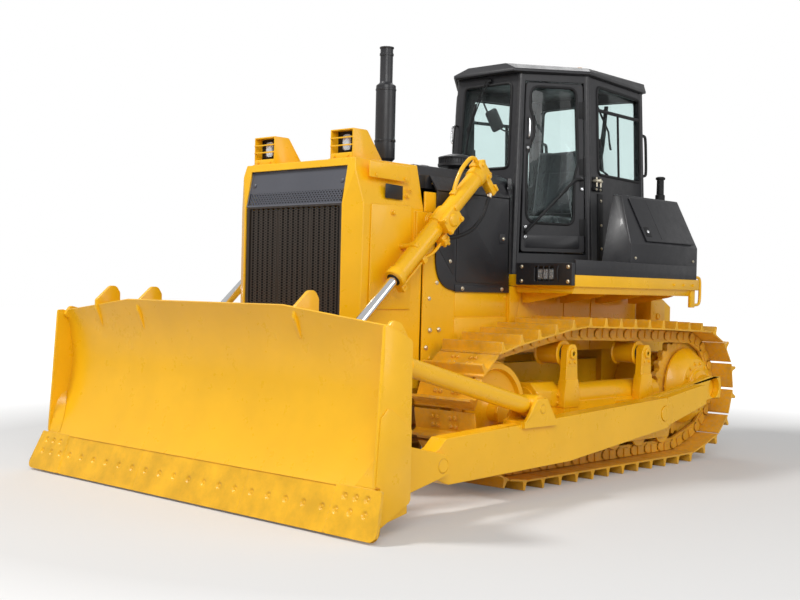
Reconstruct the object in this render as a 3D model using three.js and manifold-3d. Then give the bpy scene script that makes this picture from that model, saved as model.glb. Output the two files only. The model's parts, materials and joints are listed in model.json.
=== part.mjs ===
// Crawler dozer with a straight tilt blade, an enclosed cab and side boxes.
// Millimetres, +Z up. The machine drives towards -Y and its left side is +X.
// Inside the file Y is counted from 40 mm ahead of the drive sprockets; the last lines
// move the whole machine so that its origin is the bottom centre of its box.
import * as THREE from "three";
import { mergeVertices } from "three/addons/utils/BufferGeometryUtils.js";
import Module from "manifold-3d";

const wasm = await Module();
wasm.setup();

// ---------------------------------------------------------------- driving dimensions
const overallLength = 5750;
const overallHeight = 3395;
const bladeWidth = 3725;
const bladeHeight = 1315;
const trackGauge = 2000;
const shoeWidth = 560;
const shoePitch = 216;
const shoeCount = 38;
const grouserHeight = 66;
const bladeFrontY = -4758;
const touchGap = 0.4; // between pieces that rest on each other
const moveGap = 6; // between pieces that move past each other
const pinGap = 0.6; // round a pin

// chain and wheels
const sprocketY = 40;
const sprocketZ = 640;
const sprocketTeeth = 25; // two teeth to each shoe
const linkRise = 48; // pitch line to the shoe's inner face
const shoeThickness = 16;
const railDepth = 55; // pitch line to the rail's running face
const railInner = 36; // half the gap between the two rails
const railOuter = 88;
const chordRise = 15; // how far a straight link cuts inside a round pitch line
const idlerPitchRadius = 420;
const idlerZ = 572;
const rollerRadius = 100;
const rollerCount = 6;
const rollerFirstY = -2290;
const rollerLastY = -400;
const flatFrontY = -2540;
const flatRearY = -210;
const carrierRadius = 84;
const carriers = [
  { name: "front", y: -1900, topPitchZ: 1130 },
  { name: "rear", y: -820, topPitchZ: 1106 },
];
const groundPitchZ = linkRise + shoeThickness + grouserHeight;
const sprocketPitchRadius = shoePitch / 2 / Math.sin((2 * Math.PI) / sprocketTeeth);

// track frame
const beamHalf = 120;
const beamRollerRise = 130; // roller axis to the beam's underside
const beamBottomZ = groundPitchZ + railDepth + rollerRadius + beamRollerRise;
const beamTopZ = 600;
const beamFrontY = -2300;
const beamRearY = -460;
const recoilRadius = 105;
const forkGap = 142;
const forkThickness = 26;

// push arms and blade carrier
const armX = 1430;
const armWidth = 136;
const armPivot = { y: -1030, z: 488 };
const armPivotRadius = 60;
const armEndRadius = 125;
const armPinY = -3830;
const armPinZ = 333;
const bladeBackY = -4350;
const padThickness = 34;
const braceRear = { y: -2740, z: 627 };
const braceFront = { y: -4200, z: 1000 };
const braceRadius = 62;
const bracePinRadius = 30;

// lift cylinders
const liftX = 780;
const liftPivot = { y: -3005, z: 1950 };
const liftEye = { y: -4205, z: 870 };
const barrelRadius = 66;
const barrelUp = 554;
const barrelDown = 662;
const liftRodRadius = 37;
const yokePadY = -4420;
const collarHalf = barrelRadius + 14;
const trunnionRadius = 36;
const socketFloor = liftRodRadius + 12; // how near the socket comes to the cylinder's axis
const bracketRearY = liftPivot.y + 19;
const bracketBottomZ = liftPivot.z - 170;
const bracketTopZ = liftPivot.z + 60;
const bossRadius = 56;

// body
const guardFrontY = -3760;
const guardCornerY = -3680;
const guardFaceHalf = 530;
const guardRearY = -3060;
const guardTopZ = 2355;
const guardKinkZ = 2030;
const guardBottomZ = 720;
const guardHalf = 640;
const guardKinkHalf = 654;
const guardTopHalf = 582;
const headerLean = 60;
const grilleHalf = 515;
const grilleBottomZ = 1060;
const headerTopZ = 2300;
const lampTopZ = 2565;
const lampFrontY = -3672;
const hoodTopZ = 2366;
const hoodHalf = 600;
const hoodRearY = -1606;
const coverX = 682;
const coverFrontY = -2940;
const coverRearY = -2068;
const coverBottomZ = 1440;
const coverSheet = 14;
const sidePlateThickness = 16;
const sidePlateTrackGap = 54; // side plate's outer face to the shoes' inner ends
const sidePlateX = trackGauge / 2 - shoeWidth / 2 - sidePlateTrackGap - sidePlateThickness; // inner face
const coverShoulderZ = 2180;
const hoodShoulderZ = 2290;
const hoodSkirtZ = 2190;

// fenders and side boxes
const fenderInnerX = 640;
const fenderOuterX = 1280;
const fenderTopZ = 1582;
const fenderBottomZ = 1490;
const fenderFrontY = -2058;
const lampPanelTopZ = 1672;
const curbTopZ = 1698;
const curbInnerX = 1260;
const fenderRearY = -140;
const boxOuterX = 1250;
const boxTopX = 1040;
const boxTopZ = 2272;
const boxKink = { x: 1250, z: 1856 };
const boxFrontLowY = -1200;
const boxFrontTopY = -1026;
const boxRearY = -125;
const tankFrontY = 60;

// cab: a six-sided tapered shell
const cabBottomZ = fenderTopZ + 4;
const cabTopZ = 3290;
const cabWall = 46;
const glassThickness = 6;
const cabBase = { z: 1700, front: [365, -1617], hinge: [743, -1020], rear: [620, 40] };
const cabHead = { z: 3270, front: [335, -1528], hinge: [703, -1064], rear: [575, -5] };
const doorBottomZ = 1775;
const doorTopZ = 3215;
const doorGap = 5;

// ---------------------------------------------------------------- shape helpers
const sides = [
  ["left", 1],
  ["right", -1],
];

function solidOf(geometry) {
  const bare = geometry.index ? geometry : mergeVertices(geometry);
  bare.deleteAttribute("normal");
  bare.deleteAttribute("uv");
  const merged = mergeVertices(bare, 1e-3);
  const mesh = new wasm.Mesh({
    numProp: 3,
    vertProperties: new Float32Array(merged.attributes.position.array),
    triVerts: new Uint32Array(merged.index.array),
  });
  return new wasm.Manifold(mesh);
}

function join(...solids) {
  return solids.reduce((a, b) => a.add(b));
}

function block(x0, x1, y0, y1, z0, z1) {
  const geometry = new THREE.BoxGeometry(Math.abs(x1 - x0), Math.abs(y1 - y0), Math.abs(z1 - z0));
  geometry.translate((x0 + x1) / 2, (y0 + y1) / 2, (z0 + z1) / 2);
  return solidOf(geometry);
}

function shapeOf(points) {
  return new THREE.Shape(points.map(([u, v]) => new THREE.Vector2(u, v)));
}

function extruded(shape, depth, axes, from) {
  const geometry = new THREE.ExtrudeGeometry(shape, { depth, bevelEnabled: false, curveSegments: 10 });
  geometry.translate(0, 0, from);
  geometry.applyMatrix4(new THREE.Matrix4().makeBasis(...axes));
  return solidOf(geometry);
}

const X = new THREE.Vector3(1, 0, 0);
const Y = new THREE.Vector3(0, 1, 0);
const Z = new THREE.Vector3(0, 0, 1);

// Outline of [y, z] points carried along X.
function alongX(points, x0, x1) {
  return extruded(shapeOf(points), Math.abs(x1 - x0), [Y, Z, X], Math.min(x0, x1));
}

// Outline of [x, z] points carried along Y.
function alongY(points, y0, y1) {
  const turned = points.map(([x, z]) => [z, x]);
  return extruded(shapeOf(turned), Math.abs(y1 - y0), [Z, X, Y], Math.min(y0, y1));
}

// Outline of [x, y] points carried along Z.
function alongZ(points, z0, z1) {
  return extruded(shapeOf(points), Math.abs(z1 - z0), [X, Y, Z], Math.min(z0, z1));
}

// Round bar between two points.
function bar(from, to, radius, segments = 16) {
  const a = new THREE.Vector3(...from);
  const b = new THREE.Vector3(...to);
  const geometry = new THREE.CylinderGeometry(radius, radius, a.distanceTo(b), segments);
  const along = b.clone().sub(a).normalize();
  geometry.applyQuaternion(new THREE.Quaternion().setFromUnitVectors(Y, along));
  geometry.translate(...a.add(b).multiplyScalar(0.5).toArray());
  return solidOf(geometry);
}

// A wheel turned about an X axis: profile rows are [offset along X, radius], both ends at radius 0.
function wheel(profile, x, y, z, side = 1, segments = 32) {
  const rows = profile.map(([offset, radius]) => new THREE.Vector2(radius, offset));
  const geometry = new THREE.LatheGeometry(rows, segments);
  geometry.applyMatrix4(new THREE.Matrix4().makeRotationZ(-Math.PI / 2));
  const turned = solidOf(geometry);
  const right = turned.volume() < 0 ? solidOf(flipped(geometry)) : turned;
  const moved = placed(right, side, x, y, z);
  return moved;
}

function flipped(geometry) {
  const index = geometry.index.array;
  for (let i = 0; i < index.length; i += 3) {
    [index[i + 1], index[i + 2]] = [index[i + 2], index[i + 1]];
  }
  return geometry;
}

function geometryOf(solid) {
  const mesh = solid.getMesh();
  const geometry = new THREE.BufferGeometry();
  geometry.setAttribute("position", new THREE.BufferAttribute(mesh.vertProperties, 3));
  geometry.setIndex(new THREE.BufferAttribute(mesh.triVerts, 1));
  return geometry;
}

// Turns a solid half round for the right-hand side, then moves it.
function placed(solid, side, x, y, z) {
  const geometry = geometryOf(solid);
  if (side < 0) geometry.rotateZ(Math.PI);
  geometry.translate(x, y, z);
  return solidOf(geometry);
}

const machine = new THREE.Group();

function piece(name, solid, material, parent = machine) {
  const geometry = geometryOf(solid).toNonIndexed();
  geometry.computeVertexNormals();
  const mesh = new THREE.Mesh(geometry, material);
  mesh.name = name;
  parent.add(mesh);
  return mesh;
}

// ---------------------------------------------------------------- materials
const paint = (color, roughness, metalness) =>
  new THREE.MeshStandardMaterial({ color, roughness, metalness });
const yellow = paint(0xf3b723, 0.4, 0);
const darkPaint = paint(0x303034, 0.5, 0);
const castSteel = paint(0xb98a20, 0.6, 0.2);
const wornSteel = paint(0x8a8378, 0.5, 0.7);
const chrome = paint(0xd8dadc, 0.15, 1);
const glass = paint(0x8fa7a6, 0.08, 0);
const seatCloth = paint(0x26262a, 0.9, 0);
const plastic = paint(0x1c1c1f, 0.6, 0);
const ironBlock = paint(0x4a4a48, 0.7, 0.3);

// ---------------------------------------------------------------- chain
// The pitch line is a belt round circles; each circle is {y, z, r}, taken over the top towards
// the rear and back along the ground. Straights are the outer tangents of neighbouring circles.
function beltCircles(idlerY) {
  const groundArc = 260;
  return [
    { y: idlerY, z: idlerZ, r: idlerPitchRadius },
    ...carriers.map((c) => {
      const r = carrierRadius + chordRise + railDepth;
      return { y: c.y, z: c.topPitchZ - r, r };
    }),
    { y: sprocketY, z: sprocketZ, r: sprocketPitchRadius },
    { y: flatRearY, z: groundPitchZ + groundArc, r: groundArc },
    { y: flatFrontY, z: groundPitchZ + groundArc, r: groundArc },
  ];
}

function tangent(a, b) {
  const dy = b.y - a.y;
  const dz = b.z - a.z;
  const heading = Math.atan2(dz, dy) - Math.asin((a.r - b.r) / Math.hypot(dy, dz));
  const normal = heading + Math.PI / 2;
  const touch = (c) => [c.y + c.r * Math.cos(normal), c.z + c.r * Math.sin(normal)];
  return { from: touch(a), to: touch(b), normal };
}

// Closed list of points a few millimetres apart on the arcs and one per straight's end.
function beltLine(idlerY) {
  const circles = beltCircles(idlerY);
  const runs = circles.map((c, i) => tangent(c, circles[(i + 1) % circles.length]));
  const points = [];
  circles.forEach((c, i) => {
    const arrive = runs[(i + circles.length - 1) % circles.length].normal;
    let turn = arrive - runs[i].normal;
    while (turn < 0) turn += 2 * Math.PI;
    while (turn > 2 * Math.PI - 1e-6) turn -= 2 * Math.PI;
    const steps = Math.max(1, Math.ceil(turn / 0.01));
    for (let k = 0; k <= steps; k++) {
      const angle = arrive - (turn * k) / steps;
      points.push([c.y + c.r * Math.cos(angle), c.z + c.r * Math.sin(angle)]);
    }
  });
  return points;
}

function beltLength(points) {
  return points.reduce((sum, p, i) => {
    const q = points[(i + 1) % points.length];
    return sum + Math.hypot(q[0] - p[0], q[1] - p[1]);
  }, 0);
}

// The idler slides forward until the chain of shoeCount links is taut.
function tautIdlerY() {
  let near = flatFrontY + 100;
  let far = flatFrontY - 1400;
  for (let i = 0; i < 50; i++) {
    const middle = (near + far) / 2;
    if (beltLength(beltLine(middle)) < shoePitch * shoeCount) near = middle;
    else far = middle;
  }
  return (near + far) / 2;
}

const idlerY = tautIdlerY();

// Pins at even distances along the belt.
function chainPins() {
  const line = beltLine(idlerY);
  const step = beltLength(line) / shoeCount;
  const pins = [];
  let walked = 0;
  line.forEach((p, i) => {
    const q = line[(i + 1) % line.length];
    const span = Math.hypot(q[0] - p[0], q[1] - p[1]);
    while (pins.length < shoeCount && pins.length * step <= walked + span) {
      const t = span ? (pins.length * step - walked) / span : 0;
      pins.push([p[0] + (q[0] - p[0]) * t, p[1] + (q[1] - p[1]) * t]);
    }
    walked += span;
  });
  return pins;
}

const pins = chainPins();

// The pin polygon moved outwards by a distance, with mitred corners.
function chainOffset(distance) {
  return pins.map((p, i) => {
    const before = pins[(i + shoeCount - 1) % shoeCount];
    const after = pins[(i + 1) % shoeCount];
    const a = Math.atan2(p[1] - before[1], p[0] - before[0]) + Math.PI / 2;
    const b = Math.atan2(after[1] - p[1], after[0] - p[0]) + Math.PI / 2;
    const half = Math.atan2(Math.sin(b - a), Math.cos(b - a)) / 2;
    const reach = distance / Math.cos(half);
    return [p[0] + reach * Math.cos(a + half), p[1] + reach * Math.sin(a + half)];
  });
}

function shoeOutline() {
  const plate = linkRise + shoeThickness;
  const tip = plate + grouserHeight;
  const half = shoePitch / 2 - 8;
  const rows = [[-half, plate], [52, plate], [62, tip], [78, tip], [86, plate], [half, plate]];
  return pins.flatMap((p, i) => {
    const q = pins[(i + 1) % shoeCount];
    const span = Math.hypot(q[0] - p[0], q[1] - p[1]);
    const ty = (q[0] - p[0]) / span;
    const tz = (q[1] - p[1]) / span;
    const cy = (p[0] + q[0]) / 2;
    const cz = (p[1] + q[1]) / 2;
    return rows.map(([u, v]) => [cy + u * ty - v * tz, cz + u * tz + v * ty]);
  });
}

// Both outlines run clockwise, and a shape with a hole has to run the other way.
function ringAlongX(outer, inner, x0, x1) {
  const shape = shapeOf(outer.toReversed());
  shape.holes.push(new THREE.Path(inner.map(([u, v]) => new THREE.Vector2(u, v))));
  return extruded(shape, Math.abs(x1 - x0), [Y, Z, X], Math.min(x0, x1));
}

function track(x) {
  const shoes = ringAlongX(shoeOutline(), chainOffset(linkRise), x - shoeWidth / 2, x + shoeWidth / 2);
  const rail = (a, b) => ringAlongX(chainOffset(linkRise + 4), chainOffset(-railDepth), x + a, x + b);
  return join(shoes, rail(-railOuter, -railInner), rail(railInner, railOuter));
}

// ---------------------------------------------------------------- wheels of the undercarriage
function sprocket(x) {
  const root = sprocketPitchRadius - 26;
  const tip = sprocketPitchRadius + 14;
  const step = (2 * Math.PI) / sprocketTeeth;
  const outline = [];
  for (let i = 0; i < sprocketTeeth; i++) {
    for (const [share, radius] of [[0.12, root], [0.38, tip], [0.62, tip], [0.88, root]]) {
      const angle = (i + share) * step;
      outline.push([sprocketY + radius * Math.cos(angle), sprocketZ + radius * Math.sin(angle)]);
    }
  }
  const half = railInner - moveGap;
  const disc = alongX(outline, x - half, x + half);
  const bore = bar([x - 100, sprocketY, sprocketZ], [x + 100, sprocketY, sprocketZ], hubRadius + 3, 32);
  return disc.subtract(bore);
}

const hubRadius = 236;
const supportInnerX = 1292;
const supportOuterX = 1352;
const supportGuardX = 1440;
const caseHalf = 480;

function finalDrive(side) {
  const profile = [
    [caseHalf + touchGap, 0], [caseHalf + touchGap, 250], [700, 290], [860, 290], [930, hubRadius],
    [1070, hubRadius], [1110, 205], [1190, 150], [1200, 108], [supportInnerX - touchGap, 108],
    [supportInnerX - touchGap, 0],
  ];
  return wheel(profile, 0, sprocketY, sprocketZ, side, 28);
}

function idler(x) {
  const half = Math.asin(shoePitch / 2 / idlerPitchRadius);
  const tread = idlerPitchRadius * Math.cos(half) - railDepth - touchGap;
  const flange = tread + 22;
  const guide = railInner - 4;
  const rim = railOuter - 2;
  const profile = [
    [-forkGap + touchGap, 0], [-forkGap + touchGap, 70], [-60, 80], [-44, 110], [-44, tread - 60],
    [-rim, tread - 40], [-rim, tread], [-guide, tread], [-guide, flange], [guide, flange], [guide, tread],
    [rim, tread], [rim, tread - 40], [44, tread - 60], [44, 110], [60, 80], [forkGap - touchGap, 70],
    [forkGap - touchGap, 0],
  ];
  return wheel(profile, x, idlerY, idlerZ, 1, 28);
}

function trackRollers(x) {
  const railTopZ = groundPitchZ + railDepth;
  const axisZ = railTopZ + rollerRadius + 1;
  const plateIn = 134;
  const plateOut = 152;
  const spacing = (rollerLastY - rollerFirstY) / (rollerCount - 1);
  const flange = [railOuter + 3, railOuter + 18];
  const profile = [
    [-plateIn - 2, 0], [-plateIn - 2, 55], [-flange[1], 60], [-flange[1], 122], [-flange[0], 122],
    [-flange[0], rollerRadius], [flange[0], rollerRadius], [flange[0], 122], [flange[1], 122],
    [flange[1], 60], [plateIn + 2, 55], [plateIn + 2, 0],
  ];
  const guard = [
    [beamFrontY - 100, 320], [rollerFirstY, 225], [rollerLastY, 225], [beamRearY + 130, 320],
    [beamRearY + 100, beamBottomZ - touchGap], [beamFrontY - 80, beamBottomZ - touchGap],
  ];
  const parts = [];
  for (const s of [-1, 1]) parts.push(alongX(guard, x + s * plateIn, x + s * plateOut));
  for (let i = 0; i < rollerCount; i++) {
    parts.push(wheel(profile, x, rollerFirstY + i * spacing, axisZ, 1, 12));
  }
  return join(...parts);
}

function carrierAxisZ(c) {
  return c.topPitchZ - (carrierRadius + chordRise + railDepth);
}

const pedestalIn = 124;
const pedestalOut = 186;

function carrierRoller(x, side, c) {
  const profile = [
    [-100, 0], [-100, 60], [-railOuter, carrierRadius], [railOuter, carrierRadius], [96, 98], [108, 98],
    [112, 40], [pedestalOut + 12, 40], [pedestalOut + 12, 0],
  ];
  return wheel(profile, x, c.y, carrierAxisZ(c), side, 16);
}

function trackFrame(x, side) {
  const y0 = beamFrontY;
  const beam = block(x - beamHalf, x + beamHalf, y0, beamRearY, beamBottomZ, beamTopZ);
  const sole = block(x - 156, x + 156, beamFrontY, beamRearY, beamBottomZ, beamBottomZ + 40);
  const recoil = bar([x, y0 + 20, beamTopZ + 20], [x, beamRearY - 20, beamTopZ + 20], recoilRadius, 16);
  const parts = [beam, sole, recoil];
  // fork that holds the idler
  const fork = [
    [y0 + 60, beamBottomZ + 20], [idlerY - 60, idlerZ - 70], [idlerY - 90, idlerZ], [idlerY - 60, idlerZ + 70],
    [y0 + 60, beamTopZ],
  ];
  for (const s of [-1, 1]) parts.push(alongX(fork, x + s * forkGap, x + s * (forkGap + forkThickness)));
  parts.push(block(x - forkGap - 4, x + forkGap + 4, y0 - 10, y0 + 60, beamBottomZ + 20, beamTopZ));
  // pedestals with a clamp round each carrier roller's shaft
  for (const c of carriers) {
    const z = carrierAxisZ(c);
    const post = [[c.y - 95, beamTopZ - 60], [c.y + 95, beamTopZ - 60], [c.y + 66, z + 20], [c.y + 40, z + 66],
      [c.y - 40, z + 66], [c.y - 66, z + 20]];
    const inner = x + side * pedestalIn;
    const outer = x + side * pedestalOut;
    parts.push(alongX(post, inner, outer), carrierRoller(x, side, c), block(x + side * 60, outer, c.y - 95, c.y + 95, beamTopZ - 120, beamTopZ - 20));
  }
  // trunnion stub and the outboard bracket that also steadies the final drive
  const stubRoot = block(x + side * 60, side * supportOuterX, armPivot.y - 150, armPivot.y + 150, beamBottomZ, 575);
  const stub = bar([side * 1200, armPivot.y, armPivot.z],
    [side * (armX + armWidth / 2 + 8), armPivot.y, armPivot.z], armPivotRadius, 32);
  const plate = [
    [armPivot.y - 150, armPivot.z - 80], [armPivot.y + 60, armPivot.z - 110], [-330, 500], [-60, 540],
    [150, 545], [170, 640], [150, 735], [-60, 740], [-330, 690], [armPivot.y + 60, armPivot.z + 120],
    [armPivot.y - 150, armPivot.z + 80],
  ];
  const guardRear = armPivot.y + armEndRadius + 18;
  const cheek = [[guardRear, 372], [-330, 500], [-250, 520], [-250, 676], [-330, 680], [guardRear, 606]];
  parts.push(stubRoot, stub, alongX(plate, side * supportInnerX, side * supportOuterX));
  parts.push(alongX(cheek, side * (supportOuterX - 4), side * supportGuardX));
  const frame = join(...parts);
  const bore = bar([side * 500, sprocketY, sprocketZ], [side * 1500, sprocketY, sprocketZ], 92, 32);
  return frame.subtract(bore);
}

// ---------------------------------------------------------------- main frame
const drawbarRearY = bladeFrontY + overallLength;
const caseRearY = 760;

function mainFrame() {
  const parts = [];
  for (const s of [-1, 1]) {
    parts.push(block(s * 300, s * 420, -3560, -300, 620, 860));
    parts.push(block(s * 410, s * (sidePlateX + sidePlateThickness), -2700, -2580, 900, 1000));
    parts.push(block(s * 300, s * 420, -2700, -2580, 850, 1000));
    parts.push(sidePlate(s));
  }
  parts.push(block(-420, 420, -3560, -3380, 560, 700));
  const caseOutline = [
    [-420, 430], [560, 430], [caseRearY, 620], [caseRearY, 1330], [560, 1430], [-420, 1430],
  ];
  parts.push(alongX(caseOutline, -caseHalf, caseHalf));
  // fender supports and the rear hook brackets
  for (const s of [-1, 1]) {
    parts.push(block(s * (caseHalf - 10), s * 640, -420, -180, 1300, fenderBottomZ - touchGap));
    parts.push(block(s * 300, s * 420, -1960, -1760, 850, 1300));
    parts.push(block(s * 300, s * 640, -1960, -1760, 1300, fenderBottomZ - touchGap));
  }
  // drawbar: a fork with a pin hole
  const drawbar = block(-170, 170, 500, drawbarRearY, 440, 620);
  const slot = block(-171, 171, drawbarRearY - 190, drawbarRearY + 10, 495, 565);
  const pinHole = bar([0, drawbarRearY - 95, 400], [0, drawbarRearY - 95, 700], 32, 16);
  parts.push(drawbar.subtract(slot).subtract(pinHole));
  return join(...parts);
}

// A frame plate beside the engine. Ahead of the cover it stands up to the hood's skirt and
// is cut away round the lift cylinder's bracket.
function sidePlate(side) {
  const front = guardRearY + touchGap;
  const outline = [
    [front, 900], [coverRearY, 900], [coverRearY, coverBottomZ - touchGap], [-2720, coverBottomZ - touchGap],
    [-2720, coverShoulderZ - 20], [front, coverShoulderZ - 20],
  ];
  const room = block(side * (sidePlateX - 50), side * (sidePlateX + 70), front - 5, liftPivot.y + bossRadius + 4,
    bracketBottomZ - touchGap, bracketTopZ + touchGap);
  return alongX(outline, side * sidePlateX, side * (sidePlateX + sidePlateThickness)).subtract(room);
}

function equalizerBar() {
  const reach = trackGauge / 2 - beamHalf - touchGap;
  const tube = block(-reach, reach, -2190, -2070, 480, 600);
  const cradle = block(-180, 180, -2200, -2060, 470, 619);
  return join(tube, cradle);
}

function engine() {
  return block(-280, 280, -2950, -1720, 900, 1950);
}

function radiatorGuard() {
  const outline = [
    [-guardHalf, guardBottomZ], [guardHalf, guardBottomZ], [guardKinkHalf, guardKinkZ],
    [guardTopHalf, guardTopZ], [-guardTopHalf, guardTopZ], [-guardKinkHalf, guardKinkZ],
  ];
  const plan = [
    [-guardKinkHalf, guardRearY], [-guardKinkHalf, guardCornerY], [-guardFaceHalf, guardFrontY],
    [guardFaceHalf, guardFrontY], [guardKinkHalf, guardCornerY], [guardKinkHalf, guardRearY],
  ];
  const shell = alongY(outline, guardFrontY - 10, guardRearY).intersect(alongZ(plan, 600, 2500));
  const lean = [[guardFrontY - 50, guardKinkZ], [guardFrontY, guardKinkZ], [guardFrontY + headerLean, guardTopZ],
    [guardFrontY + headerLean, guardTopZ + 20], [guardFrontY - 50, guardTopZ + 20]];
  const room = block(-580, 580, guardFrontY + 60, guardRearY - 40, grilleBottomZ - 140, guardTopZ - 40);
  const mouth = block(-grilleHalf, grilleHalf, guardFrontY - 60, guardFrontY + 70, grilleBottomZ, headerTopZ);
  const rearHole = bar([0, guardRearY - 60, 1560], [0, guardRearY + 60, 1560], 420, 36);
  const tunnel = [-1, 1].map((s) => block(s * 299.4, s * 420.6, -3561, -3000, 619.4, 860.6));
  const front = block(-421, 421, -3561, -3379, 559, 701);
  const body = shell.subtract(alongX(lean, -700, 700)).subtract(room).subtract(mouth).subtract(rearHole);
  const trimmed = [...tunnel, front].reduce((a, b) => a.subtract(b), body);
  return join(trimmed, ...sides.map(([, s]) => cylinderBracket(s)));
}

// Grille and header in one bent sheet.
function grille() {
  const z0 = grilleBottomZ + touchGap;
  const z1 = headerTopZ - touchGap;
  const front = (z) => guardFrontY + 14 + (Math.max(0, z - guardKinkZ) * headerLean) / (guardTopZ - guardKinkZ);
  const sheet = 12;
  const outline = [
    [front(z0), z0], [front(guardKinkZ), guardKinkZ], [front(z1), z1],
    [front(z1) + sheet, z1], [front(guardKinkZ) + sheet, guardKinkZ], [front(z0) + sheet, z0],
  ];
  return alongX(outline, -grilleHalf + touchGap, grilleHalf - touchGap);
}

function headlight(side) {
  const outline = [[lampFrontY, guardTopZ + touchGap], [lampFrontY, lampTopZ], [lampFrontY + 140, lampTopZ],
    [lampFrontY + 300, guardTopZ + touchGap]];
  const box = alongX(outline, side * 300, side * 530);
  const room = block(side * 318, side * 512, lampFrontY - 20, lampFrontY + 80, guardTopZ + 60, lampTopZ - 22);
  return box.subtract(room);
}

function cylinderBracket(side) {
  const y = liftPivot.y;
  const z = liftPivot.z;
  const base = block(side * (guardHalf - 20), side * 676, y - 150, bracketRearY, bracketBottomZ, bracketTopZ);
  const boss = bar([side * 660, y, z], [side * (liftX - collarHalf - moveGap), y, z], bossRadius, 20);
  const stub = bar([side * 660, y, z], [side * (liftX - socketFloor - 3), y, z], trunnionRadius, 20);
  return join(base, boss, stub);
}

function hood() {
  const outer = [
    [-hoodHalf, hoodSkirtZ], [-hoodHalf, hoodShoulderZ], [-hoodHalf + 40, hoodTopZ], [hoodHalf - 40, hoodTopZ],
    [hoodHalf, hoodShoulderZ], [hoodHalf, hoodSkirtZ],
  ];
  const inner = [
    [-hoodHalf + 14, hoodSkirtZ - 10], [-hoodHalf + 14, hoodShoulderZ - 6], [-hoodHalf + 46, hoodTopZ - 14],
    [hoodHalf - 46, hoodTopZ - 14], [hoodHalf - 14, hoodShoulderZ - 6], [hoodHalf - 14, hoodSkirtZ - 10],
  ];
  const y0 = guardRearY + touchGap;
  const shell = alongY(outer, y0, hoodRearY).subtract(alongY(inner, y0 - 5, hoodRearY + 5));
  const [, , , end, start] = cowlPlan(18);
  const outside = (s) => alongZ([[s * start[0], start[1]], [s * end[0], end[1]], [s * (end[0] - 60), hoodRearY + 50],
    [s * 900, hoodRearY + 50], [s * 900, start[1]]], 2000, 2500);
  return shell.subtract(outside(1)).subtract(outside(-1));
}

// A flat panel beside the engine, its shoulder up to the hood, and the cowl that runs in to the cab.
function sideCover(side) {
  const sheet = coverSheet;
  const inner = hoodHalf + touchGap;
  const section = [
    [coverX, coverBottomZ], [coverX, coverShoulderZ], [inner, hoodShoulderZ], [inner, hoodSkirtZ],
    [coverX - sheet, coverShoulderZ - sheet], [coverX - sheet, coverBottomZ],
  ].map(([x, z]) => [side * x, z]);
  const panel = alongY(section, coverFrontY, coverRearY);
  const chamfer = alongX([[coverFrontY - 1, coverBottomZ - 1], [coverFrontY - 1, coverBottomZ + 260],
    [coverFrontY + 200, coverBottomZ - 1]], side * 620, side * 720);
  const plan = cowlPlan(sheet).map(([x, y]) => [side * x, y]);
  const cowl = alongZ(plan, fenderTopZ + 4, hoodTopZ - 20);
  const shoulder = alongY([[inner - 40, hoodSkirtZ - 8], [inner - 40, 2500], [coverX + 60, 2500],
    [coverX + 60, coverShoulderZ], [coverX, coverShoulderZ]].map(([x, z]) => [side * x, z]), coverRearY - 60, coverRearY);
  return join(panel.subtract(chamfer), cowl.subtract(shoulder));
}

// The cowl sheet in plan, from the cover's rear edge in to the cab's front corner.
function cowlPlan(sheet) {
  const end = [cabBase.front[0] + 4, cabBase.front[1] - 16];
  return [[coverX, coverRearY - sheet], [coverX, coverRearY], end, [end[0] - 10, end[1] - 30],
    [coverX - sheet, coverRearY - sheet]];
}

function exhaustStack() {
  const profile = [
    [hoodTopZ + touchGap, 0], [hoodTopZ + touchGap, 98], [hoodTopZ + 34, 98], [hoodTopZ + 40, 62],
    [2450, 62], [2455, 78], [3040, 78], [3046, 50], [exhaustTopZ - 12, 50],
    [exhaustTopZ - 12, 56], [exhaustTopZ, 56], [exhaustTopZ, 0],
  ];
  const geometry = new THREE.LatheGeometry(profile.map(([z, r]) => new THREE.Vector2(r, z)), 16);
  geometry.rotateX(Math.PI / 2);
  geometry.translate(0, exhaustY, 0);
  return uprightSolid(geometry);
}

const exhaustY = -2800;
const exhaustTopZ = 3332;
function uprightSolid(geometry) {
  const solid = solidOf(geometry);
  return solid.volume() < 0 ? solidOf(flipped(geometry)) : solid;
}

function preCleaner() {
  const profile = [
    [hoodTopZ + touchGap, 0], [hoodTopZ + touchGap, 70], [hoodTopZ + 60, 70], [hoodTopZ + 66, 145],
    [hoodTopZ + 150, 145], [hoodTopZ + 176, 110], [hoodTopZ + 180, 0],
  ];
  const geometry = new THREE.LatheGeometry(profile.map(([z, r]) => new THREE.Vector2(r, z)), 32);
  geometry.rotateX(Math.PI / 2);
  geometry.translate(205, -2180, 0);
  return uprightSolid(geometry);
}

// ---------------------------------------------------------------- fenders, boxes, tank
function fender(side) {
  const deck = block(side * fenderInnerX, side * fenderOuterX, fenderFrontY, fenderRearY, fenderBottomZ, fenderTopZ);
  const lampPanel = block(side * 745, side * (fenderOuterX - 4), fenderFrontY, fenderFrontY + 40, fenderBottomZ + 10,
    lampPanelTopZ);
  const skirt = block(side * 700, side * 1250, fenderFrontY + 60, fenderRearY - 60, 1440, fenderBottomZ + 10);
  const curb = block(side * curbInnerX, side * fenderOuterX, fenderFrontY + 44, boxRearY - 60, fenderTopZ - 2, curbTopZ);
  return join(deck, lampPanel, skirt, curb);
}

const boxInnerX = 950;
const lidThickness = 12;
const lidEdge = 24; // slope left bare above and below the lid
const lidLap = 30; // how far the lid reaches past its opening
const lidRear = -180;
const lidFront = -960;

function boxFrontY(z) {
  const rise = Math.max(0, z - boxKink.z) / (boxTopZ - boxKink.z);
  return boxFrontLowY + (boxFrontTopY - boxFrontLowY) * rise;
}

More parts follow.
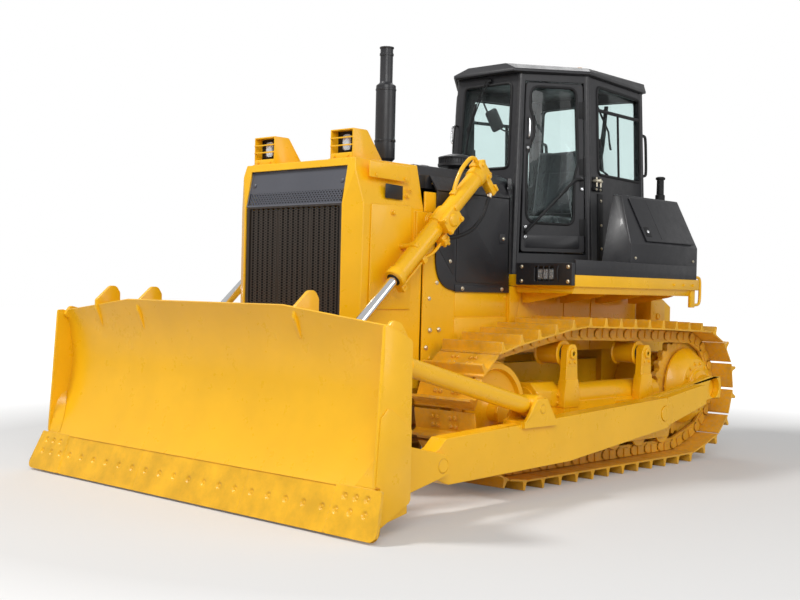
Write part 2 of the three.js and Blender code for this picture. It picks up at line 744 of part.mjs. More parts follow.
function sideBox(side) {
  const z0 = fenderTopZ + touchGap;
  const outline = (w) => [
    [boxInnerX + w, z0 + w], [boxOuterX - w, z0 + w], [boxOuterX - w, boxKink.z - w * 0.3],
    [boxTopX - w * 0.6, boxTopZ - w], [boxInnerX + w, boxTopZ - w],
  ].map(([x, z]) => [side * x, z]);
  const wall = 14;
  const lean = (shift) => [
    [-1400, 1500], [boxFrontLowY + shift, 1500], [boxFrontLowY + shift, boxKink.z],
    [boxFrontY(2400) + shift, 2400], [-1400, 2400],
  ];
  const outer = alongY(outline(0), -1250, boxRearY).subtract(alongX(lean(0), side * 800, side * 1400));
  const inner = alongY(outline(wall), -1240, boxRearY - wall)
    .subtract(alongX(lean(wall), side * 800, side * 1400));
  const outside = lidLine(30, -lidLap, side);
  const inside = lidLine(-60, -lidLap, side);
  const mouth = alongY([outside[0], outside[1], inside[1], inside[0]], lidFront + lidLap, lidRear - lidLap);
  return outer.subtract(inner).subtract(mouth);
}

// Two points of the lid's line on the box's slope: lower and upper, moved out by a distance.
function lidLine(out, grow, side) {
  const dx = boxTopX - boxKink.x;
  const dz = boxTopZ - boxKink.z;
  const length = Math.hypot(dx, dz);
  const ux = dx / length;
  const uz = dz / length;
  const at = (s) => [side * (boxKink.x + ux * s + uz * out), boxKink.z + uz * s - ux * out];
  return [at(lidEdge - grow), at(length - lidEdge + grow)];
}

function boxLid(side) {
  const low = lidLine(touchGap, 0, side);
  const high = lidLine(touchGap + lidThickness, 0, side);
  return alongY([low[0], low[1], high[1], high[0]], lidFront, lidRear);
}

function fuelTank() {
  const outline = [[tankFrontY, 1492], [480, 1492], [480, 1960], [350, 2210], [tankFrontY, 2210]];
  return alongX(outline, -600, 600);
}

// ---------------------------------------------------------------- cab
// One of the cab's left-hand corners at a height.
function cabCorner(key, z) {
  const t = (z - cabBase.z) / (cabHead.z - cabBase.z);
  return cabBase[key].map((v, i) => v + (cabHead[key][i] - v) * t);
}

// Where two lines meet in plan; each line is a point and the next one along the outline.
function crossing([a, b], [c, d]) {
  const r = [b[0] - a[0], b[1] - a[1]];
  const q = [d[0] - c[0], d[1] - c[1]];
  const t = ((c[0] - a[0]) * q[1] - (c[1] - a[1]) * q[0]) / (r[0] * q[1] - r[1] * q[0]);
  return [a[0] + r[0] * t, a[1] + r[1] * t];
}

// The cab's six-sided outline at a height, with every face pulled in by a distance.
function cabPlan(z, inset) {
  const half = ["front", "hinge", "rear"].map((key) => cabCorner(key, z));
  const outline = [...half, ...half.map(([x, y]) => [-x, y]).reverse()];
  const faces = outline.map((a, i) => {
    const b = outline[(i + 1) % outline.length];
    const length = Math.hypot(b[0] - a[0], b[1] - a[1]);
    const move = [(-(b[1] - a[1]) / length) * inset, ((b[0] - a[0]) / length) * inset];
    return [a, b].map((p) => [p[0] + move[0], p[1] + move[1]]);
  });
  return faces.map((face, i) => crossing(faces[(i + 5) % 6], face));
}

function cabShell(inset, z0, z1) {
  const low = cabPlan(z0, inset);
  const high = cabPlan(z1, inset);
  const vertices = [...low.map(([x, y]) => [x, y, z0]), ...high.map(([x, y]) => [x, y, z1])];
  const faces = [];
  for (let i = 1; i < 5; i++) {
    faces.push(0, i + 1, i);
    faces.push(6, 6 + i, 7 + i);
  }
  for (let i = 0; i < 6; i++) {
    const j = (i + 1) % 6;
    faces.push(i, j, 6 + j, i, 6 + j, 6 + i);
  }
  return solidOf(polyhedron(vertices, faces));
}

function polyhedron(vertices, faces) {
  const geometry = new THREE.BufferGeometry();
  geometry.setAttribute("position", new THREE.Float32BufferAttribute(vertices.flat(), 3));
  geometry.setIndex(faces);
  return geometry;
}


// The layer between two depths under the cab's outer faces.
function cabLayer(outer, inner) {
  const skin = cabShell(outer, cabBottomZ, cabTopZ);
  return skin.subtract(cabShell(inner, cabBottomZ - 50, cabTopZ + 50));
}

// A window or door cutter on the slanted door face: distances run from the front corner.
function doorFaceCut(side, from, to, z0, z1) {
  const corner = cabBase.front;
  const hinge = cabBase.hinge;
  const span = Math.hypot(hinge[0] - corner[0], hinge[1] - corner[1]);
  const ux = (hinge[0] - corner[0]) / span;
  const uy = (hinge[1] - corner[1]) / span;
  const at = (u, v) => [side * (corner[0] + ux * u + uy * v), corner[1] + uy * u - ux * v];
  return alongZ([at(from, -170), at(to, -170), at(to, 90), at(from, 90)], z0, z1);
}

const doorFrom = 62;
const doorTo = 655;
const doorPane = { from: 120, to: 560, z0: 1975, z1: 3150 };
const windshieldPane = { half: 275, z0: 2490, z1: 3205 };
const sidePane = { from: 165, to: 1000, z0: 2470, z1: 3215 };
const rearPane = { half: 515, z0: 2470, z1: 3210 };
const glassDepth = 18;

function windshieldCut(grow) {
  const w = windshieldPane;
  return block(-w.half - grow, w.half + grow, -1700, -1400, w.z0 - grow, w.z1 + grow);
}

function sideCut(side, grow) {
  const w = sidePane;
  const [hx, hy] = cabCorner("hinge", w.z0);
  const [rx, ry] = cabCorner("rear", w.z0);
  const span = Math.hypot(rx - hx, ry - hy);
  const u = [(rx - hx) / span, (ry - hy) / span];
  const at = (a, b) => [side * (hx + u[0] * a + u[1] * b), hy + u[1] * a - u[0] * b];
  const plan = [at(w.from - grow, -120), at(w.to + grow, -120), at(w.to + grow, 120), at(w.from - grow, 120)];
  return alongZ(plan, w.z0 - grow, w.z1 + grow);
}

function rearCut(grow) {
  const w = rearPane;
  return block(-w.half - grow, w.half + grow, -120, 120, w.z0 - grow, w.z1 + grow);
}

function paneCut(side, grow) {
  const w = doorPane;
  return doorFaceCut(side, w.from - grow, w.to + grow, w.z0 - grow, w.z1 + grow);
}

function cabFrame() {
  const openings = [windshieldCut(0), rearCut(0)];
  for (const [, s] of sides) {
    openings.push(sideCut(s, 0), doorFaceCut(s, doorFrom, doorTo, doorBottomZ, doorTopZ));
  }
  let shell = cabLayer(0, cabWall);
  for (const cut of openings) shell = shell.subtract(cut);
  const floor = cabShell(cabWall - 10, cabBottomZ, doorBottomZ - 35);
  const under = cabShell(cabWall + 40, cabBottomZ - 10, doorBottomZ - 75);
  const ceiling = cabShell(cabWall - 10, cabTopZ - 26, cabTopZ);
  const bracing = block(-110, 110, -640, -480, doorBottomZ - 80, 1990);
  return join(shell, floor.subtract(under), ceiling, bracing);
}

function cabRoof() {
  const low = cabTopZ + touchGap;
  const mirrored = (corners) => [...corners, ...corners.map(([x, y]) => [-x, y]).reverse()];
  const rim = alongZ(mirrored(roofRim), low, low + roofRimHeight);
  const crown = alongZ(mirrored(roofCrown), low, roofTopZ);
  const shell = join(rim, crown).hull();
  const beacon = bar([beaconX, beaconY, roofTopZ - 10], [beaconX, beaconY, overallHeight], 40, 16);
  return join(shell, beacon);
}

const roofTopZ = 3376;
const roofRimHeight = 24;
const roofRim = [[330, -1604], [737, -1076], [604, 26]]; // left half of the rim's plan
const roofCrown = [[208, -1560], [622, -956], [588, 16]]; // left half of the flat top's plan
const beaconX = 520;
const beaconY = -930;

function cabPane(cutter) {
  return cabLayer(glassDepth, glassDepth + glassThickness).intersect(cutter);
}

function door(side) {
  const body = cabLayer(0, cabWall - 8).intersect(
    doorFaceCut(side, doorFrom + doorGap, doorTo - doorGap, doorBottomZ + doorGap, doorTopZ - doorGap),
  );
  return body.subtract(paneCut(side, 0));
}

const seatY = -640;

function seatCushion() {
  return block(-250, 250, seatY - 260, seatY + 160, 2010, 2140);
}

function seatBack() {
  const outline = [[seatY + 70, 2152], [seatY + 165, 2152], [seatY + 250, 2760], [seatY + 165, 2780]];
  return alongX(outline, -240, 240);
}

function dashboard() {
  const z0 = doorBottomZ - 35 + touchGap;
  const outline = [[-1470, z0], [-1390, z0], [-1330, 2240], [-1350, 2360], [-1440, 2380]];
  return alongX(outline, -250, 250);
}

// ---------------------------------------------------------------- blade and its carrier
function pushArm(side) {
  const x0 = side * (armX - armWidth / 2);
  const x1 = side * (armX + armWidth / 2);
  const p = armPivot;
  const cap = [];
  for (let i = 0; i <= 10; i++) {
    const angle = -Math.PI / 2 + (Math.PI * i) / 10;
    cap.push([p.y + armEndRadius * Math.cos(angle), p.z + armEndRadius * Math.sin(angle)]);
  }
  const outline = [...cap, [-3730, 492], [armPinY + 30, 430], [armPinY - 60, 400], [armPinY - 60, 262],
    [armPinY + 60, 215], [-3700, 190], [-2350, 222]];
  const boxRound = alongX(outline, x0, x1);
  const bore = bar([side * 1200, p.y, p.z], [side * 1600, p.y, p.z], armPivotRadius + pinGap, 32);
  // bracket on the blade side: base plate, two lugs and the pin
  const plate = block(side * 1290, side * 1570, bladeBackY + moveGap, bladeBackY + moveGap + padThickness, 140, 540);
  const lug = [
    [bladeBackY + moveGap + 20, 150], [armPinY - 40, armPinZ - 85], [armPinY + 60, armPinZ - 60],
    [armPinY + 60, armPinZ + 60], [armPinY - 40, armPinZ + 85], [bladeBackY + moveGap + 20, 520],
  ];
  const tongue = block(side * 1385, side * 1475, bladeBackY + 20, armPinY + 10, armPinZ - 70, armPinZ + 65);
  const parts = [boxRound.subtract(bore), plate, tongue];
  for (const [a, b] of [[1302, 1342], [1518, 1558]]) parts.push(alongX(lug, side * a, side * b));
  parts.push(bar([side * 1296, armPinY, armPinZ], [side * 1564, armPinY, armPinZ], 46, 16));
  // brace bracket on top of the arm
  const b = braceRear;
  const ear = [[b.y - 190, 540], [b.y + 170, 540], [b.y + 60, b.z + 70], [b.y - 60, b.z + 70]];
  for (const [a, c] of [[armX - 98, armX - 70], [armX + 70, armX + 98]]) {
    parts.push(alongX(ear, side * a, side * c));
  }
  parts.push(block(side * (armX - 98), side * (armX + 98), b.y - 200, b.y + 180, 500, 550));
  parts.push(bar([side * (armX - 106), b.y, b.z], [side * (armX + 106), b.y, b.z], bracePinRadius, 16));
  return join(...parts);
}

function braceEye(side) {
  const { y, z } = braceRear;
  const ring = bar([side * (armX - 64), y, z], [side * (armX + 64), y, z], 60, 20);
  const bore = bar([side * (armX - 70), y, z], [side * (armX + 70), y, z], bracePinRadius + pinGap, 16);
  const neck = bar(bracePoint(side, 0.02), bracePoint(side, 0.12), 50, 16);
  return { eye: join(ring, neck), bore };
}

function bracePoint(side, share) {
  const y = braceRear.y + (braceFront.y - braceRear.y) * share;
  const z = braceRear.z + (braceFront.z - braceRear.z) * share;
  return [side * armX, y, z];
}

function braceHead(side) {
  const x = side * armX;
  const y0 = bladeBackY + moveGap;
  const plate = block(x - 110, x + 110, y0, y0 + padThickness, 880, 1150);
  const lug = [[y0 + 20, 900], [braceFront.y + 20, braceFront.z - 70], [braceFront.y + 60, braceFront.z],
    [braceFront.y + 20, braceFront.z + 70], [y0 + 20, 1130]];
  const lugs = [[-76, -46], [46, 76]].map(([a, b]) => alongX(lug, x + a, x + b));
  const pin = bar([x - 84, braceFront.y, braceFront.z], [x + 84, braceFront.y, braceFront.z], 30, 16);
  return join(plate, ...lugs, pin);
}

function brace(side) {
  const { eye, bore } = braceEye(side);
  const tube = bar(bracePoint(side, 0.07), bracePoint(side, 0.9), braceRadius, 16);
  const rod = bar(bracePoint(side, 0.85), bracePoint(side, 1), 40, 16);
  const frontEye = bar([side * (armX - 40), braceFront.y, braceFront.z], [side * (armX + 40), braceFront.y, braceFront.z],
    62, 16);
  return join(eye, tube, rod, frontEye, braceHead(side)).subtract(bore);
}

// The right-hand brace is a cylinder: a stout barrel with its rod held out part way.
function tiltCylinder(side) {
  const { eye, bore } = braceEye(side);
  const barrel = bar(bracePoint(side, 0.1), bracePoint(side, 0.62), 84, 16);
  const gland = bar(bracePoint(side, 0.6), bracePoint(side, 0.65), 92, 16);
  const socket = bar(bracePoint(side, 0.58), bracePoint(side, 0.7), tiltRodRadius + touchGap, 16);
  return join(eye, barrel, gland).subtract(bore).subtract(socket);
}

const tiltRodRadius = 40;

function tiltRod(side) {
  const rod = bar(bracePoint(side, 0.581), bracePoint(side, 1), tiltRodRadius, 16);
  const frontEye = bar([side * (armX - 40), braceFront.y, braceFront.z], [side * (armX + 40), braceFront.y, braceFront.z],
    62, 16);
  return join(rod, frontEye, braceHead(side));
}

function rodYoke(side) {
  const y = yokePadY + moveGap;
  const z = liftEye.z;
  const plate = block(side * (liftX - 110), side * (liftX + 110), y, y + 30, z - 170, z + 170);
  const cheek = [[y + 20, z - 150], [liftEye.y + 10, z - 70], [liftEye.y + 50, z], [liftEye.y + 10, z + 70],
    [y + 20, z + 150]];
  const cheeks = [[-96, -68], [68, 96]].map(([a, b]) => alongX(cheek, side * (liftX + a), side * (liftX + b)));
  return join(plate, ...cheeks);
}

// Axis of a lift cylinder: unit vector from its trunnion towards the rod's eye.
const liftLength = Math.hypot(liftEye.y - liftPivot.y, liftEye.z - liftPivot.z);
const liftDir = { y: (liftEye.y - liftPivot.y) / liftLength, z: (liftEye.z - liftPivot.z) / liftLength };
const rodInnerEnd = 250;

// Cylinder parts are made along -Z from the trunnion, in a group turned onto the axis.
function down(radius, from, to, segments = 16) {
  return bar([0, 0, -from], [0, 0, -to], radius, segments);
}

function liftCylinder() {
  const collar = bar([-collarHalf, 0, 0], [collarHalf, 0, 0], 58, 20);
  const barrel = down(barrelRadius, -barrelUp, barrelDown);
  const glandRing = down(barrelRadius + 12, barrelDown - 60, barrelDown);
  const topCap = down(barrelRadius + 8, -barrelUp, -barrelUp + 70);
  const trunnionRing = down(barrelRadius + 14, -70, 70);
  const bore = down(liftRodRadius + touchGap, -barrelUp + 40, barrelDown + 5);
  const socket = bar([-200, 0, 0], [200, 0, 0], trunnionRadius + pinGap, 20);
  const keep = down(socketFloor, -80, 80);
  return join(collar, barrel, glandRing, topCap, trunnionRing).subtract(socket.subtract(keep)).subtract(bore);
}

function liftRod() {
  const rod = down(liftRodRadius, rodInnerEnd, liftLength);
  const eye = bar([-52, 0, -liftLength], [52, 0, -liftLength], 56, 16);
  const stub = bar([-60, 0, -liftLength], [60, 0, -liftLength], 34, 16);
  return join(rod, eye, stub);
}

function liftGroup(side) {
  const group = new THREE.Group();
  group.position.set(side * liftX, liftPivot.y, liftPivot.z);
  group.rotation.x = -Math.atan2(-liftDir.y, -liftDir.z);
  machine.add(group);
  return group;
}

// Front face of the moldboard: an arc hollow towards the front, then a straight foot.
const moldTop = { y: -4580, z: 1333 };
const moldFoot = { y: -4652, z: 290 };
const moldHollow = 150;
const edgeTip = { y: bladeFrontY, z: 18 };

function moldCurve(shift) {
  const points = [];
  const my = (moldTop.y + moldFoot.y) / 2;
  const mz = (moldTop.z + moldFoot.z) / 2;
  const halfChord = Math.hypot(moldTop.y - my, moldTop.z - mz);
  const radius = (halfChord ** 2 + moldHollow ** 2) / (2 * moldHollow);
  const ny = (moldTop.z - moldFoot.z) / (2 * halfChord);
  const nz = -(moldTop.y - moldFoot.y) / (2 * halfChord);
  const cy = my - ny * (radius - moldHollow);
  const cz = mz - nz * (radius - moldHollow);
  const half = Math.asin(halfChord / radius);
  const facing = Math.atan2(nz, ny);
  for (let i = 0; i <= 14; i++) {
    const angle = facing - half + (2 * half * i) / 14;
    points.push([cy + (radius + shift) * Math.cos(angle), cz + (radius + shift) * Math.sin(angle)]);
  }
  return points;
}

const bladeTopDrop = { x: 840, z: 1235 };
const endPlateX = 1755;
const yokeSwing = 195; // half the width of a yoke and its travel as the blade tilts

function blade() {
  const front = moldCurve(0);
  const back = moldCurve(24).reverse();
  const sheet = alongX([[moldFoot.y - 24, 140], ...front, [moldTop.y + 26, moldTop.z], ...back,
    [moldFoot.y + 30, 140]], -endPlateX + 5, endPlateX - 5);
  const lowBeam = alongX([[moldFoot.y - 30, 130], [moldFoot.y + 10, 300], [-4530, 430], [bladeBackY, 430],
    [bladeBackY, 120], [moldFoot.y + 60, 70]], -endPlateX + 5, endPlateX - 5);
  const highBeam = alongX([[-4500, 1100], [-4560, 1235], [-4500, 1260], [bladeBackY, 1150], [bladeBackY, 1040]],
    -endPlateX + 5, endPlateX - 5);
  const parts = [sheet, lowBeam, highBeam];
  const behind = moldCurve(12).filter(([, z]) => z < 1200);
  const post = [[moldFoot.y + 20, 200], ...behind, [bladeBackY, 1150], [bladeBackY, 140]];
  for (const [, s] of sides) {
    parts.push(alongX(post, s * 1250, s * 1610));
    parts.push(alongX(post, s * 400, s * 440));
    const end = [[-4590, 1235], [-4545, 1235], [bladeBackY, 1130], [bladeBackY, 180], [-4600, 60], [-4672, 150],
      [-4618, moldFoot.z + 6], [moldFoot.y + 2, moldFoot.z + 14]];
    parts.push(alongX(end, s * (endPlateX - 30), s * endPlateX));
    const hollow = moldCurve(12).filter(([, z]) => z > 540 && z < 1120);
    const flat = alongX([...hollow, [yokePadY, 1110], [yokePadY, 550]],
      s * (liftX - 160), s * (liftX + 160));
    parts.push(flat);
  }
  const slope = (s) => alongY([[s * bladeTopDrop.x, bladeHeight + 18], [s * 2000, 1187], [s * 2000, 1500],
    [s * bladeTopDrop.x, 1500]], -4800, -4300);
  // room over each rod yoke, which keeps still while the blade tilts behind it
  const yokeRoom = (s) => block(s * (liftX - yokeSwing), s * (liftX + yokeSwing), yokePadY, bladeBackY + 20, 900, 1300);
  const whole = join(...parts);
  return [1, -1].reduce((a, s) => a.subtract(slope(s)).subtract(yokeRoom(s)), whole).subtract(edgeSolid(touchGap));
}

function edgeSolid(grow) {
  const half = bladeWidth / 2 + grow;
  const dy = edgeTip.y - moldFoot.y;
  const dz = edgeTip.z - moldFoot.z;
  const length = Math.hypot(dy, dz);
  const ny = -dz / length;
  const nz = dy / length;
  const thick = 26 + grow;
  const top = [moldFoot.y - (dy / length) * 10, moldFoot.z - (dz / length) * 10];
  const outline = [
    [edgeTip.y, edgeTip.z], [top[0], top[1] + grow], [top[0] + ny * thick, top[1] + nz * thick + grow],
    [edgeTip.y + ny * thick + grow, edgeTip.z],
  ];
  return alongX(outline, -half, half);
}

function cuttingEdge() {
  const edge = edgeSolid(0);
  const corner = (s) => alongY([[s * (bladeWidth / 2 + 5), -20], [s * (bladeWidth / 2 + 5), 110],
    [s * (bladeWidth / 2 - 60), -20]], -4900, -4500);
  const shoulder = (s) => alongY([[s * (bladeWidth / 2 + 5), 230], [s * (bladeWidth / 2 + 5), 330],
    [s * (endPlateX - 60), 330]], -4900, -4500);
  return [1, -1].reduce((a, s) => a.subtract(corner(s)).subtract(shoulder(s)), edge);
}

// ---------------------------------------------------------------- the machine
piece("main_frame", mainFrame(), yellow);
piece("equalizer_bar", equalizerBar(), yellow);
piece("engine", engine(), ironBlock);
piece("radiator_guard", radiatorGuard(), yellow);
piece("grille", grille(), darkPaint);
piece("hood", hood(), darkPaint);
piece("exhaust_stack", exhaustStack(), darkPaint);
piece("air_precleaner", preCleaner(), darkPaint);
piece("fuel_tank", fuelTank(), darkPaint);
piece("cab_frame", cabFrame(), darkPaint);
piece("cab_roof", cabRoof(), darkPaint);
piece("windshield", cabPane(windshieldCut(-touchGap)), glass);
piece("rear_window", cabPane(rearCut(-touchGap)), glass);
piece("dashboard", dashboard(), plastic);
piece("seat_cushion", seatCushion(), seatCloth);
piece("seat_back", seatBack(), seatCloth);

for (const [name, s] of sides) {
  const trackX = (s * trackGauge) / 2;
  piece(`${name}_track`, track(trackX), wornSteel);
  piece(`${name}_track_frame`, trackFrame(trackX, s), yellow);
  piece(`${name}_sprocket`, sprocket(trackX), castSteel);
  piece(`${name}_final_drive`, finalDrive(s), yellow);
  piece(`${name}_idler`, idler(trackX), yellow);
  piece(`${name}_track_rollers`, trackRollers(trackX), yellow);
  piece(`${name}_headlight`, headlight(s), yellow);
  piece(`${name}_side_cover`, sideCover(s), darkPaint);
  piece(`${name}_fender`, fender(s), yellow);
  piece(`${name}_side_box`, sideBox(s), darkPaint);
  piece(`${name}_box_lid`, boxLid(s), darkPaint);
  piece(`${name}_side_window`, cabPane(sideCut(s, -touchGap)), glass);
  piece(`${name}_door`, door(s), darkPaint);
  piece(`${name}_door_glass`, cabPane(paneCut(s, -touchGap)), glass);
  piece(`${name}_push_arm`, pushArm(s), yellow);
  piece(`${name}_rod_yoke`, rodYoke(s), yellow);
  const group = liftGroup(s);
  piece(`${name}_lift_cylinder`, liftCylinder(), yellow, group);
  piece(`${name}_lift_rod`, liftRod(), chrome, group);
}
piece("left_brace", brace(1), yellow);
piece("tilt_cylinder", tiltCylinder(-1), yellow);
piece("tilt_rod", tiltRod(-1), chrome);
piece("blade", blade(), yellow);
piece("cutting_edge", cuttingEdge(), wornSteel);

machine.position.y = -(bladeFrontY + drawbarRearY) / 2;

export default machine;
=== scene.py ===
"""Looks of a crawler dozer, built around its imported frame.

Places are written in metres. Y is counted from 40 mm ahead of the drive sprockets, as in
the part's source, and `Part.emit` moves it into the frame. +Z is up, the machine drives towards
-Y and its left side is +X.
"""
import json
import math

import bmesh
import bpy
import numpy as np
from bpy.props import FloatProperty, FloatVectorProperty, IntProperty, PointerProperty
from bpy.types import Operator, Panel, PropertyGroup
from mathutils import Matrix, Vector


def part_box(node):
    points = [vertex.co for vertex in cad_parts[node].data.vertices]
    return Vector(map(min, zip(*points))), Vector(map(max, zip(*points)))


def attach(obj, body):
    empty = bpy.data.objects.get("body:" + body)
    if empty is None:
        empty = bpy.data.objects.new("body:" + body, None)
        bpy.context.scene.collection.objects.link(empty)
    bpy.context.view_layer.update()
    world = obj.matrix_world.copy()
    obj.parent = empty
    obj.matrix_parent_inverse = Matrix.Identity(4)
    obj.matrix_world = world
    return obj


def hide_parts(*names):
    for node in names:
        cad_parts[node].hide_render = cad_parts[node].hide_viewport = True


bl_info = {
    "name": "Crawler Dozer", "version": (1, 0, 0),
    "blender": (4, 5, 0), "location": "View3D > Sidebar > Dozer",
    "description": "Builds the looks of a crawler dozer around its frame", "category": "Add Mesh",
}

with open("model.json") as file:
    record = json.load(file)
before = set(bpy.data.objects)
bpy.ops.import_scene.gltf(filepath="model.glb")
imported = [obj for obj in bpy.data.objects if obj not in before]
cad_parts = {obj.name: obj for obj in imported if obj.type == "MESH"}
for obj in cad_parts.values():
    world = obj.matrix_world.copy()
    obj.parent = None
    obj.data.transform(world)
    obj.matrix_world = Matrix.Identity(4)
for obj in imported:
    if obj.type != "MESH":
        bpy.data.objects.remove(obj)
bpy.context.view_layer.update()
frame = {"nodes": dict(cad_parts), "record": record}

SIDES = (("left", 1), ("right", -1))
SPROCKET = {"y": 0.04, "z": 0.64}
_low, _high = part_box("left_sprocket")
SHIFT = (_low[1] + _high[1]) / 2 - SPROCKET["y"]


# ---------------------------------------------------------------- mesh kit
class Part:
    """A mesh in the making: vertices (n, 3) and faces as lists of vertex numbers."""

    def __init__(self, verts=(), faces=()):
        self.verts = np.asarray(verts, float).reshape(-1, 3)
        self.faces = list(faces)

    def __add__(self, other):
        start = len(self.verts)
        moved = [[i + start for i in face] for face in other.faces]
        return Part(np.concatenate([self.verts, other.verts]), self.faces + moved)

    def moved(self, matrix):
        """Every vertex times a 4 by 4 matrix; faces turn round when it mirrors."""
        verts = self.verts @ matrix[:3, :3].T + matrix[:3, 3]
        flip = np.linalg.det(matrix[:3, :3]) < 0
        faces = [face[::-1] for face in self.faces] if flip else self.faces
        return Part(verts, faces)

    def mirrored(self):
        """The same part on the machine's other side: x becomes -x."""
        return self.moved(np.diag([-1.0, 1.0, 1.0, 1.0]))

    def emit(self, name, material, body="chassis", slot=None, replaces=(), smooth=32.0):
        """Makes the object: doubles merged, faces smooth but for edges sharper than `smooth`."""
        mesh = bpy.data.meshes.new(name)
        mesh.from_pydata((self.verts + (0, SHIFT, 0)).tolist(), [], self.faces)
        tidy(mesh)
        return show(name, mesh, material, body, replaces, smooth)


def total(parts):
    """All parts as one."""
    parts = list(parts)
    starts = np.cumsum([0] + [len(p.verts) for p in parts])
    faces = [[i + int(s) for i in face] for p, s in zip(parts, starts) for face in p.faces]
    return Part(np.concatenate([p.verts for p in parts]), faces)


def both(part):
    """A left-hand part and its mirror image."""
    return part + part.mirrored()


def tidy(mesh):
    """Merges doubles, so poles and seams close, and drops faces left without area."""
    work = bmesh.new()
    work.from_mesh(mesh)
    bmesh.ops.remove_doubles(work, verts=work.verts, dist=2e-5)
    bmesh.ops.dissolve_degenerate(work, edges=work.edges, dist=1e-6)
    bmesh.ops.recalc_face_normals(work, faces=work.faces)
    work.to_mesh(mesh)
    work.free()


def show(name, mesh, material, body, replaces, smooth):
    """Links the mesh as a piece that rides on a body and stands for CAD nodes."""
    mesh.shade_smooth()
    mesh.set_sharp_from_angle(angle=math.radians(smooth))
    piece = bpy.data.objects.new(name, mesh)
    bpy.context.scene.collection.objects.link(piece)
    mesh.materials.append(MATERIALS[material])
    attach(piece, body)
    if replaces:
        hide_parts(*replaces)
    return piece


def soft_edged(node, width, material, name=None, segments=2, body=None):
    """A CAD node's own shape with its edges rounded: doubles merged, flat triangles joined
    into single faces, then a bevel of the given width."""
    source = frame["nodes"][node]
    mesh = source.data.copy()
    mesh.materials.clear()
    work = bmesh.new()
    work.from_mesh(mesh)
    bmesh.ops.remove_doubles(work, verts=work.verts, dist=2e-5)
    bmesh.ops.dissolve_limit(work, angle_limit=math.radians(1), verts=work.verts, edges=work.edges)
    work.to_mesh(mesh)
    work.free()
    owner = body or next(b for b, nodes in frame["record"]["behaviour"]["bodies"].items() if node in nodes)
    piece = show(name or f"{node}_skin", mesh, material, owner, (node,), 32.0)
    bevel = piece.modifiers.new("edges", "BEVEL")
    bevel.width = width
    bevel.segments = segments
    bevel.limit_method = "ANGLE"
    bevel.angle_limit = math.radians(32)
    bevel.use_clamp_overlap = False
    bevel.harden_normals = True
    return piece


def surface(points, close_u=False, close_v=False, cap=False):
    """Quads between neighbours of an array (rows, columns, 3). A closed direction joins its last
    line to its first; cap fills the first and last rows."""
    points = np.asarray(points, float)
    rows, cols = points.shape[:2]
    u = np.arange(rows if close_u else rows - 1)
    v = np.arange(cols if close_v else cols - 1)
    a, b = np.meshgrid(u, v, indexing="ij")
    a2, b2 = (a + 1) % rows, (b + 1) % cols
    quads = np.stack([a * cols + b, a * cols + b2, a2 * cols + b2, a2 * cols + b], -1)
    faces = quads.reshape(-1, 4).tolist()
    if cap:
        faces.append(list(range(cols))[::-1])
        faces.append(list(range((rows - 1) * cols, rows * cols)))
    return Part(points.reshape(-1, 3), faces)


def frame_of(origin, axis=(0, 0, 1), aside=None):
    """A 4 by 4 matrix whose Z column is `axis` and whose X column is `aside` made square to it."""
    z = np.asarray(axis, float)
    z = z / np.linalg.norm(z)
    x = np.asarray(aside if aside is not None else ((1, 0, 0) if abs(z[0]) < 0.9 else (0, 1, 0)), float)
    x = x - z * (x @ z)
    x = x / np.linalg.norm(x)
    matrix = np.eye(4)
    matrix[:3, :3] = np.stack([x, np.cross(z, x), z], 1)
    matrix[:3, 3] = origin
    return matrix


def lathe(profile, segments=24):
    """A profile of (radius, height) turned about Z: x = r cos a, y = r sin a, z = height."""
    profile = np.asarray(profile, float)
    angle = np.arange(segments) * 2 * np.pi / segments
    r, h = profile[:, 0, None], profile[:, 1, None]
    points = np.stack([r * np.cos(angle), r * np.sin(angle), np.broadcast_to(h, (len(profile), segments))],
                      -1)
    ends = profile[0, 0] > 1e-6
    part = surface(points, close_v=True)
    if ends:
        part.faces.append(list(range(segments))[::-1])
    if profile[-1, 0] > 1e-6:
        part.faces.append(list(range((len(profile) - 1) * segments, len(profile) * segments)))
    return part


def turned(profile, origin, axis, segments=24):
    """A lathe profile stood on a point along an axis."""
    return lathe(profile, segments).moved(frame_of(origin, axis))


def rounded(outline, radius, steps=3):
    """A polygon (n, 2) with each corner an arc that meets both sides square on. Radius may be a
    list with one value a corner."""
    outline = np.asarray(outline, float)
    radius = np.broadcast_to(radius, len(outline))
    before = np.roll(outline, 1, 0) - outline
    after = np.roll(outline, -1, 0) - outline
    la, lb = np.linalg.norm(before, axis=1), np.linalg.norm(after, axis=1)
    a, b = before / la[:, None], after / lb[:, None]
    half = np.arccos(np.clip((a * b).sum(1), -1, 1)) / 2
    reach = np.minimum(radius / np.tan(np.maximum(half, 1e-3)), 0.49 * np.minimum(la, lb))
    t = np.linspace(0, 1, steps + 1)[None, :, None]
    start = outline + a * reach[:, None]
    end = outline + b * reach[:, None]
    curve = (1 - t) ** 2 * start[:, None] + 2 * t * (1 - t) * outline[:, None] + t ** 2 * end[:, None]
    return curve.reshape(-1, 2)


def inset(outline, distance):
    """A polygon with every side moved in by a distance, corners mitred."""
    edge = np.roll(outline, -1, 0) - outline
    length = np.linalg.norm(edge, axis=1, keepdims=True)
    edge = edge / np.maximum(length, 1e-12)
    normal = np.stack([-edge[:, 1], edge[:, 0]], 1)
    other = np.roll(normal, 1, 0)
    share = 1 + (normal * other).sum(1, keepdims=True)
    return outline + (normal + other) / np.maximum(share, 0.2) * distance


def wound(outline):
    """The polygon with its points running anticlockwise."""
    outline = np.asarray(outline, float)
    x, y = outline.T
    area = (x * np.roll(y, -1) - y * np.roll(x, -1)).sum()
    return outline if area > 0 else outline[::-1]


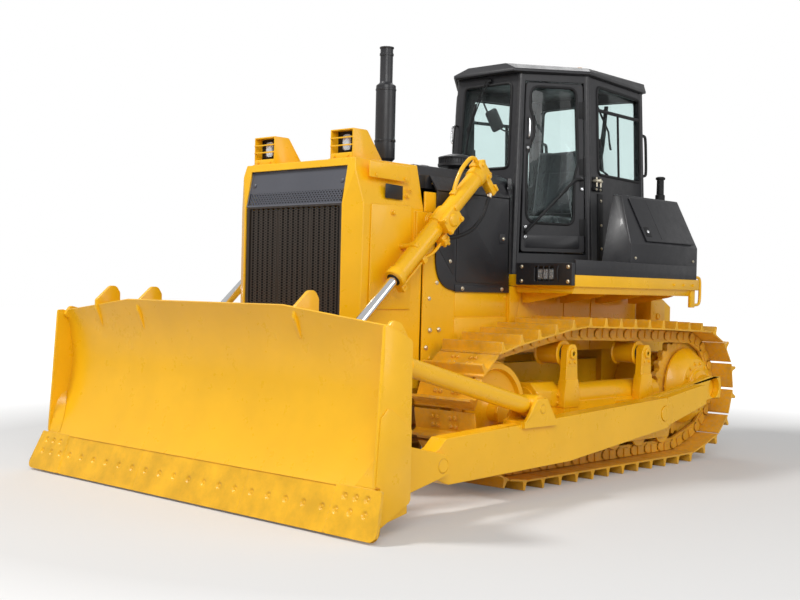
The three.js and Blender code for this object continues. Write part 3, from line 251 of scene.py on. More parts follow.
def plate(outline, low, high, bevel=0.0, steps=2):
    """A flat shape (n, 2) between two heights, its rims rounded by a quarter circle."""
    outline = wound(outline)
    if bevel <= 0:
        rings = [(0.0, low), (0.0, high)]
    else:
        arc = np.linspace(0, np.pi / 2, steps + 1)
        lower = [(bevel * (1 - math.sin(t)), low + bevel * (1 - math.cos(t))) for t in arc]
        upper = [(bevel * (1 - math.cos(t)), high - bevel * (1 - math.sin(t))) for t in arc]
        rings = lower + upper
    points = [np.column_stack([inset(outline, d), np.full(len(outline), h)]) for d, h in rings]
    return surface(np.stack(points), close_v=True, cap=True)


AXES = {
    "x": np.array([[0, 0, 1, 0], [1, 0, 0, 0], [0, 1, 0, 0], [0, 0, 0, 1]], float),
    "y": np.array([[1, 0, 0, 0], [0, 0, 1, 0], [0, 1, 0, 0], [0, 0, 0, 1]], float), "z": np.eye(4),
}


def slab(axis, outline, low, high, bevel=0.0, steps=2):
    """A plate set along an axis: an outline of (y, z) along x, (x, z) along y or (x, y) along z."""
    return plate(outline, min(low, high), max(low, high), bevel, steps).moved(AXES[axis])


def block(low, high, bevel=0.004, steps=2):
    """A box with rounded edges, between two corners."""
    low, high = np.minimum(low, high), np.maximum(low, high)
    (x0, y0, z0), (x1, y1, z1) = low, high
    outline = rounded([(x0, y0), (x1, y0), (x1, y1), (x0, y1)], bevel, steps)
    return plate(outline, z0, z1, bevel, steps)


def path_frames(path):
    """Tangents and side vectors along a path; each side vector is the one before it, made
    square to the new tangent, so the section doesn't twist."""
    path = np.asarray(path, float)
    tangent = np.gradient(path, axis=0)
    tangent /= np.linalg.norm(tangent, axis=1, keepdims=True)
    side = np.cross(tangent[0], (0, 0, 1) if abs(tangent[0][2]) < 0.9 else (1, 0, 0))
    sides = []
    for t in tangent:
        side = side - t * (side @ t)
        side = side / np.linalg.norm(side)
        sides.append(side)
    return tangent, np.array(sides)


def tube(path, radius, segments=10):
    """A round section carried along a path; radius may be a list with one value a point."""
    path = np.asarray(path, float)
    tangent, side = path_frames(path)
    up = np.cross(tangent, side)
    angle = np.arange(segments) * 2 * np.pi / segments
    r = np.broadcast_to(radius, len(path))[:, None, None]
    ring = side[:, None] * np.cos(angle)[None, :, None] + up[:, None] * np.sin(angle)[None, :, None]
    return surface(path[:, None] + r * ring, close_v=True, cap=True)


def smooth_path(points, steps=6):
    """A curve through points: Catmull-Rom, q(t) = half of (2p1 + (p2-p0)t + (2p0-5p1+4p2-p3)t2
    + (3p1-p0-3p2+p3)t3) between each pair."""
    p = np.asarray(points, float)
    p = np.concatenate([[2 * p[0] - p[1]], p, [2 * p[-1] - p[-2]]])
    t = np.linspace(0, 1, steps, endpoint=False)[:, None]
    runs = [
        0.5 * (2 * p[i] + (p[i + 1] - p[i - 1]) * t
               + (2 * p[i - 1] - 5 * p[i] + 4 * p[i + 1] - p[i + 2]) * t ** 2
               + (3 * p[i] - p[i - 1] - 3 * p[i + 1] + p[i + 2]) * t ** 3)
        for i in range(1, len(p) - 2)
    ]
    return np.concatenate(runs + [p[-2:-1]])


def rod(start, end, radius, segments=16, bevel=0.002):
    """A round bar between two points with a small chamfer at each end."""
    start, end = np.asarray(start, float), np.asarray(end, float)
    length = np.linalg.norm(end - start)
    profile = [(radius - bevel, 0), (radius, bevel), (radius, length - bevel), (radius - bevel, length)]
    return turned(profile, start, end - start, segments)


def hex_bolt(size=0.016):
    """A bolt head on a washer, standing on z = 0: six-sided, its top edge chamfered. Size is the
    head's radius across its corners."""
    washer = lathe([(size * 1.25, 0), (size * 1.25, size * 0.16), (size, size * 0.2)], 12)
    angle = np.arange(6) * np.pi / 3
    ring = np.stack([np.cos(angle), np.sin(angle)], 1) * size
    rows = [np.column_stack([ring * k, np.full(6, h * size)]) for k,
            h in ((1, 0.15), (1, 0.7), (0.82, 0.85))]
    return washer + surface(np.stack(rows), close_v=True, cap=True)


def copies(part, matrices):
    """A part at many places, as whole arrays: every matrix times every vertex."""
    m = np.stack(matrices)
    verts = np.einsum("mij,nj->mni", m[:, :3, :3], part.verts) + m[:, None, :3, 3]
    count = len(part.verts)
    faces = [[i + k * count for i in face] for k in range(len(m)) for face in part.faces]
    return Part(verts.reshape(-1, 3), faces)


def bolts(places, axis, size=0.016):
    """Bolt heads at a list of points, all facing one way."""
    return copies(hex_bolt(size), [frame_of(p, axis) for p in places])


def ring_of_bolts(centre, axis, radius, count, size=0.014, turn=0.0):
    """Bolt heads on a circle round an axis."""
    base = frame_of(centre, axis)
    angle = turn + np.arange(count) * 2 * np.pi / count
    spots = np.stack([radius * np.cos(angle), radius * np.sin(angle), 0 * angle], 1)
    return bolts(spots @ base[:3, :3].T + base[:3, 3], axis, size)


# ---------------------------------------------------------------- settings
class DozerColours(PropertyGroup):
    """Colours of the paints and cloth, scene linear."""

    yellow: FloatVectorProperty(
        name="Yellow", description="Gloss paint of the frame and blade", subtype="COLOR",
                                default=(0.94, 0.5, 0.004),
        min=0, max=1)
    charcoal: FloatVectorProperty(
        name="Charcoal", description="Satin paint of the cab, hood and boxes", subtype="COLOR",
        default=(0.016, 0.016, 0.019), min=0, max=1)
    slate: FloatVectorProperty(
        name="Slate", description="Paint of the panel above the grille", subtype="COLOR",
                               default=(0.08, 0.084, 0.102),
        min=0, max=1)
    glass: FloatVectorProperty(
        name="Glass", description="Tint of the cab's panes", subtype="COLOR", default=(0.8, 0.9, 0.89),
                               min=0, max=1)
    cloth: FloatVectorProperty(
        name="Cloth", description="Seat cover", subtype="COLOR", default=(0.035, 0.036, 0.042), min=0,
                               max=1)


class DozerSizes(PropertyGroup):
    """Sizes that a user may change."""

    edge: FloatProperty(name="Edge", description="Rounding of heavy plates", default=0.006, min=0.001,
                        max=0.02, unit="LENGTH")
    thin_edge: FloatProperty(name="Thin edge", description="Rounding of sheet metal", default=0.004,
                             min=0.001, max=0.01, unit="LENGTH")
    bolt: FloatProperty(name="Bolt", description="Radius of a common bolt head", default=0.016, min=0.005,
                        max=0.04, unit="LENGTH")
    hole_pitch: FloatProperty(name="Hole pitch", description="Distance between the grille's holes",
                              default=0.0285, min=0.02, max=0.08, unit="LENGTH")
    shoes: IntProperty(name="Shoes", description="Shoes in each track", default=38, min=30, max=45)


# ---------------------------------------------------------------- shared shader groups
def node_group(name, inputs, outputs):
    """A new shader group with (socket type, name, default) inputs and outputs."""
    group = bpy.data.node_groups.new(name, "ShaderNodeTree")
    for kind, label, value in inputs:
        socket = group.interface.new_socket(name=label, in_out="INPUT", socket_type=kind)
        socket.default_value = value
    for kind, label in outputs:
        group.interface.new_socket(name=label, in_out="OUTPUT", socket_type=kind)
    source = group.nodes.new("NodeGroupInput")
    sink = group.nodes.new("NodeGroupOutput")
    return group, source, sink


def add(tree, kind, links=(), **settings):
    """A node with its settings and its incoming links: (socket, source socket) or (socket, value)."""
    node = tree.nodes.new(kind)
    for key, value in settings.items():
        setattr(node, key, value)
    for key, value in links:
        socket = node.inputs[key]
        if isinstance(value, bpy.types.NodeSocket):
            tree.links.new(value, socket)
        else:
            socket.default_value = value
    return node


def noise(tree, vector, scale, detail=3.0, rough=0.5):
    """The value of a noise texture."""
    links = (("Vector", vector), ("Scale", scale), ("Detail", detail), ("Roughness", rough))
    return add(tree, "ShaderNodeTexNoise", links).outputs["Fac"]


def mapped(tree, value, low, high, out_low=0.0, out_high=1.0):
    """A value's range stretched to another, held at its ends."""
    links = (("Value", value), ("From Min", low), ("From Max", high), ("To Min", out_low),
             ("To Max", out_high))
    return add(tree, "ShaderNodeMapRange", links).outputs["Result"]


def math_of(tree, operation, a, b=0.0):
    """One math node's value."""
    return add(tree, "ShaderNodeMath", ((0, a), (1, b)), operation=operation).outputs[0]


def mixed(tree, factor, a, b, blend="MIX"):
    """Two colours mixed."""
    node = add(tree, "ShaderNodeMix", data_type="RGBA", blend_type=blend)
    for index, value in ((0, factor), (6, a), (7, b)):
        if isinstance(value, bpy.types.NodeSocket):
            tree.links.new(value, node.inputs[index])
        else:
            node.inputs[index].default_value = value
    return node.outputs[2]


def paint_skin_group():
    """Sprayed paint: broad mottle of the tone, fine orange peel for the bump and the gloss."""
    group, source, sink = node_group(
        "Paint skin",
        [("NodeSocketFloat", "Peel scale", 260.0), ("NodeSocketFloat", "Mottle scale", 1.7)],
        [("NodeSocketFloat", "Height"), ("NodeSocketFloat", "Mottle"), ("NodeSocketFloat", "Haze")])
    place = add(group, "ShaderNodeTexCoord").outputs["Object"]
    peel = noise(group, place, source.outputs["Peel scale"], 2.0)
    mottle = noise(group, place, source.outputs["Mottle scale"], 4.0, 0.6)
    haze = noise(group, place, 9.0, 5.0, 0.65)
    group.links.new(peel, sink.inputs["Height"])
    group.links.new(mapped(group, mottle, 0.3, 0.7), sink.inputs["Mottle"])
    group.links.new(mapped(group, haze, 0.35, 0.7), sink.inputs["Haze"])
    return group


def wear_group():
    """Wear along convex edges, broken up by noise: bare where the surface turns outwards sharply."""
    group, source, sink = node_group(
        "Edge wear",
        [("NodeSocketFloat", "Start", 0.54), ("NodeSocketFloat", "Breakup", 34.0)],
        [("NodeSocketFloat", "Mask")])
    place = add(group, "ShaderNodeTexCoord").outputs["Object"]
    edge = add(group, "ShaderNodeNewGeometry").outputs["Pointiness"]
    sharp = add(group, "ShaderNodeMapRange", (
        ("Value", edge), ("From Min", source.outputs["Start"]), ("From Max", 0.62))).outputs["Result"]
    broken = mapped(group, noise(group, place, source.outputs["Breakup"], 5.0, 0.7), 0.42, 0.62)
    group.links.new(math_of(group, "MULTIPLY", sharp, broken), sink.inputs["Mask"])
    return group


def dust_group():
    """Fine dust that settles on faces turned upwards and low on the machine."""
    group, source, sink = node_group(
        "Dust", [("NodeSocketFloat", "Reach", 1.0)], [("NodeSocketFloat", "Mask")])
    place = add(group, "ShaderNodeTexCoord").outputs["Object"]
    facing = add(group, "ShaderNodeSeparateXYZ", (
        ("Vector", add(group, "ShaderNodeNewGeometry").outputs["Normal"]),)).outputs["Z"]
    height = add(group, "ShaderNodeSeparateXYZ", (("Vector", place),)).outputs["Z"]
    low = add(group, "ShaderNodeMapRange", (
        ("Value", height), ("From Min", 0.0), ("From Max", source.outputs["Reach"]), ("To Min", 1.0),
        ("To Max", 0.0))).outputs["Result"]
    grain = mapped(group, noise(group, place, 14.0, 6.0, 0.7), 0.35, 0.7)
    up = mapped(group, facing, 0.1, 0.9, 0.35, 1.0)
    mask = math_of(group, "MULTIPLY", math_of(group, "MULTIPLY", low, grain), up)
    group.links.new(mask, sink.inputs["Mask"])
    return group


def weave_group():
    """Plain weave: two sets of threads as sine ridges, over and under in turn."""
    group, source, sink = node_group(
        "Weave", [("NodeSocketFloat", "Threads", 900.0)],
                                     [("NodeSocketFloat", "Height"), ("NodeSocketFloat", "Tone")])
    place = add(group, "ShaderNodeTexCoord").outputs["Object"]
    axes = add(group, "ShaderNodeSeparateXYZ", (("Vector", place),)).outputs
    across = math_of(group, "SINE", math_of(group, "MULTIPLY", axes["X"], source.outputs["Threads"]))
    length = math_of(group, "ADD", axes["Y"], axes["Z"])
    along = math_of(group, "SINE", math_of(group, "MULTIPLY", length, source.outputs["Threads"]))
    ridges = math_of(group, "MULTIPLY", across, along)
    group.links.new(mapped(group, ridges, -1.0, 1.0), sink.inputs["Height"])
    group.links.new(mapped(group, noise(group, place, 30.0), 0.3, 0.7), sink.inputs["Tone"])
    return group


# ---------------------------------------------------------------- materials
MATERIALS = {}


def material(name, colour, roughness, metallic=0.0, **sockets):
    """An empty material with a Principled shader and its constant values; returns the tree and shader."""
    made = bpy.data.materials.new(name)
    made.use_nodes = True
    tree = made.node_tree
    shader = next(n for n in tree.nodes if n.type == "BSDF_PRINCIPLED")
    shader.inputs["Base Color"].default_value = (*colour, 1.0)
    shader.inputs["Roughness"].default_value = roughness
    shader.inputs["Metallic"].default_value = metallic
    for key, value in sockets.items():
        shader.inputs[key.replace("_", " ")].default_value = value
    MATERIALS[name] = made
    return tree, shader


def use(tree, group, **values):
    """A shared group placed in a material with its own values."""
    node = add(tree, "ShaderNodeGroup", node_tree=group)
    for key, value in values.items():
        node.inputs[key.replace("_", " ")].default_value = value
    return node.outputs


def bump(tree, shader, height, strength, distance):
    """A bump from a height, into the shader's normal."""
    node = add(tree, "ShaderNodeBump", (("Height", height), ("Strength", strength), ("Distance", distance)))
    tree.links.new(node.outputs["Normal"], shader.inputs["Normal"])


def scaled(colour, factor):
    """A colour made darker or lighter, with alpha."""
    return (*(min(1.0, c * factor) for c in colour), 1.0)


def painted(name, colour, roughness, skin, wear, dust, coat=0.0, worn=0.02, dusty=0.12, peel=0.0006,
            **sockets):
    """Sprayed paint over steel: mottled tone, orange peel, dust low down and thin wear on edges."""
    tree, shader = material(name, colour, roughness, Coat_Weight=coat, Coat_Roughness=0.06, **sockets)
    look = use(tree, skin)
    tone = mixed(tree, look["Mottle"], scaled(colour, 0.93), scaled(colour, 1.05))
    rubbed = math_of(tree, "MULTIPLY", use(tree, wear)["Mask"], worn)
    tone = mixed(tree, rubbed, tone, scaled((0.5, 0.46, 0.4), 1.0))
    settled = math_of(tree, "MULTIPLY", use(tree, dust, Reach=1.1)["Mask"], dusty)
    tone = mixed(tree, settled, tone, (0.36, 0.27, 0.17, 1.0))
    tree.links.new(tone, shader.inputs["Base Color"])
    gloss = mapped(tree, look["Haze"], 0.0, 1.0, roughness * 0.88, roughness * 1.2)
    gloss = math_of(tree, "ADD", gloss, math_of(tree, "MULTIPLY", settled, 0.6))
    tree.links.new(gloss, shader.inputs["Roughness"])
    bump(tree, shader, look["Height"], 0.22, peel)


def steel(name, colour, roughness, wear, dust, grain=60.0, metallic=0.0, worn=0.5, dusty=0.4):
    """Heavy painted or bare steel, rubbed at its edges and dusty."""
    tree, shader = material(name, colour, roughness, metallic)
    place = add(tree, "ShaderNodeTexCoord").outputs["Object"]
    broad = mapped(tree, noise(tree, place, 5.0, 6.0, 0.65), 0.35, 0.68)
    fine = noise(tree, place, grain, 5.0, 0.6)
    tone = mixed(tree, broad, scaled(colour, 0.8), scaled(colour, 1.08))
    rubbed = math_of(tree, "MULTIPLY", use(tree, wear, Start=0.52)["Mask"], worn)
    tone = mixed(tree, rubbed, tone, (0.42, 0.38, 0.33, 1.0))
    settled = math_of(tree, "MULTIPLY", use(tree, dust, Reach=1.5)["Mask"], dusty)
    tone = mixed(tree, settled, tone, (0.3, 0.22, 0.14, 1.0))
    tree.links.new(tone, shader.inputs["Base Color"])
    tree.links.new(mapped(tree, fine, 0.3, 0.7, roughness * 0.8, roughness * 1.25),
                   shader.inputs["Roughness"])
    bump(tree, shader, fine, 0.35, 0.0012)


def simple(name, colour, low, high, scale, depth, metallic=0.0, strength=0.3, shade=0.9, **sockets):
    """A finish with a fine grain: noise for tone, gloss from low to high, and bump."""
    tree, shader = material(name, colour, low, metallic, **sockets)
    place = add(tree, "ShaderNodeTexCoord").outputs["Object"]
    grain = noise(tree, place, scale, 4.0, 0.6)
    tree.links.new(mixed(tree, grain, scaled(colour, shade), scaled(colour, 1.06)),
                   shader.inputs["Base Color"])
    tree.links.new(mapped(tree, grain, 0.3, 0.7, low, high), shader.inputs["Roughness"])
    bump(tree, shader, grain, strength, depth)


def make_materials(colours):
    """All finishes of the machine."""
    skin, wear, dust, weave = paint_skin_group(), wear_group(), dust_group(), weave_group()
    painted("yellow", colours.yellow, 0.3, skin, wear, dust, coat=0.15, dusty=0.03)
    painted("charcoal", colours.charcoal, 0.4, skin, wear, dust, coat=0.12, worn=0.03, dusty=0.03,
            peel=0.0008)
    painted("slate", colours.slate, 0.42, skin, wear, dust, worn=0.04, dusty=0.02)
    steel("track", (0.9, 0.46, 0.01), 0.38, wear, dust, worn=0.3, dusty=0.14)
    steel("blade_steel", (0.92, 0.49, 0.012), 0.34, wear, dust, worn=0.25, dusty=0.05)
    steel("iron", (0.05, 0.046, 0.042), 0.55, wear, dust, worn=0.3, dusty=0.3)
    simple("chrome", (0.86, 0.87, 0.88), 0.07, 0.14, 90.0, 0.0001, metallic=1.0, strength=0.08, shade=0.96)
    simple("zinc", (0.74, 0.68, 0.54), 0.26, 0.42, 120.0, 0.0003, metallic=1.0)
    simple("reflector", (0.92, 0.92, 0.93), 0.08, 0.16, 40.0, 0.0002, metallic=1.0, strength=0.1)
    simple("rubber", (0.011, 0.011, 0.012), 0.5, 0.68, 300.0, 0.0003, Specular_IOR_Level=0.35)
    simple("plastic", (0.021, 0.021, 0.023), 0.38, 0.55, 420.0, 0.0004)
    simple("lining", (0.075, 0.078, 0.085), 0.6, 0.8, 260.0, 0.0004)
    simple("mesh_black", (0.04, 0.03, 0.022), 0.45, 0.6, 200.0, 0.0003)
    simple("label", (0.01, 0.01, 0.011), 0.3, 0.42, 60.0, 0.0001)
    # Painted shade: a near-black finish for sheets that stand in for the dark behind the grille and header.
    simple("painted_shade_black", (0.006, 0.005, 0.005), 0.8, 0.95, 40.0, 0.0004)
    simple("amber", (0.95, 0.42, 0.015), 0.12, 0.2, 50.0, 0.0001, Transmission_Weight=0.25, Coat_Weight=0.6)
    simple("lens", (0.93, 0.95, 0.96), 0.03, 0.08, 30.0, 0.0003, Transmission_Weight=0.85, IOR=1.49)
    glass_tree, pane = material("glass", colours.glass, 0.02, IOR=1.05, Transmission_Weight=1.0,
                                Specular_IOR_Level=0.5, Coat_Weight=0.35, Coat_Roughness=0.03)
    place = add(glass_tree, "ShaderNodeTexCoord").outputs["Object"]
    smear = mapped(glass_tree, noise(glass_tree, place, 3.0, 5.0, 0.6), 0.4, 0.8, 0.015, 0.05)
    glass_tree.links.new(smear, pane.inputs["Roughness"])
    cloth_tree, cover = material("cloth", colours.cloth, 0.85, Sheen_Weight=0.35)
    threads = use(cloth_tree, weave)
    tint = mixed(cloth_tree, threads["Tone"], scaled(colours.cloth, 0.8), scaled(colours.cloth, 1.25))
    cloth_tree.links.new(tint, cover.inputs["Base Color"])
    bump(cloth_tree, cover, threads["Height"], 0.5, 0.0008)


# ---------------------------------------------------------------- tracks
TRACK_X = 1.0
SHOE_PITCH = 0.216
SHOE_WIDTH = 0.56
LINK_RISE = 0.048
SHOE_THICK = 0.016
GROUSER = 0.066
RAIL_DEPTH = 0.055
CARRIER_RADIUS = 0.084
CARRIERS = ((-1.9, 1.13), (-0.82, 1.106))
GROUND_Z = LINK_RISE + SHOE_THICK + GROUSER
SPROCKET_RADIUS = SHOE_PITCH / 2 / math.sin(2 * math.pi / 25)
IDLER = {"y": -2.71, "z": 0.572, "r": 0.42}
HUB_RADIUS = 0.236


def belt_line(idler_y):
    """The pitch line: arcs round the idler, carrier rollers, sprocket and the two ends of the flat
    run, joined by the straights that touch each pair on the outside."""
    reach = CARRIER_RADIUS + 0.015 + RAIL_DEPTH
    arc = 0.26
    circles = [(idler_y, IDLER["z"], IDLER["r"])] + [(y, z - reach, reach) for y, z in CARRIERS] + [
        (SPROCKET["y"], SPROCKET["z"], SPROCKET_RADIUS), (-0.21, GROUND_Z + arc, arc),
            (-2.54, GROUND_Z + arc, arc)]
    here = np.array(circles)
    there = np.roll(here, -1, 0)
    gap = there[:, :2] - here[:, :2]
    far = np.linalg.norm(gap, axis=1)
    leave = np.arctan2(gap[:, 1], gap[:, 0]) - np.arcsin((here[:, 2] - there[:, 2]) / far) + np.pi / 2
    arrive = np.roll(leave, 1)
    turn = (arrive - leave) % (2 * np.pi)
    share = np.linspace(0, 1, 160)
    angle = arrive[:, None] - turn[:, None] * share
    line = here[:, None, :2] + here[:, None, 2:] * np.stack([np.cos(angle), np.sin(angle)], -1)
    return line.reshape(-1, 2)


def belt_length(line):
    """Distance round the closed line."""
    return np.linalg.norm(np.roll(line, -1, 0) - line, axis=1).sum()


def chain_pins(count):
    """Pins at even distances along the belt, the idler slid forward until the chain is taut."""
    near, far = -2.44, -3.94
    for _ in range(50):
        middle = (near + far) / 2
        if belt_length(belt_line(middle)) < SHOE_PITCH * count:
            near = middle
        else:
            far = middle
    line = belt_line(middle)
    closed = np.concatenate([line, line[:1]])
    walked = np.concatenate([[0], np.cumsum(np.linalg.norm(np.diff(closed, axis=0), axis=1))])
    spots = np.arange(count) * walked[-1] / count
    pins = np.stack([np.interp(spots, walked, closed[:, k]) for k in (0, 1)], 1)
    return pins, middle


def shoe():
    """One shoe lying on z = LINK_RISE with its pins at y = 0 and y = pitch: a plate with a bent
    trailing lip and one grouser bar, drawn as a section (y, z) carried across the width."""
    top = LINK_RISE + 0.001
    low, high = -0.012, SHOE_PITCH - 0.004
    section = [
        (low, top + 0.004), (low + 0.02, top), (high - 0.01, top), (high, top + 0.006), (high, top + 0.014),
        (high - 0.014, top + SHOE_THICK - 0.002), (0.068, top + SHOE_THICK - 0.001), (0.056, top + 0.03),
        (0.05, top + SHOE_THICK + GROUSER - 0.008), (0.046, top + SHOE_THICK + GROUSER - 0.002),
        (0.03, top + SHOE_THICK + GROUSER - 0.002), (0.025, top + SHOE_THICK + GROUSER - 0.009),
        (0.018, top + 0.03), (0.008, top + SHOE_THICK - 0.001), (low + 0.004, top + 0.012)]
    half = SHOE_WIDTH / 2 - 0.001
    plate_part = slab("x", section, -half, half, 0.0025, 1)
    heads = [(x, y, top + SHOE_THICK) for x in (-0.105, -0.06, 0.06, 0.105) for y in (0.105, 0.165)]
    return plate_part + bolts(heads, (0, 0, 1), 0.015)


def link_pair():
    """Two forged links of one pitch: a rail bar with a swelling round each pin and a window for
    the shoe bolts, outer at one pin and inner at the next."""
    parts = []
    for s in (-1, 1):
        body = rounded([(-0.046, -0.02), (0.012, -RAIL_DEPTH + 0.002),
                        (SHOE_PITCH - 0.012, -RAIL_DEPTH + 0.002),
                        (SHOE_PITCH + 0.046, -0.02), (SHOE_PITCH + 0.046, 0.026),
                        (SHOE_PITCH - 0.016, 0.046),
                        (0.016, 0.046), (-0.046, 0.026)], 0.012, 2)
        inner = s * 0.046
        outer = s * 0.074
        parts.append(slab("x", body, inner, outer, 0.003, 1))
        parts.append(rod((s * 0.038, 0, 0), (s * 0.088, 0, 0), 0.034, 12, 0.003))
        parts.append(rod((s * 0.074, SHOE_PITCH, 0), (s * 0.087, SHOE_PITCH, 0), 0.04, 12, 0.003))
        boss = rounded([(0.07, -0.03), (0.15, -0.03), (0.146, 0.044), (0.074, 0.044)], 0.006, 1)
        parts.append(slab("x", boss, s * 0.072, s * 0.084, 0.002, 1))
    parts.append(rod((-0.04, 0, 0), (0.04, 0, 0), 0.029, 12, 0.002))
    return total(parts)


def rail_strip(pins):
    """The rails' running faces: a closed band 55 mm inside the pitch line, along both rails."""
    after = np.roll(pins, -1, 0) - pins
    before = pins - np.roll(pins, 1, 0)
    normal = after / np.linalg.norm(after, axis=1, keepdims=True) + before / np.linalg.norm(before, axis=1,
        keepdims=True)
    normal = np.stack([-normal[:, 1], normal[:, 0]], 1)
    normal /= np.linalg.norm(normal, axis=1, keepdims=True)
    strips = []
    for low, high in ((-0.072, -0.048), (0.048, 0.072)):
        corners = ((low, -0.054), (high, -0.054), (high, -0.034), (low, -0.034))
        rings = [np.column_stack([np.full(len(pins), x), pins + normal * d]) for x, d in corners]
        strips.append(surface(np.stack(rings), close_u=True, close_v=True))
    return total(strips)


def chain_places(pins):
    """Matrices that set a part made for one pitch on every pair of pins."""
    after = np.roll(pins, -1, 0)
    run = after - pins
    run /= np.linalg.norm(run, axis=1, keepdims=True)
    matrices = np.tile(np.eye(4), (len(pins), 1, 1))
    matrices[:, 1:3, 1] = run
    matrices[:, 1, 2], matrices[:, 2, 2] = -run[:, 1], run[:, 0]
    matrices[:, 1:3, 3] = pins
    return matrices


def build_tracks(sizes):
    """Both tracks, their idlers, sprockets and final drives."""
    pins, idler_y = chain_pins(sizes.shoes)
    places = chain_places(pins)
    for name, s in SIDES:
        aside = np.eye(4)
        aside[0, 3] = s * TRACK_X
        copies(shoe(), places).moved(aside).emit(f"{name}_track_shoes", "track",
                                                 replaces=(f"{name}_track",), smooth=28)
        links = copies(link_pair(), places) + rail_strip(pins)
        links.moved(aside).emit(f"{name}_track_links", "track")
        sprocket_part(s).emit(f"{name}_sprocket_teeth", "track", replaces=(f"{name}_sprocket",))
        idler_part(s, idler_y).emit(f"{name}_idler_wheel", "yellow", replaces=(f"{name}_idler",))
        drive_part(s).emit(f"{name}_drive_case", "yellow", replaces=(f"{name}_final_drive",))
        drive_bolts = ring_of_bolts((s * 0.934, SPROCKET["y"], SPROCKET["z"]), (s, 0, 0), 0.205, 18, 0.015)
        drive_bolts = drive_bolts + ring_of_bolts((s * 1.186, SPROCKET["y"], SPROCKET["z"]), (s, 0, 0),
                                                  0.206, 14, 0.015)
        drive_bolts.emit(f"{name}_drive_bolts", "yellow")


def sprocket_part(side):
    """A toothed ring: radius runs between root and tip as a flattened wave of the angle, 25 teeth
    for two turns of links, with a row of segment bolts inside."""
    teeth, steps = 25, 8
    angle = np.arange(teeth * steps) * 2 * np.pi / (teeth * steps)
    wave = np.clip(1.5 * np.sin(angle * teeth - np.pi / 2), -1, 1)
    radius = SPROCKET_RADIUS - 0.006 + 0.019 * wave
    rim = np.stack([SPROCKET["y"] + radius * np.cos(angle), SPROCKET["z"] + radius * np.sin(angle)], 1)
    inner = np.stack([SPROCKET["y"] + 0.242 * np.cos(angle), SPROCKET["z"] + 0.242 * np.sin(angle)], 1)
    centre = side * TRACK_X
    half = 0.029
    rows = [(rim, -half + 0.004), (rim, half - 0.004), (rim + (inner - rim) * 0.05, half), (inner, half),
            (inner, -half), (rim + (inner - rim) * 0.05, -half)]
    points = [np.column_stack([np.full(len(o), centre + x), o]) for o, x in rows]
    ring = surface(np.stack(points), close_u=True, close_v=True)
    heads = [ring_of_bolts((centre + k * half, SPROCKET["y"], SPROCKET["z"]), (k, 0, 0), 0.3, 20,
                           0.014) for k in (-1, 1)]
    return ring + total(heads)


def idler_part(side, idler_y):
    """The front wheel: a tread with a raised guide flange, dished webs and a hub."""
    half_turn = math.asin(SHOE_PITCH / 2 / IDLER["r"])
    tread = IDLER["r"] * math.cos(half_turn) - RAIL_DEPTH - 0.0005
    flange = tread + 0.021
    profile = [(0.0, -0.14), (0.066, -0.14), (0.07, -0.134), (0.078, -0.062), (0.108, -0.05),
               (0.125, -0.04),
               (tread - 0.085, -0.04), (tread - 0.055, -0.052), (tread - 0.042, -0.084),
               (tread - 0.004, -0.086),
               (tread, -0.082), (tread, -0.034), (flange - 0.004, -0.031), (flange, -0.027)]
    profile = np.array(profile + [(r, -h) for r, h in profile[::-1]])
    return turned(profile, (side * TRACK_X, idler_y, IDLER["z"]), (1, 0, 0), 56)


def drive_part(side):
    """Final drive: the case inboard, the hub through the sprocket and a cone out to its cap."""
    profile = np.array([
        (0.0, 0.4805), (0.244, 0.4805), (0.25, 0.487), (0.286, 0.694), (0.29, 0.706), (0.29, 0.85),
                        (0.284, 0.86),
        (HUB_RADIUS, 0.866), (HUB_RADIUS, 0.928), (0.232, 0.934), (0.19, 0.936), (0.186, 0.944),
                        (0.186, 1.042),
        (0.326, 1.046), (0.332, 1.05), (0.332, 1.066), (0.324, 1.078), (0.246, 1.176), (0.232, 1.184),
                        (0.172, 1.188),
        (0.166, 1.19), (0.166, 1.198), (0.158, 1.204), (0.15, 1.204), (0.142, 1.222), (0.118, 1.226),
                        (0.107, 1.232), (0.107, 1.2912), (0.0, 1.2912)])
    return turned(profile, (0, SPROCKET["y"], SPROCKET["z"]), (side, 0, 0), 48)


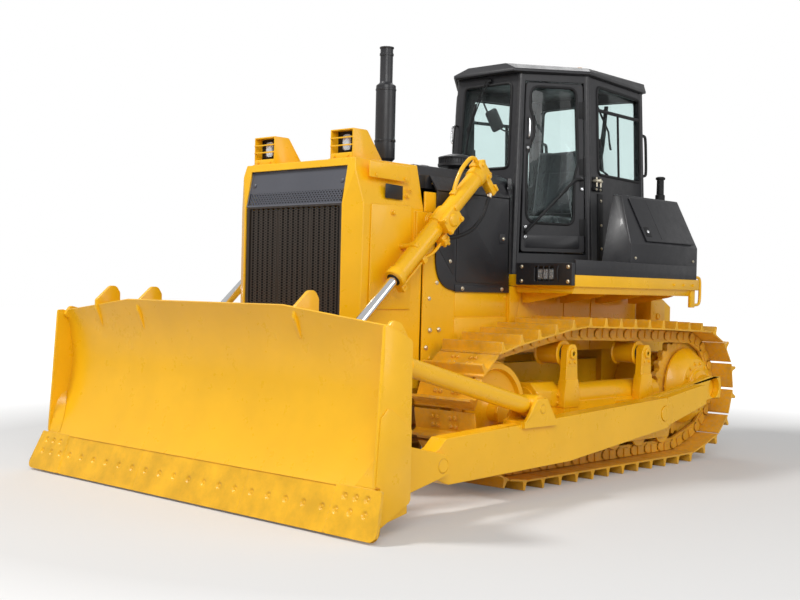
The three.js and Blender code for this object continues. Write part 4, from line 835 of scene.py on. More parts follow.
# ---------------------------------------------------------------- frame and undercarriage
def side_wall():
    """Left wall under the fender: a plate with bolt patterns, an arched front gusset, and the
    bracket with an eye over the final drive."""
    parts = [block((0.656, -2.06, 0.96), (0.668, -0.18, 1.486), 0.003),
             block((0.6, -2.2, 0.96), (0.655, -1.85, 1.44), 0.003)]
    arch = [(-2.056, 0.96), (-2.056, 1.486), (-1.7, 1.486), (-1.86, 1.452), (-1.94, 1.38), (-1.965, 1.2),
            (-1.965, 0.96)]
    parts.append(slab("x", rounded(arch, [0.004, 0.004, 0.01, 0.02, 0.02, 0.02, 0.004], 3), 0.666, 0.69,
                      0.002))
    pattern = [(y, z) for y in (-1.64, -1.56, -1.48, -1.4) for z in (1.4, 1.24)]
    pattern += [(-1.15, 1.4), (-1.08, 1.4), (-0.8, 1.4), (-0.73, 1.4), (-1.15, 1.24)]
    parts.append(bolts([(0.668, y, z) for y, z in pattern], (1, 0, 0), 0.014))
    for y in (-1.3, -0.9):
        parts.append(block((0.664, y, 0.965), (0.676, y + 0.012, 1.48), 0.002))
    bracket = rounded([(-0.06, 1.06), (0.18, 1.06), (0.18, 1.395), (-0.06, 1.395)], 0.02, 4)
    parts.append(slab("x", bracket, 0.6, 0.76, 0.006))
    lug = rounded([(0.01, 1.38), (0.13, 1.38), (0.13, 1.43), (0.095, 1.472), (0.045, 1.472), (0.01, 1.43)],
                  0.02, 4)
    parts.append(slab("x", lug, 0.7, 0.74, 0.004))
    parts.append(turned([(0.03, 0), (0.03, 0.01), (0.022, 0.012), (0.018, 0.006), (0, 0.006)],
                        (0.76, 0.06, 1.25), (1, 0, 0), 24))
    parts.append(turned([(0.02, 0), (0.02, 0.012), (0.014, 0.014), (0, 0.014)], (0.74, 0.07, 1.43),
                        (1, 0, 0), 20))
    return total(parts)


def frame_details():
    """Belly and case details: a bolted belly plate, drain plugs, the rear cover with its bolts."""
    parts = [block((-0.29, -3.3, 0.606), (0.29, -0.5, 0.622), 0.004)]
    parts.append(bolts([(x, y, 0.606) for x in (-0.25, 0.25) for y in np.linspace(-3.2, -0.6, 8)],
                       (0, 0, -1), 0.016))
    rear = rounded([(-0.3, 0.7), (0.3, 0.7), (0.3, 1.26), (-0.3, 1.26)], 0.06, 5)
    parts.append(slab("y", rear, 0.8, 0.818, 0.005))
    spots = [(x, 0.818, z) for x in (-0.27, -0.09, 0.09, 0.27) for z in (0.735, 1.225)]
    spots += [(x, 0.818, z) for x in (-0.27, 0.27) for z in (0.86, 0.98, 1.1)]
    parts.append(bolts(spots, (0, 1, 0), 0.016))
    parts.append(turned([(0.07, 0), (0.07, 0.02), (0.06, 0.03), (0.03, 0.032), (0, 0.032)],
                        (0, 0.818, 0.98), (0, 1, 0), 32))
    return total(parts)


def plate_details():
    """Left frame plate beside the engine: seam, blank studs and bolts over the track."""
    x = 0.666
    parts = [block((x - 0.002, -2.706, 1.25), (x + 0.004, -2.075, 1.428), 0.002),
             block((x - 0.002, -2.706, 0.96), (x + 0.004, -2.075, 1.236), 0.002)]
    parts.append(bolts([(x + 0.004, -2.075 - 0.03, z) for z in (1.0, 1.4)], (1, 0, 0), 0.01))
    parts.append(bolts([(x, y, 0.94) for y in (-2.98, -2.9, -2.64, -2.56)], (1, 0, 0), 0.016))
    return total(parts)


PLATE_BOLTS = ((-2.98, 1.147), (-2.88, 1.151), (-3.02, 1.02))
ROLLER_SHAFTS = ((-1.9, 0.976), (-0.82, 0.952))  # y and z of the carrier rollers' shafts
BEAM_FRONT = -2.3


def track_frame_details():
    """Left track frame: a round spring housing with a bolted front cover, clamp heads and shaft
    ends on the pedestals, double-flanged carrier rollers, and bolts along the roller guard."""
    housing = turned([(0.0, 0.0), (0.104, 0.0), (0.112, 0.008), (0.112, 1.76), (0.104, 1.77), (0.0, 1.77)],
                     (TRACK_X, BEAM_FRONT + 0.06, 0.62), (0, 1, 0), 48)
    hood = rounded([(0.868, 0.56), (1.132, 0.56), (1.132, 0.69), (1.07, 0.758), (0.93, 0.758),
                    (0.868, 0.69)],
                   0.03, 4)
    cover = slab("y", hood, BEAM_FRONT + 0.03, BEAM_FRONT + 0.33, 0.012, 3)
    cover = cover + bolts([(1.132, BEAM_FRONT + y, z) for y in (0.07, 0.29) for z in (0.6, 0.66)],
                          (1, 0, 0), 0.014)
    parts = [housing, cover]
    for y, z in ROLLER_SHAFTS:
        centre = (TRACK_X, y, z)
        wheel = turned([(0.06, -0.106), (0.098, -0.106), (0.102, -0.102), (0.102, -0.098), (0.098, -0.094),
                        (0.085, -0.09), (0.085, 0.09), (0.098, 0.094), (0.102, 0.098), (0.102, 0.106),
                        (0.098, 0.11), (0.06, 0.112)], centre, (1, 0, 0), 40)
        head = rounded([(y - 0.066, z - 0.1), (y + 0.066, z - 0.1), (y + 0.06, z + 0.04),
                        (y + 0.034, z + 0.072),
                        (y - 0.034, z + 0.072), (y - 0.06, z + 0.04)], 0.02, 4)
        clamp = slab("x", head, TRACK_X + 0.12, TRACK_X + 0.19, 0.006)
        shaft = turned([(0.042, 0), (0.042, 0.012), (0.036, 0.016), (0.02, 0.016), (0.016, 0.008),
                        (0, 0.008)],
                       (TRACK_X + 0.19, y, z), (1, 0, 0), 28)
        pinch = bolts([(TRACK_X + 0.19, y + d, z - 0.066) for d in (-0.034, 0.034)], (1, 0, 0), 0.013)
        foot = rounded([(y - 0.104, 0.56), (y + 0.104, 0.56), (y + 0.104, 0.64), (y + 0.08, 0.78),
                        (y - 0.08, 0.78), (y - 0.104, 0.64)], 0.016, 3)
        stand = slab("x", foot, TRACK_X + 0.116, TRACK_X + 0.194, 0.006)
        parts += [wheel, clamp, shaft, pinch, stand]
    guard = [(TRACK_X + 0.152, y, 0.392) for y in np.arange(-2.2, -0.5, 0.21)]
    parts.append(bolts(guard, (1, 0, 0), 0.013))
    return total(parts)


def roller_seals():
    """Dark rings between each carrier roller and its pedestal."""
    ring = [(0.04, 0.0), (0.066, 0.0), (0.07, 0.004), (0.07, 0.007), (0.066, 0.01), (0.04, 0.01)]
    return total(turned(ring, (TRACK_X + 0.11, y, z), (1, 0, 0), 32) for y, z in ROLLER_SHAFTS)


def build_frame(sizes):
    """Main frame, equalizer bar, engine, track frames and roller guards."""
    soft_edged("main_frame", sizes.edge, "yellow")
    both(side_wall() + plate_details()).emit("side_walls", "yellow")
    frame_details().emit("frame_covers", "yellow")
    soft_edged("equalizer_bar", sizes.edge, "yellow")
    soft_edged("engine", 0.03, "iron")
    both(track_frame_details()).emit("track_frame_parts", "yellow")
    both(roller_seals()).emit("carrier_roller_seals", "rubber")
    both(bolts([(0.67, y, z) for y, z in PLATE_BOLTS], (1, 0, 0), 0.015)).emit("frame_plate_bolts", "zinc")
    for name, _ in SIDES:
        soft_edged(f"{name}_track_frame", 0.005, "yellow")
        soft_edged(f"{name}_track_rollers", 0.003, "yellow")


# ---------------------------------------------------------------- blade
MOLD_TOP = (-4.58, 1.333)
MOLD_FOOT = (-4.652, 0.29)
MOLD_HOLLOW = 0.15
MOLD_HALF = 1.755
TOP_FLAT = 0.84
TOP_CORNER_Z = 1.228
EDGE_HALF = 1.8625
EDGE_TIP = (-4.758, 0.018)
BLADE_BACK = -4.35
YOKE_PAD = -4.42
LIFT_X = 0.78


def mold_y(z):
    """The moldboard's front: an arc through its top and foot, concave towards the front, so
    y = cy + sqrt(R2 - (z - cz)2)."""
    (ty, tz), (fy, fz) = MOLD_TOP, MOLD_FOOT
    half = math.hypot(ty - fy, tz - fz) / 2
    radius = (half ** 2 + MOLD_HOLLOW ** 2) / (2 * MOLD_HOLLOW)
    ny, nz = (tz - fz) / (2 * half), -(ty - fy) / (2 * half)
    cy = (ty + fy) / 2 - ny * (radius - MOLD_HOLLOW)
    cz = (tz + fz) / 2 - nz * (radius - MOLD_HOLLOW)
    return cy + np.sqrt(radius ** 2 - (z - cz) ** 2)


def mold_top(x):
    """Height of the top edge: flat in the middle and falling evenly to the corners."""
    fall = (MOLD_TOP[1] - TOP_CORNER_Z) / (MOLD_HALF - TOP_FLAT)
    return MOLD_TOP[1] - np.maximum(0, np.abs(x) - TOP_FLAT) * fall


def moldboard():
    """The curved sheet: across it x runs evenly, and up it z runs from the foot to the top edge;
    the back is the front moved 24 mm to the rear, joined over a rounded rim."""
    x = np.unique(np.concatenate([np.linspace(-1.748, 1.748, 41), [-TOP_FLAT, TOP_FLAT]]))[:, None]
    share = np.linspace(0, 1, 34)
    z = MOLD_FOOT[1] - 0.004 + (mold_top(x) - 0.006 - MOLD_FOOT[1] + 0.004) * share
    front = np.stack([np.broadcast_to(x, z.shape), mold_y(z), z], -1)
    back = front[:, ::-1] + (0, 0.024, 0)
    rim = (front[:, -1:] + back[:, :1]) / 2 + (0, 0, 0.006)
    return surface(np.concatenate([front, rim, back], 1), close_v=True, cap=True)


def blade_box():
    """What stiffens the blade: beams along its top and foot, upright posts, and pads for the yokes."""
    low = [(-4.682, 0.13), (-4.642, 0.282), (-4.628, 0.3), (-4.53, 0.43), (BLADE_BACK, 0.43),
           (BLADE_BACK, 0.12), (-4.592, 0.07)]
    rise = np.linspace(1.0, 1.215, 6)
    high = np.concatenate([np.stack([mold_y(rise) + 0.01, rise], 1),
                           [(BLADE_BACK, 1.15), (BLADE_BACK, 1.04)]])
    parts = [slab("x", low, -1.735, 1.735, 0.006)]
    half_yoke = 0.195
    for a, b in ((-1.735, -LIFT_X - half_yoke), (-LIFT_X + half_yoke, LIFT_X - half_yoke),
                 (LIFT_X + half_yoke, 1.735)):
        parts.append(slab("x", high, a, b, 0.006))
    z = np.linspace(0.43, 1.15, 15)
    curve = np.stack([mold_y(z) + 0.012, z], 1)
    post = np.concatenate([curve, [(BLADE_BACK, 1.12), (BLADE_BACK, 0.3)]])
    pad_z = np.linspace(0.555, 1.105, 12)
    pad = np.concatenate([np.stack([mold_y(pad_z) + 0.012, pad_z], 1),
                          [(YOKE_PAD, 1.105), (YOKE_PAD, 0.555)]])
    for s in (-1, 1):
        parts.append(slab("x", post, s * 1.25, s * 1.61, 0.005))
        parts.append(slab("x", post, s * 0.4, s * 0.44, 0.005))
        parts.append(slab("x", pad, s * (LIFT_X - 0.16), s * (LIFT_X + 0.16), 0.005))
    return total(parts)


def blade_end():
    """Left end plate with its wear plate, a lug with an eye at the top, and a corner gusset."""
    end = [(-4.65, 0.3), (-4.618, 0.292), (-4.676, 0.15), (-4.6, 0.062), (-4.372, 0.176), (BLADE_BACK, 0.2),
           (BLADE_BACK, 1.13), (-4.36, 1.146), (-4.54, 1.232), (-4.586, 1.23), (-4.592, 1.216)]
    wear = [(-4.646, 0.31), (-4.612, 0.296), (-4.666, 0.15), (-4.596, 0.072), (-4.368, 0.184),
            (-4.354, 0.204),
            (-4.354, 0.62), (-4.52, 0.742), (-4.562, 0.752), (-4.618, 0.7)]
    lug = rounded([(-4.56, 1.19), (-4.38, 1.1), (-4.372, 1.17), (-4.43, 1.246), (-4.5, 1.262)], 0.03, 4)
    gusset_z = np.linspace(0.3, 0.62, 8)
    lean = (gusset_z - 0.3) / 0.32
    front = np.stack([1.742 - 0.15 * (1 - lean), mold_y(gusset_z) - 0.003, gusset_z], 1)
    tip = np.stack([np.full(8, 1.742), MOLD_FOOT[0] + 0.004 + 0.05 * lean + 0.03 * lean ** 2, gusset_z], 1)
    rear = np.stack([np.full(8, 1.742), mold_y(gusset_z) + 0.01, gusset_z], 1)
    gusset = surface(np.stack([front, tip, rear]), close_u=True, cap=False)
    gusset.faces += [[0, 8, 16], [7, 23, 15]]
    parts = [slab("x", end, 1.733, 1.756, 0.004), slab("x", wear, 1.7555, 1.764, 0.003), gusset,
             slab("x", lug, 1.7, 1.732, 0.004)]
    return total(parts)


def blade_fins():
    """Three plates that stand behind the top edge, each a ramp with a rounded crest."""
    fin = rounded([(-4.56, 1.25), (-4.56, 1.318), (-4.44, 1.424), (-4.385, 1.424), (-4.352, 1.372),
                   (-4.352, 1.12),
                   (-4.5, 1.12)], [0.01, 0.02, 0.045, 0.045, 0.03, 0.004, 0.004], 4)
    return total(slab("x", fin, x - 0.014, x + 0.014, 0.004) for x in (-1.27, -0.74, 0.93))


EDGE_BOLTS = ([(s * x, 0.15) for s in (-1, 1) for x in (1.49, 1.61, 1.73)]
              + [(s * x, 0.062) for s in (-1, 1) for x in (1.535, 1.628, 1.72)]
              + [((k - 8.5) * 0.161 + 0.0, 0.146) for k in range(18)])


def cutting_edge():
    """The edge's face as a height over (x, slope): a flat plate with dished bolt seats, thin joints
    between its lengths, raised end bits and a rounded outline. Depth at a seat is that of a
    squared cosine; x is pulled in near the rounded lower corners."""
    (ty, tz), (fy, fz) = EDGE_TIP, (MOLD_FOOT[0] - 0.002, MOLD_FOOT[1] + 0.004)
    length = math.hypot(fy - ty, fz - tz)
    down = np.array([(ty - fy) / length, (tz - fz) / length])
    out = np.array([down[1], -down[0]])
    u = np.linspace(-1, 1, 561)[:, None]
    v = np.linspace(0, 1, 46)[None, :]
    slope = v * length
    corner = 0.055
    reach = EDGE_HALF - 0.05 * (1 - np.clip(slope / (length * 0.8), 0, 1))
    past = np.clip((slope - (length - corner)) / corner, 0, 1)
    reach = reach - corner * (1 - np.sqrt(1 - past ** 2))
    x = u * reach
    slope = np.broadcast_to(slope, x.shape)
    height = np.where(np.abs(x) > 1.44, -0.002, -0.008)
    for bx, bs in EDGE_BOLTS:
        r = np.hypot(x - bx, slope - bs) / 0.019
        seat = np.clip(1.25 - r, 0, 1)
        height = height - 0.01 * np.minimum(seat * 2.2, 1) + 0.004 * np.clip(0.55 - r, 0, 0.2) * 5
    for joint in (-0.483, 0.644):
        height = height - 0.003 * np.clip(1 - np.abs(x - joint) / 0.006, 0, 1)
    face = np.stack([x, fy + down[0] * slope + out[0] * height, fz + down[1] * slope + out[1] * height], -1)
    back = np.stack([x, fy + down[0] * slope - out[0] * 0.024, fz + down[1] * slope - out[1] * 0.024], -1)
    lift = np.maximum(0.0015 - back[..., 2], 0)
    back = back + lift[..., None] * (0, 0, 1)
    coarse = np.concatenate([face, back[:, ::-1]], 1)
    return surface(coarse, close_v=True, cap=True)


def build_blade(sizes):
    """Moldboard with its stiffeners, and the cutting edge."""
    (moldboard() + blade_box() + both(blade_end()) + blade_fins()).emit(
        "blade_body", "yellow", "blade", replaces=("blade",))
    cutting_edge().emit("blade_edge", "blade_steel", "blade", replaces=("cutting_edge",))


# ---------------------------------------------------------------- radiator guard, grille, lamps
GUARD = {"side": 0.655, "face": -3.76, "corner": -3.68, "face_half": 0.53, "top": 2.395, "bottom": 0.56}
GRILLE = {"half": 0.515, "low": 1.06, "high": 2.03, "face": -3.746}
HEADER_TOP = 2.3
HEADER_LEAN = 0.06


def screen(outline_low, outline_high, pitch_x, pitch_z, hole, at):
    """A thin perforated sheet in the plane of x and z. Each cell is a frame between its own
    rectangle and a lozenge-shaped hole; rows are set off by half a pitch in turn. `at` gives y
    for each z."""
    (x0, z0), (x1, z1) = outline_low, outline_high
    cell = []
    steps = 12
    angle = np.arange(steps) * 2 * np.pi / steps
    power = 1.25
    hx = hole[0] * np.sign(np.cos(angle)) * np.abs(np.cos(angle)) ** power
    hz = hole[1] * np.sign(np.sin(angle)) * np.abs(np.sin(angle)) ** power
    inner = np.stack([hx, hz], 1)
    scale = 1 / np.maximum(np.abs(np.cos(angle)), np.abs(np.sin(angle)))
    outer = np.stack([np.cos(angle) * scale * pitch_x / 2, np.sin(angle) * scale * pitch_z / 2], 1)
    rows = int(round((z1 - z0) / pitch_z))
    for row in range(rows):
        z = z0 + (row + 0.5) * (z1 - z0) / rows
        shift = (row % 2) * pitch_x / 2
        count = int((x1 - x0 - shift) / pitch_x + 0.01)
        first = (x0 + x1) / 2 - (count - 1) * pitch_x / 2
        for k in range(count):
            cell.append((first + k * pitch_x, z))
    cell = np.array(cell)
    ring = np.stack([outer, inner])[None] + cell[:, None, None]
    y = at(ring[..., 1])
    front = np.stack([ring[..., 0], y, ring[..., 1]], -1)
    back = front + (0, 0.004, 0)
    loop = np.stack([front[:, 0], front[:, 1], back[:, 1]], 1)
    count = len(cell)
    verts = loop.reshape(-1, 3)
    index = np.arange(3 * steps).reshape(3, steps)
    quads = []
    for r in range(2):
        a, b = index[r], np.roll(index[r], -1)
        c, d = np.roll(index[r + 1], -1), index[r + 1]
        quads.append(np.stack([a, b, c, d], 1))
    quads = np.concatenate(quads)
    faces = (quads[None] + (np.arange(count) * 3 * steps)[:, None, None]).reshape(-1, 4).tolist()
    return Part(verts, faces)


def bar_round(outline_outer, outline_inner, depth, at):
    """A frame between two outlines of (x, z), its front at `at(z)` and its depth towards +y."""
    outer, inner = wound(outline_outer), wound(outline_inner)

    def ring(points, back):
        return np.stack([points[:, 0], at(points[:, 1]) + back, points[:, 1]], 1)

    soft = 0.004
    rows = [ring(inset(outer, soft), 0), ring(outer, soft), ring(outer, depth), ring(inner, depth),
            ring(inner, soft), ring(inset(inner, -soft), 0)]
    return surface(np.stack(rows), close_u=True, close_v=True)


def header_y(z):
    """The header panel leans back from the grille's top to its own."""
    share = np.clip((z - GRILLE["high"]) / (HEADER_TOP - GRILLE["high"]), 0, 1)
    return GRILLE["face"] + HEADER_LEAN * share


def build_grille():
    """Perforated sheet in its rim, a radiator core and a sheet behind the header, both near-black as
    painted shade, and the leaning header above it with rows of round holes.
    """
    half, low, high = GRILLE["half"], GRILLE["low"], GRILLE["high"]
    flat = GRILLE["face"]
    outline = rounded([(-half, low), (half, low), (half, high), (-half, high)], 0.012, 2)
    rim = rounded([(-half + 0.03, low + 0.03), (half - 0.03, low + 0.03), (half - 0.03, high - 0.012),
                   (-half + 0.03, high - 0.012)], 0.012, 2)
    surround = bar_round(outline, rim, 0.03, lambda z: flat - 0.004 + 0 * z)
    sheet = screen((-half + 0.024, low + 0.024), (half - 0.024, high - 0.006), 0.055, 0.02,
                   (0.0145, 0.0088), lambda z: flat + 0.004 + 0 * z)
    bars = total(block((x - 0.008, flat + 0.008, low + 0.02), (x + 0.008, flat + 0.02, high - 0.02), 0.002)
                 for x in (-0.17, 0.17))
    (surround + sheet + bars).emit("grille_screen", "mesh_black", replaces=("grille",), smooth=40.0)
    # The radiator core behind the grille: a real part, but coloured near-black as painted shade for the
    # dark behind the sheet.
    core_x = np.linspace(-half + 0.01, half - 0.01, 60)[:, None]
    core_z = np.linspace(low + 0.01, high - 0.02, 60)[None, :]
    core_y = flat + 0.03 + 0.003 * np.cos(core_x * 400) + 0 * core_z
    core = np.stack([np.broadcast_to(core_x, core_y.shape), core_y, np.broadcast_to(core_z, core_y.shape)],
                    -1)
    surface(core).emit("radiator_core", "painted_shade_black")
    panel_half = 0.52
    holes_top = high + 0.105
    band = screen((-panel_half + 0.012, high + 0.012), (panel_half - 0.012, holes_top), 0.03, 0.03,
                  (0.0078, 0.0078), header_y)
    x = np.array([-panel_half, -panel_half + 0.01, panel_half - 0.01, panel_half])[:, None]
    z = np.array([holes_top, holes_top + 0.002, HEADER_TOP - 0.02, HEADER_TOP])[None, :]
    y = header_y(np.broadcast_to(z, (4, 4)))
    plain = surface(np.stack([np.broadcast_to(x, (4, 4)), y, np.broadcast_to(z, (4, 4))], -1))
    outer = rounded([(-panel_half - 0.01, high), (panel_half + 0.01, high),
                     (panel_half + 0.01, HEADER_TOP + 0.008),
                     (-panel_half - 0.01, HEADER_TOP + 0.008)], 0.02, 3)
    inner = rounded([(-panel_half + 0.012, high + 0.014), (panel_half - 0.012, high + 0.014),
                     (panel_half - 0.012, HEADER_TOP - 0.012), (-panel_half + 0.012, HEADER_TOP - 0.012)],
                    0.012, 3)
    lip = bar_round(outer, inner, 0.03, lambda v: header_y(v) - 0.006)
    lean = math.atan2(HEADER_LEAN, HEADER_TOP - high)
    out = (0, -math.cos(lean), math.sin(lean))
    caps = total(turned([(0.016, 0), (0.016, 0.004), (0.012, 0.007), (0, 0.008)],
                        (bx, float(header_y(bz)), bz), out, 20)
                 for bx in (-0.47, 0.47) for bz in (high + 0.165,))
    (band + plain + lip + caps).emit("header_panel", "slate", smooth=40.0)
    # Painted shade: a near-black sheet behind the header's holes, where only the dark inside would show.
    back = surface(np.stack([np.array([[-0.5, flat + 0.075, high], [0.5, flat + 0.075, high]]),
                             np.array([[-0.5, flat + 0.075, HEADER_TOP],
                                       [0.5, flat + 0.075, HEADER_TOP]])]))
    back.emit("header_shade", "painted_shade_black")


def guard_side():
    """Left side of the guard: a raised panel with a welded rim, an upper cap panel, bolts and a latch
    stub."""
    x = GUARD["side"]
    panel = rounded([(-3.616, 1.3), (-3.607, 2.036), (-3.19, 2.046), (-3.19, 1.3)], 0.012, 3)
    cap = rounded([(-3.63, 2.222), (-3.634, 2.335), (-3.224, 2.325), (-3.22, 2.212)], 0.01, 3)
    parts = [slab("x", panel, x - 0.004, x + 0.007, 0.004), slab("x", cap, x - 0.004, x + 0.006, 0.003)]
    parts.append(bolts([(x + 0.006, -3.567, 2.24), (x + 0.006, -3.268, 2.234)], (1, 0, 0), 0.013))
    parts.append(bolts([(x, -3.205, 2.161), (x, -3.232, 2.112)], (1, 0, 0), 0.013))
    parts.append(turned([(0.02, 0), (0.02, 0.012), (0.014, 0.014), (0.014, 0.03), (0.01, 0.034),
                         (0, 0.034)],
                        (x, -3.394, 1.985), (1, 0, 0), 18))
    return total(parts)


LAMP = {"inner": 0.3, "outer": 0.53, "front": -3.672, "low": 2.357, "high": 2.565}


def lamp_box():
    """Left lamp's box: cheeks, roof and foot round a room that is open at the front, with two bars
    across it and a foot strip with bolts. The cheeks slope down to the rear."""
    x0, x1, y0, z0, z1 = LAMP["inner"], LAMP["outer"], LAMP["front"], LAMP["low"], LAMP["high"]
    profile = rounded([(y0, z0), (y0, z1), (y0 + 0.14, z1), (y0 + 0.3, z0)], [0.003, 0.006, 0.03, 0.004], 4)
    wall, deep = 0.01, 0.085
    parts = [slab("x", profile, x0, x0 + wall, 0.003), slab("x", profile, x1 - wall, x1, 0.003)]
    core = rounded([(y0 + deep, z0), (y0 + deep, z1 - 0.001), (y0 + 0.14, z1 - 0.001), (y0 + 0.298, z0)],
                   [0.002, 0.002, 0.03, 0.004], 4)
    parts.append(slab("x", core, x0 + wall - 0.001, x1 - wall + 0.001, 0.001))
    parts.append(block((x0 + 0.004, y0, z1 - wall), (x1 - 0.004, y0 + deep + 0.01, z1), 0.002))
    parts.append(block((x0 + 0.004, y0, z0), (x1 - 0.004, y0 + deep + 0.01, z0 + 0.04), 0.002))
    parts += [block((x0 + 0.004, y0 - 0.006, z - 0.005), (x1 - 0.004, y0 + 0.004, z + 0.005), 0.002)
              for z in (z0 + 0.092, z0 + 0.146)]
    parts.append(block((x0 - 0.008, y0 - 0.008, z0 - 0.003), (x1 + 0.008, y0 + 0.3, z0 + 0.004), 0.001))
    parts.append(bolts([(x, y0, z0 + 0.02) for x in (x0 + 0.045, x1 - 0.045)], (0, -1, 0), 0.009))
    return total(parts)


def lamp_insert():
    """Black housing, bowl and glass of the lamp: the glass is a rounded square 84 by 112 mm, domed
    by 8 mm times 1 minus the squared distance from its middle."""
    x0, x1, y0, z0, z1 = LAMP["inner"], LAMP["outer"], LAMP["front"], LAMP["low"], LAMP["high"]
    cx, cz, y = (x0 + x1) / 2, (z0 + 0.04 + z1 - 0.01) / 2, y0 + 0.052
    back = slab("y", rounded([(x0 + 0.01, z0 + 0.04), (x1 - 0.01, z0 + 0.04), (x1 - 0.01, z1 - 0.01),
                              (x0 + 0.01, z1 - 0.01)], 0.003, 2), y + 0.016, y + 0.034, 0.001)
    face = rounded([(-0.048, -0.062), (0.048, -0.062), (0.048, 0.062), (-0.048, 0.062)], 0.03, 6)
    rows = [np.column_stack([cx + face[:, 0] * k, np.full(len(face), y + h), cz + face[:, 1] * k])
            for k, h in ((1.0, 0.018), (1.0, 0.0), (0.97, -0.003), (0.9, -0.003), (0.88, 0.002))]
    bowl = [np.column_stack([cx + face[:, 0] * k, np.full(len(face),
                                                          y + 0.002 + 0.012 * (1 - (k / 0.88) ** 2)),
                             cz + face[:, 1] * k]) for k in (0.88, 0.75, 0.6, 0.45, 0.3, 0.15, 0.03)]
    glass = [np.column_stack([cx + face[:, 0] * k, np.full(len(face),
                                                           y - 0.001 - 0.008 * (1 - (k / 0.9) ** 2)),
                              cz + face[:, 1] * k]) for k in (0.89, 0.86, 0.7, 0.5, 0.3, 0.1)]
    rim = surface(np.stack(rows), close_v=True)
    return back + rim, surface(np.stack(bowl), close_v=True, cap=True), surface(np.stack(glass),
        close_v=True, cap=True)


def build_front(sizes):
    """Radiator guard, grille and lamps."""
    soft_edged("radiator_guard", sizes.edge, "yellow")
    both(guard_side()).emit("guard_panels", "yellow")
    plate_outline = rounded([(-3.468, 2.085), (-3.468, 2.187), (-3.29, 2.18), (-3.29, 2.08)], 0.004, 2)
    both(slab("x", plate_outline, GUARD["side"], GUARD["side"] + 0.005, 0.0015)).emit("guard_plates",
        "label")
    build_grille()
    housing, bowl, glass = lamp_insert()
    for name, s in SIDES:
        lamp = lamp_box() if s > 0 else lamp_box().mirrored()
        lamp.emit(f"{name}_lamp_box", "yellow", replaces=(f"{name}_headlight",))
    both(housing).emit("lamp_housings", "rubber")
    both(bowl).emit("lamp_bowls", "reflector")
    both(glass).emit("lamp_glasses", "lens")


# ---------------------------------------------------------------- cab
CAB_BASE_Z, CAB_HEAD_Z = 1.7, 3.27
CAB_BASE = {"front": (0.365, -1.617), "hinge": (0.743, -1.02), "rear": (0.62, 0.04)}
CAB_HEAD = {"front": (0.335, -1.528), "hinge": (0.703, -1.064), "rear": (0.575, -0.005)}
CAB_LOW, CAB_TOP = 1.586, 3.29
WALL = 0.046
PANE_DEEP = 0.018
DOOR = {"from": 0.062, "to": 0.655, "low": 1.775, "high": 3.215, "gap": 0.005}


def cab_corner(name, z, side=1):
    """A corner of the cab's outline at a height, on the line through its foot and its head."""
    share = (z - CAB_BASE_Z) / (CAB_HEAD_Z - CAB_BASE_Z)
    x, y = np.array(CAB_BASE[name]) + (np.array(CAB_HEAD[name]) - np.array(CAB_BASE[name])) * share
    return np.array([side * x, y])


class Wall:
    """A face of the cab between two upright corners: along it s in metres from the first corner at
    the foot, up it z, and out of it a distance along its outward normal."""

    def __init__(self, first, second):
        self.first, self.second = first, second
        a, b = self.corners(CAB_BASE_Z)
        self.span = float(np.linalg.norm(b - a))
        up = np.append(self.corners(CAB_HEAD_Z)[0], CAB_HEAD_Z) - np.append(a, CAB_BASE_Z)
        normal = np.cross(np.append(b - a, 0), up)
        self.normal = normal / np.linalg.norm(normal)
        middle = np.append((a + b) / 2, 0)
        if self.normal @ (middle - (0, -0.8, 0)) < 0:
            self.normal = -self.normal

    def corners(self, z):
        return cab_corner(*self.first[:1], z, self.first[1]), cab_corner(*self.second[:1], z,
            self.second[1])

    def at(self, s, z, out=0.0):
        """Points of the wall for arrays s, z and out."""
        s, z, out = np.broadcast_arrays(np.asarray(s, float), np.asarray(z, float), np.asarray(out, float))
        share = (z - CAB_BASE_Z) / (CAB_HEAD_Z - CAB_BASE_Z)
        ends = []
        for name, side in (self.first, self.second):
            foot, head = np.array(CAB_BASE[name]), np.array(CAB_HEAD[name])
            point = foot + (head - foot) * share[..., None]
            ends.append(point * (side, 1))
        flat = ends[0] + (ends[1] - ends[0]) * (s / self.span)[..., None]
        points = np.concatenate([flat, z[..., None]], -1)
        return points + self.normal * out[..., None]

    def sheet(self, outline, low, high, bevel=0.0, steps=2, holes=None):
        """A flat shape of (s, z) between two distances out of the wall. With `holes`, one inner
        outline of as many points, it is a frame round that opening."""
        outer = wound(outline)
        if holes is None:
            arc = np.linspace(0, np.pi / 2, steps + 1) if bevel > 0 else np.array([np.pi / 2])
            rings = [(bevel * (1 - math.sin(t)), low + bevel * (1 - math.cos(t))) for t in arc]
            rings += [(bevel * (1 - math.cos(t)), high - bevel * (1 - math.sin(t))) for t in arc]
            rows = [self.at(*inset(outer, d).T, h) for d, h in rings]
            return surface(np.stack(rows), close_v=True, cap=True)
        inner = wound(holes)
        rows = [(inset(outer, bevel), high), (outer, high - bevel), (outer, low), (inner, low),
                (inner, high - bevel), (inset(inner, -bevel), high)]
        return surface(np.stack([self.at(*line.T, h) for line, h in rows]), close_u=True, close_v=True)

    def strip(self, path, half, low, high, bevel=0.003):
        """A flat bar along a line of (s, z)."""
        path = np.asarray(path, float)
        way = np.gradient(path, axis=0)
        way /= np.linalg.norm(way, axis=1, keepdims=True)
        aside = np.stack([-way[:, 1], way[:, 0]], 1) * half
        return self.sheet(np.concatenate([path + aside, (path - aside)[::-1]]), low, high, bevel)

    def cord(self, path, radius, out, segments=8):
        """A round bar along a line of (s, z) at a distance out."""
        path = np.asarray(path, float)
        return tube(self.at(path[:, 0], path[:, 1], out), radius, segments)

    def ring(self, outline, radius, out, segments=8):
        """A closed seal round an outline."""
        line = self.at(*wound(outline).T, out)
        line = np.concatenate([line, line[:1]])
        closed = tube(line, radius, segments)
        return closed

    def studs(self, spots, out, size=0.011):
        """Bolt heads at (s, z) spots."""
        return bolts([self.at(s, z, out) for s, z in spots], self.normal, size)


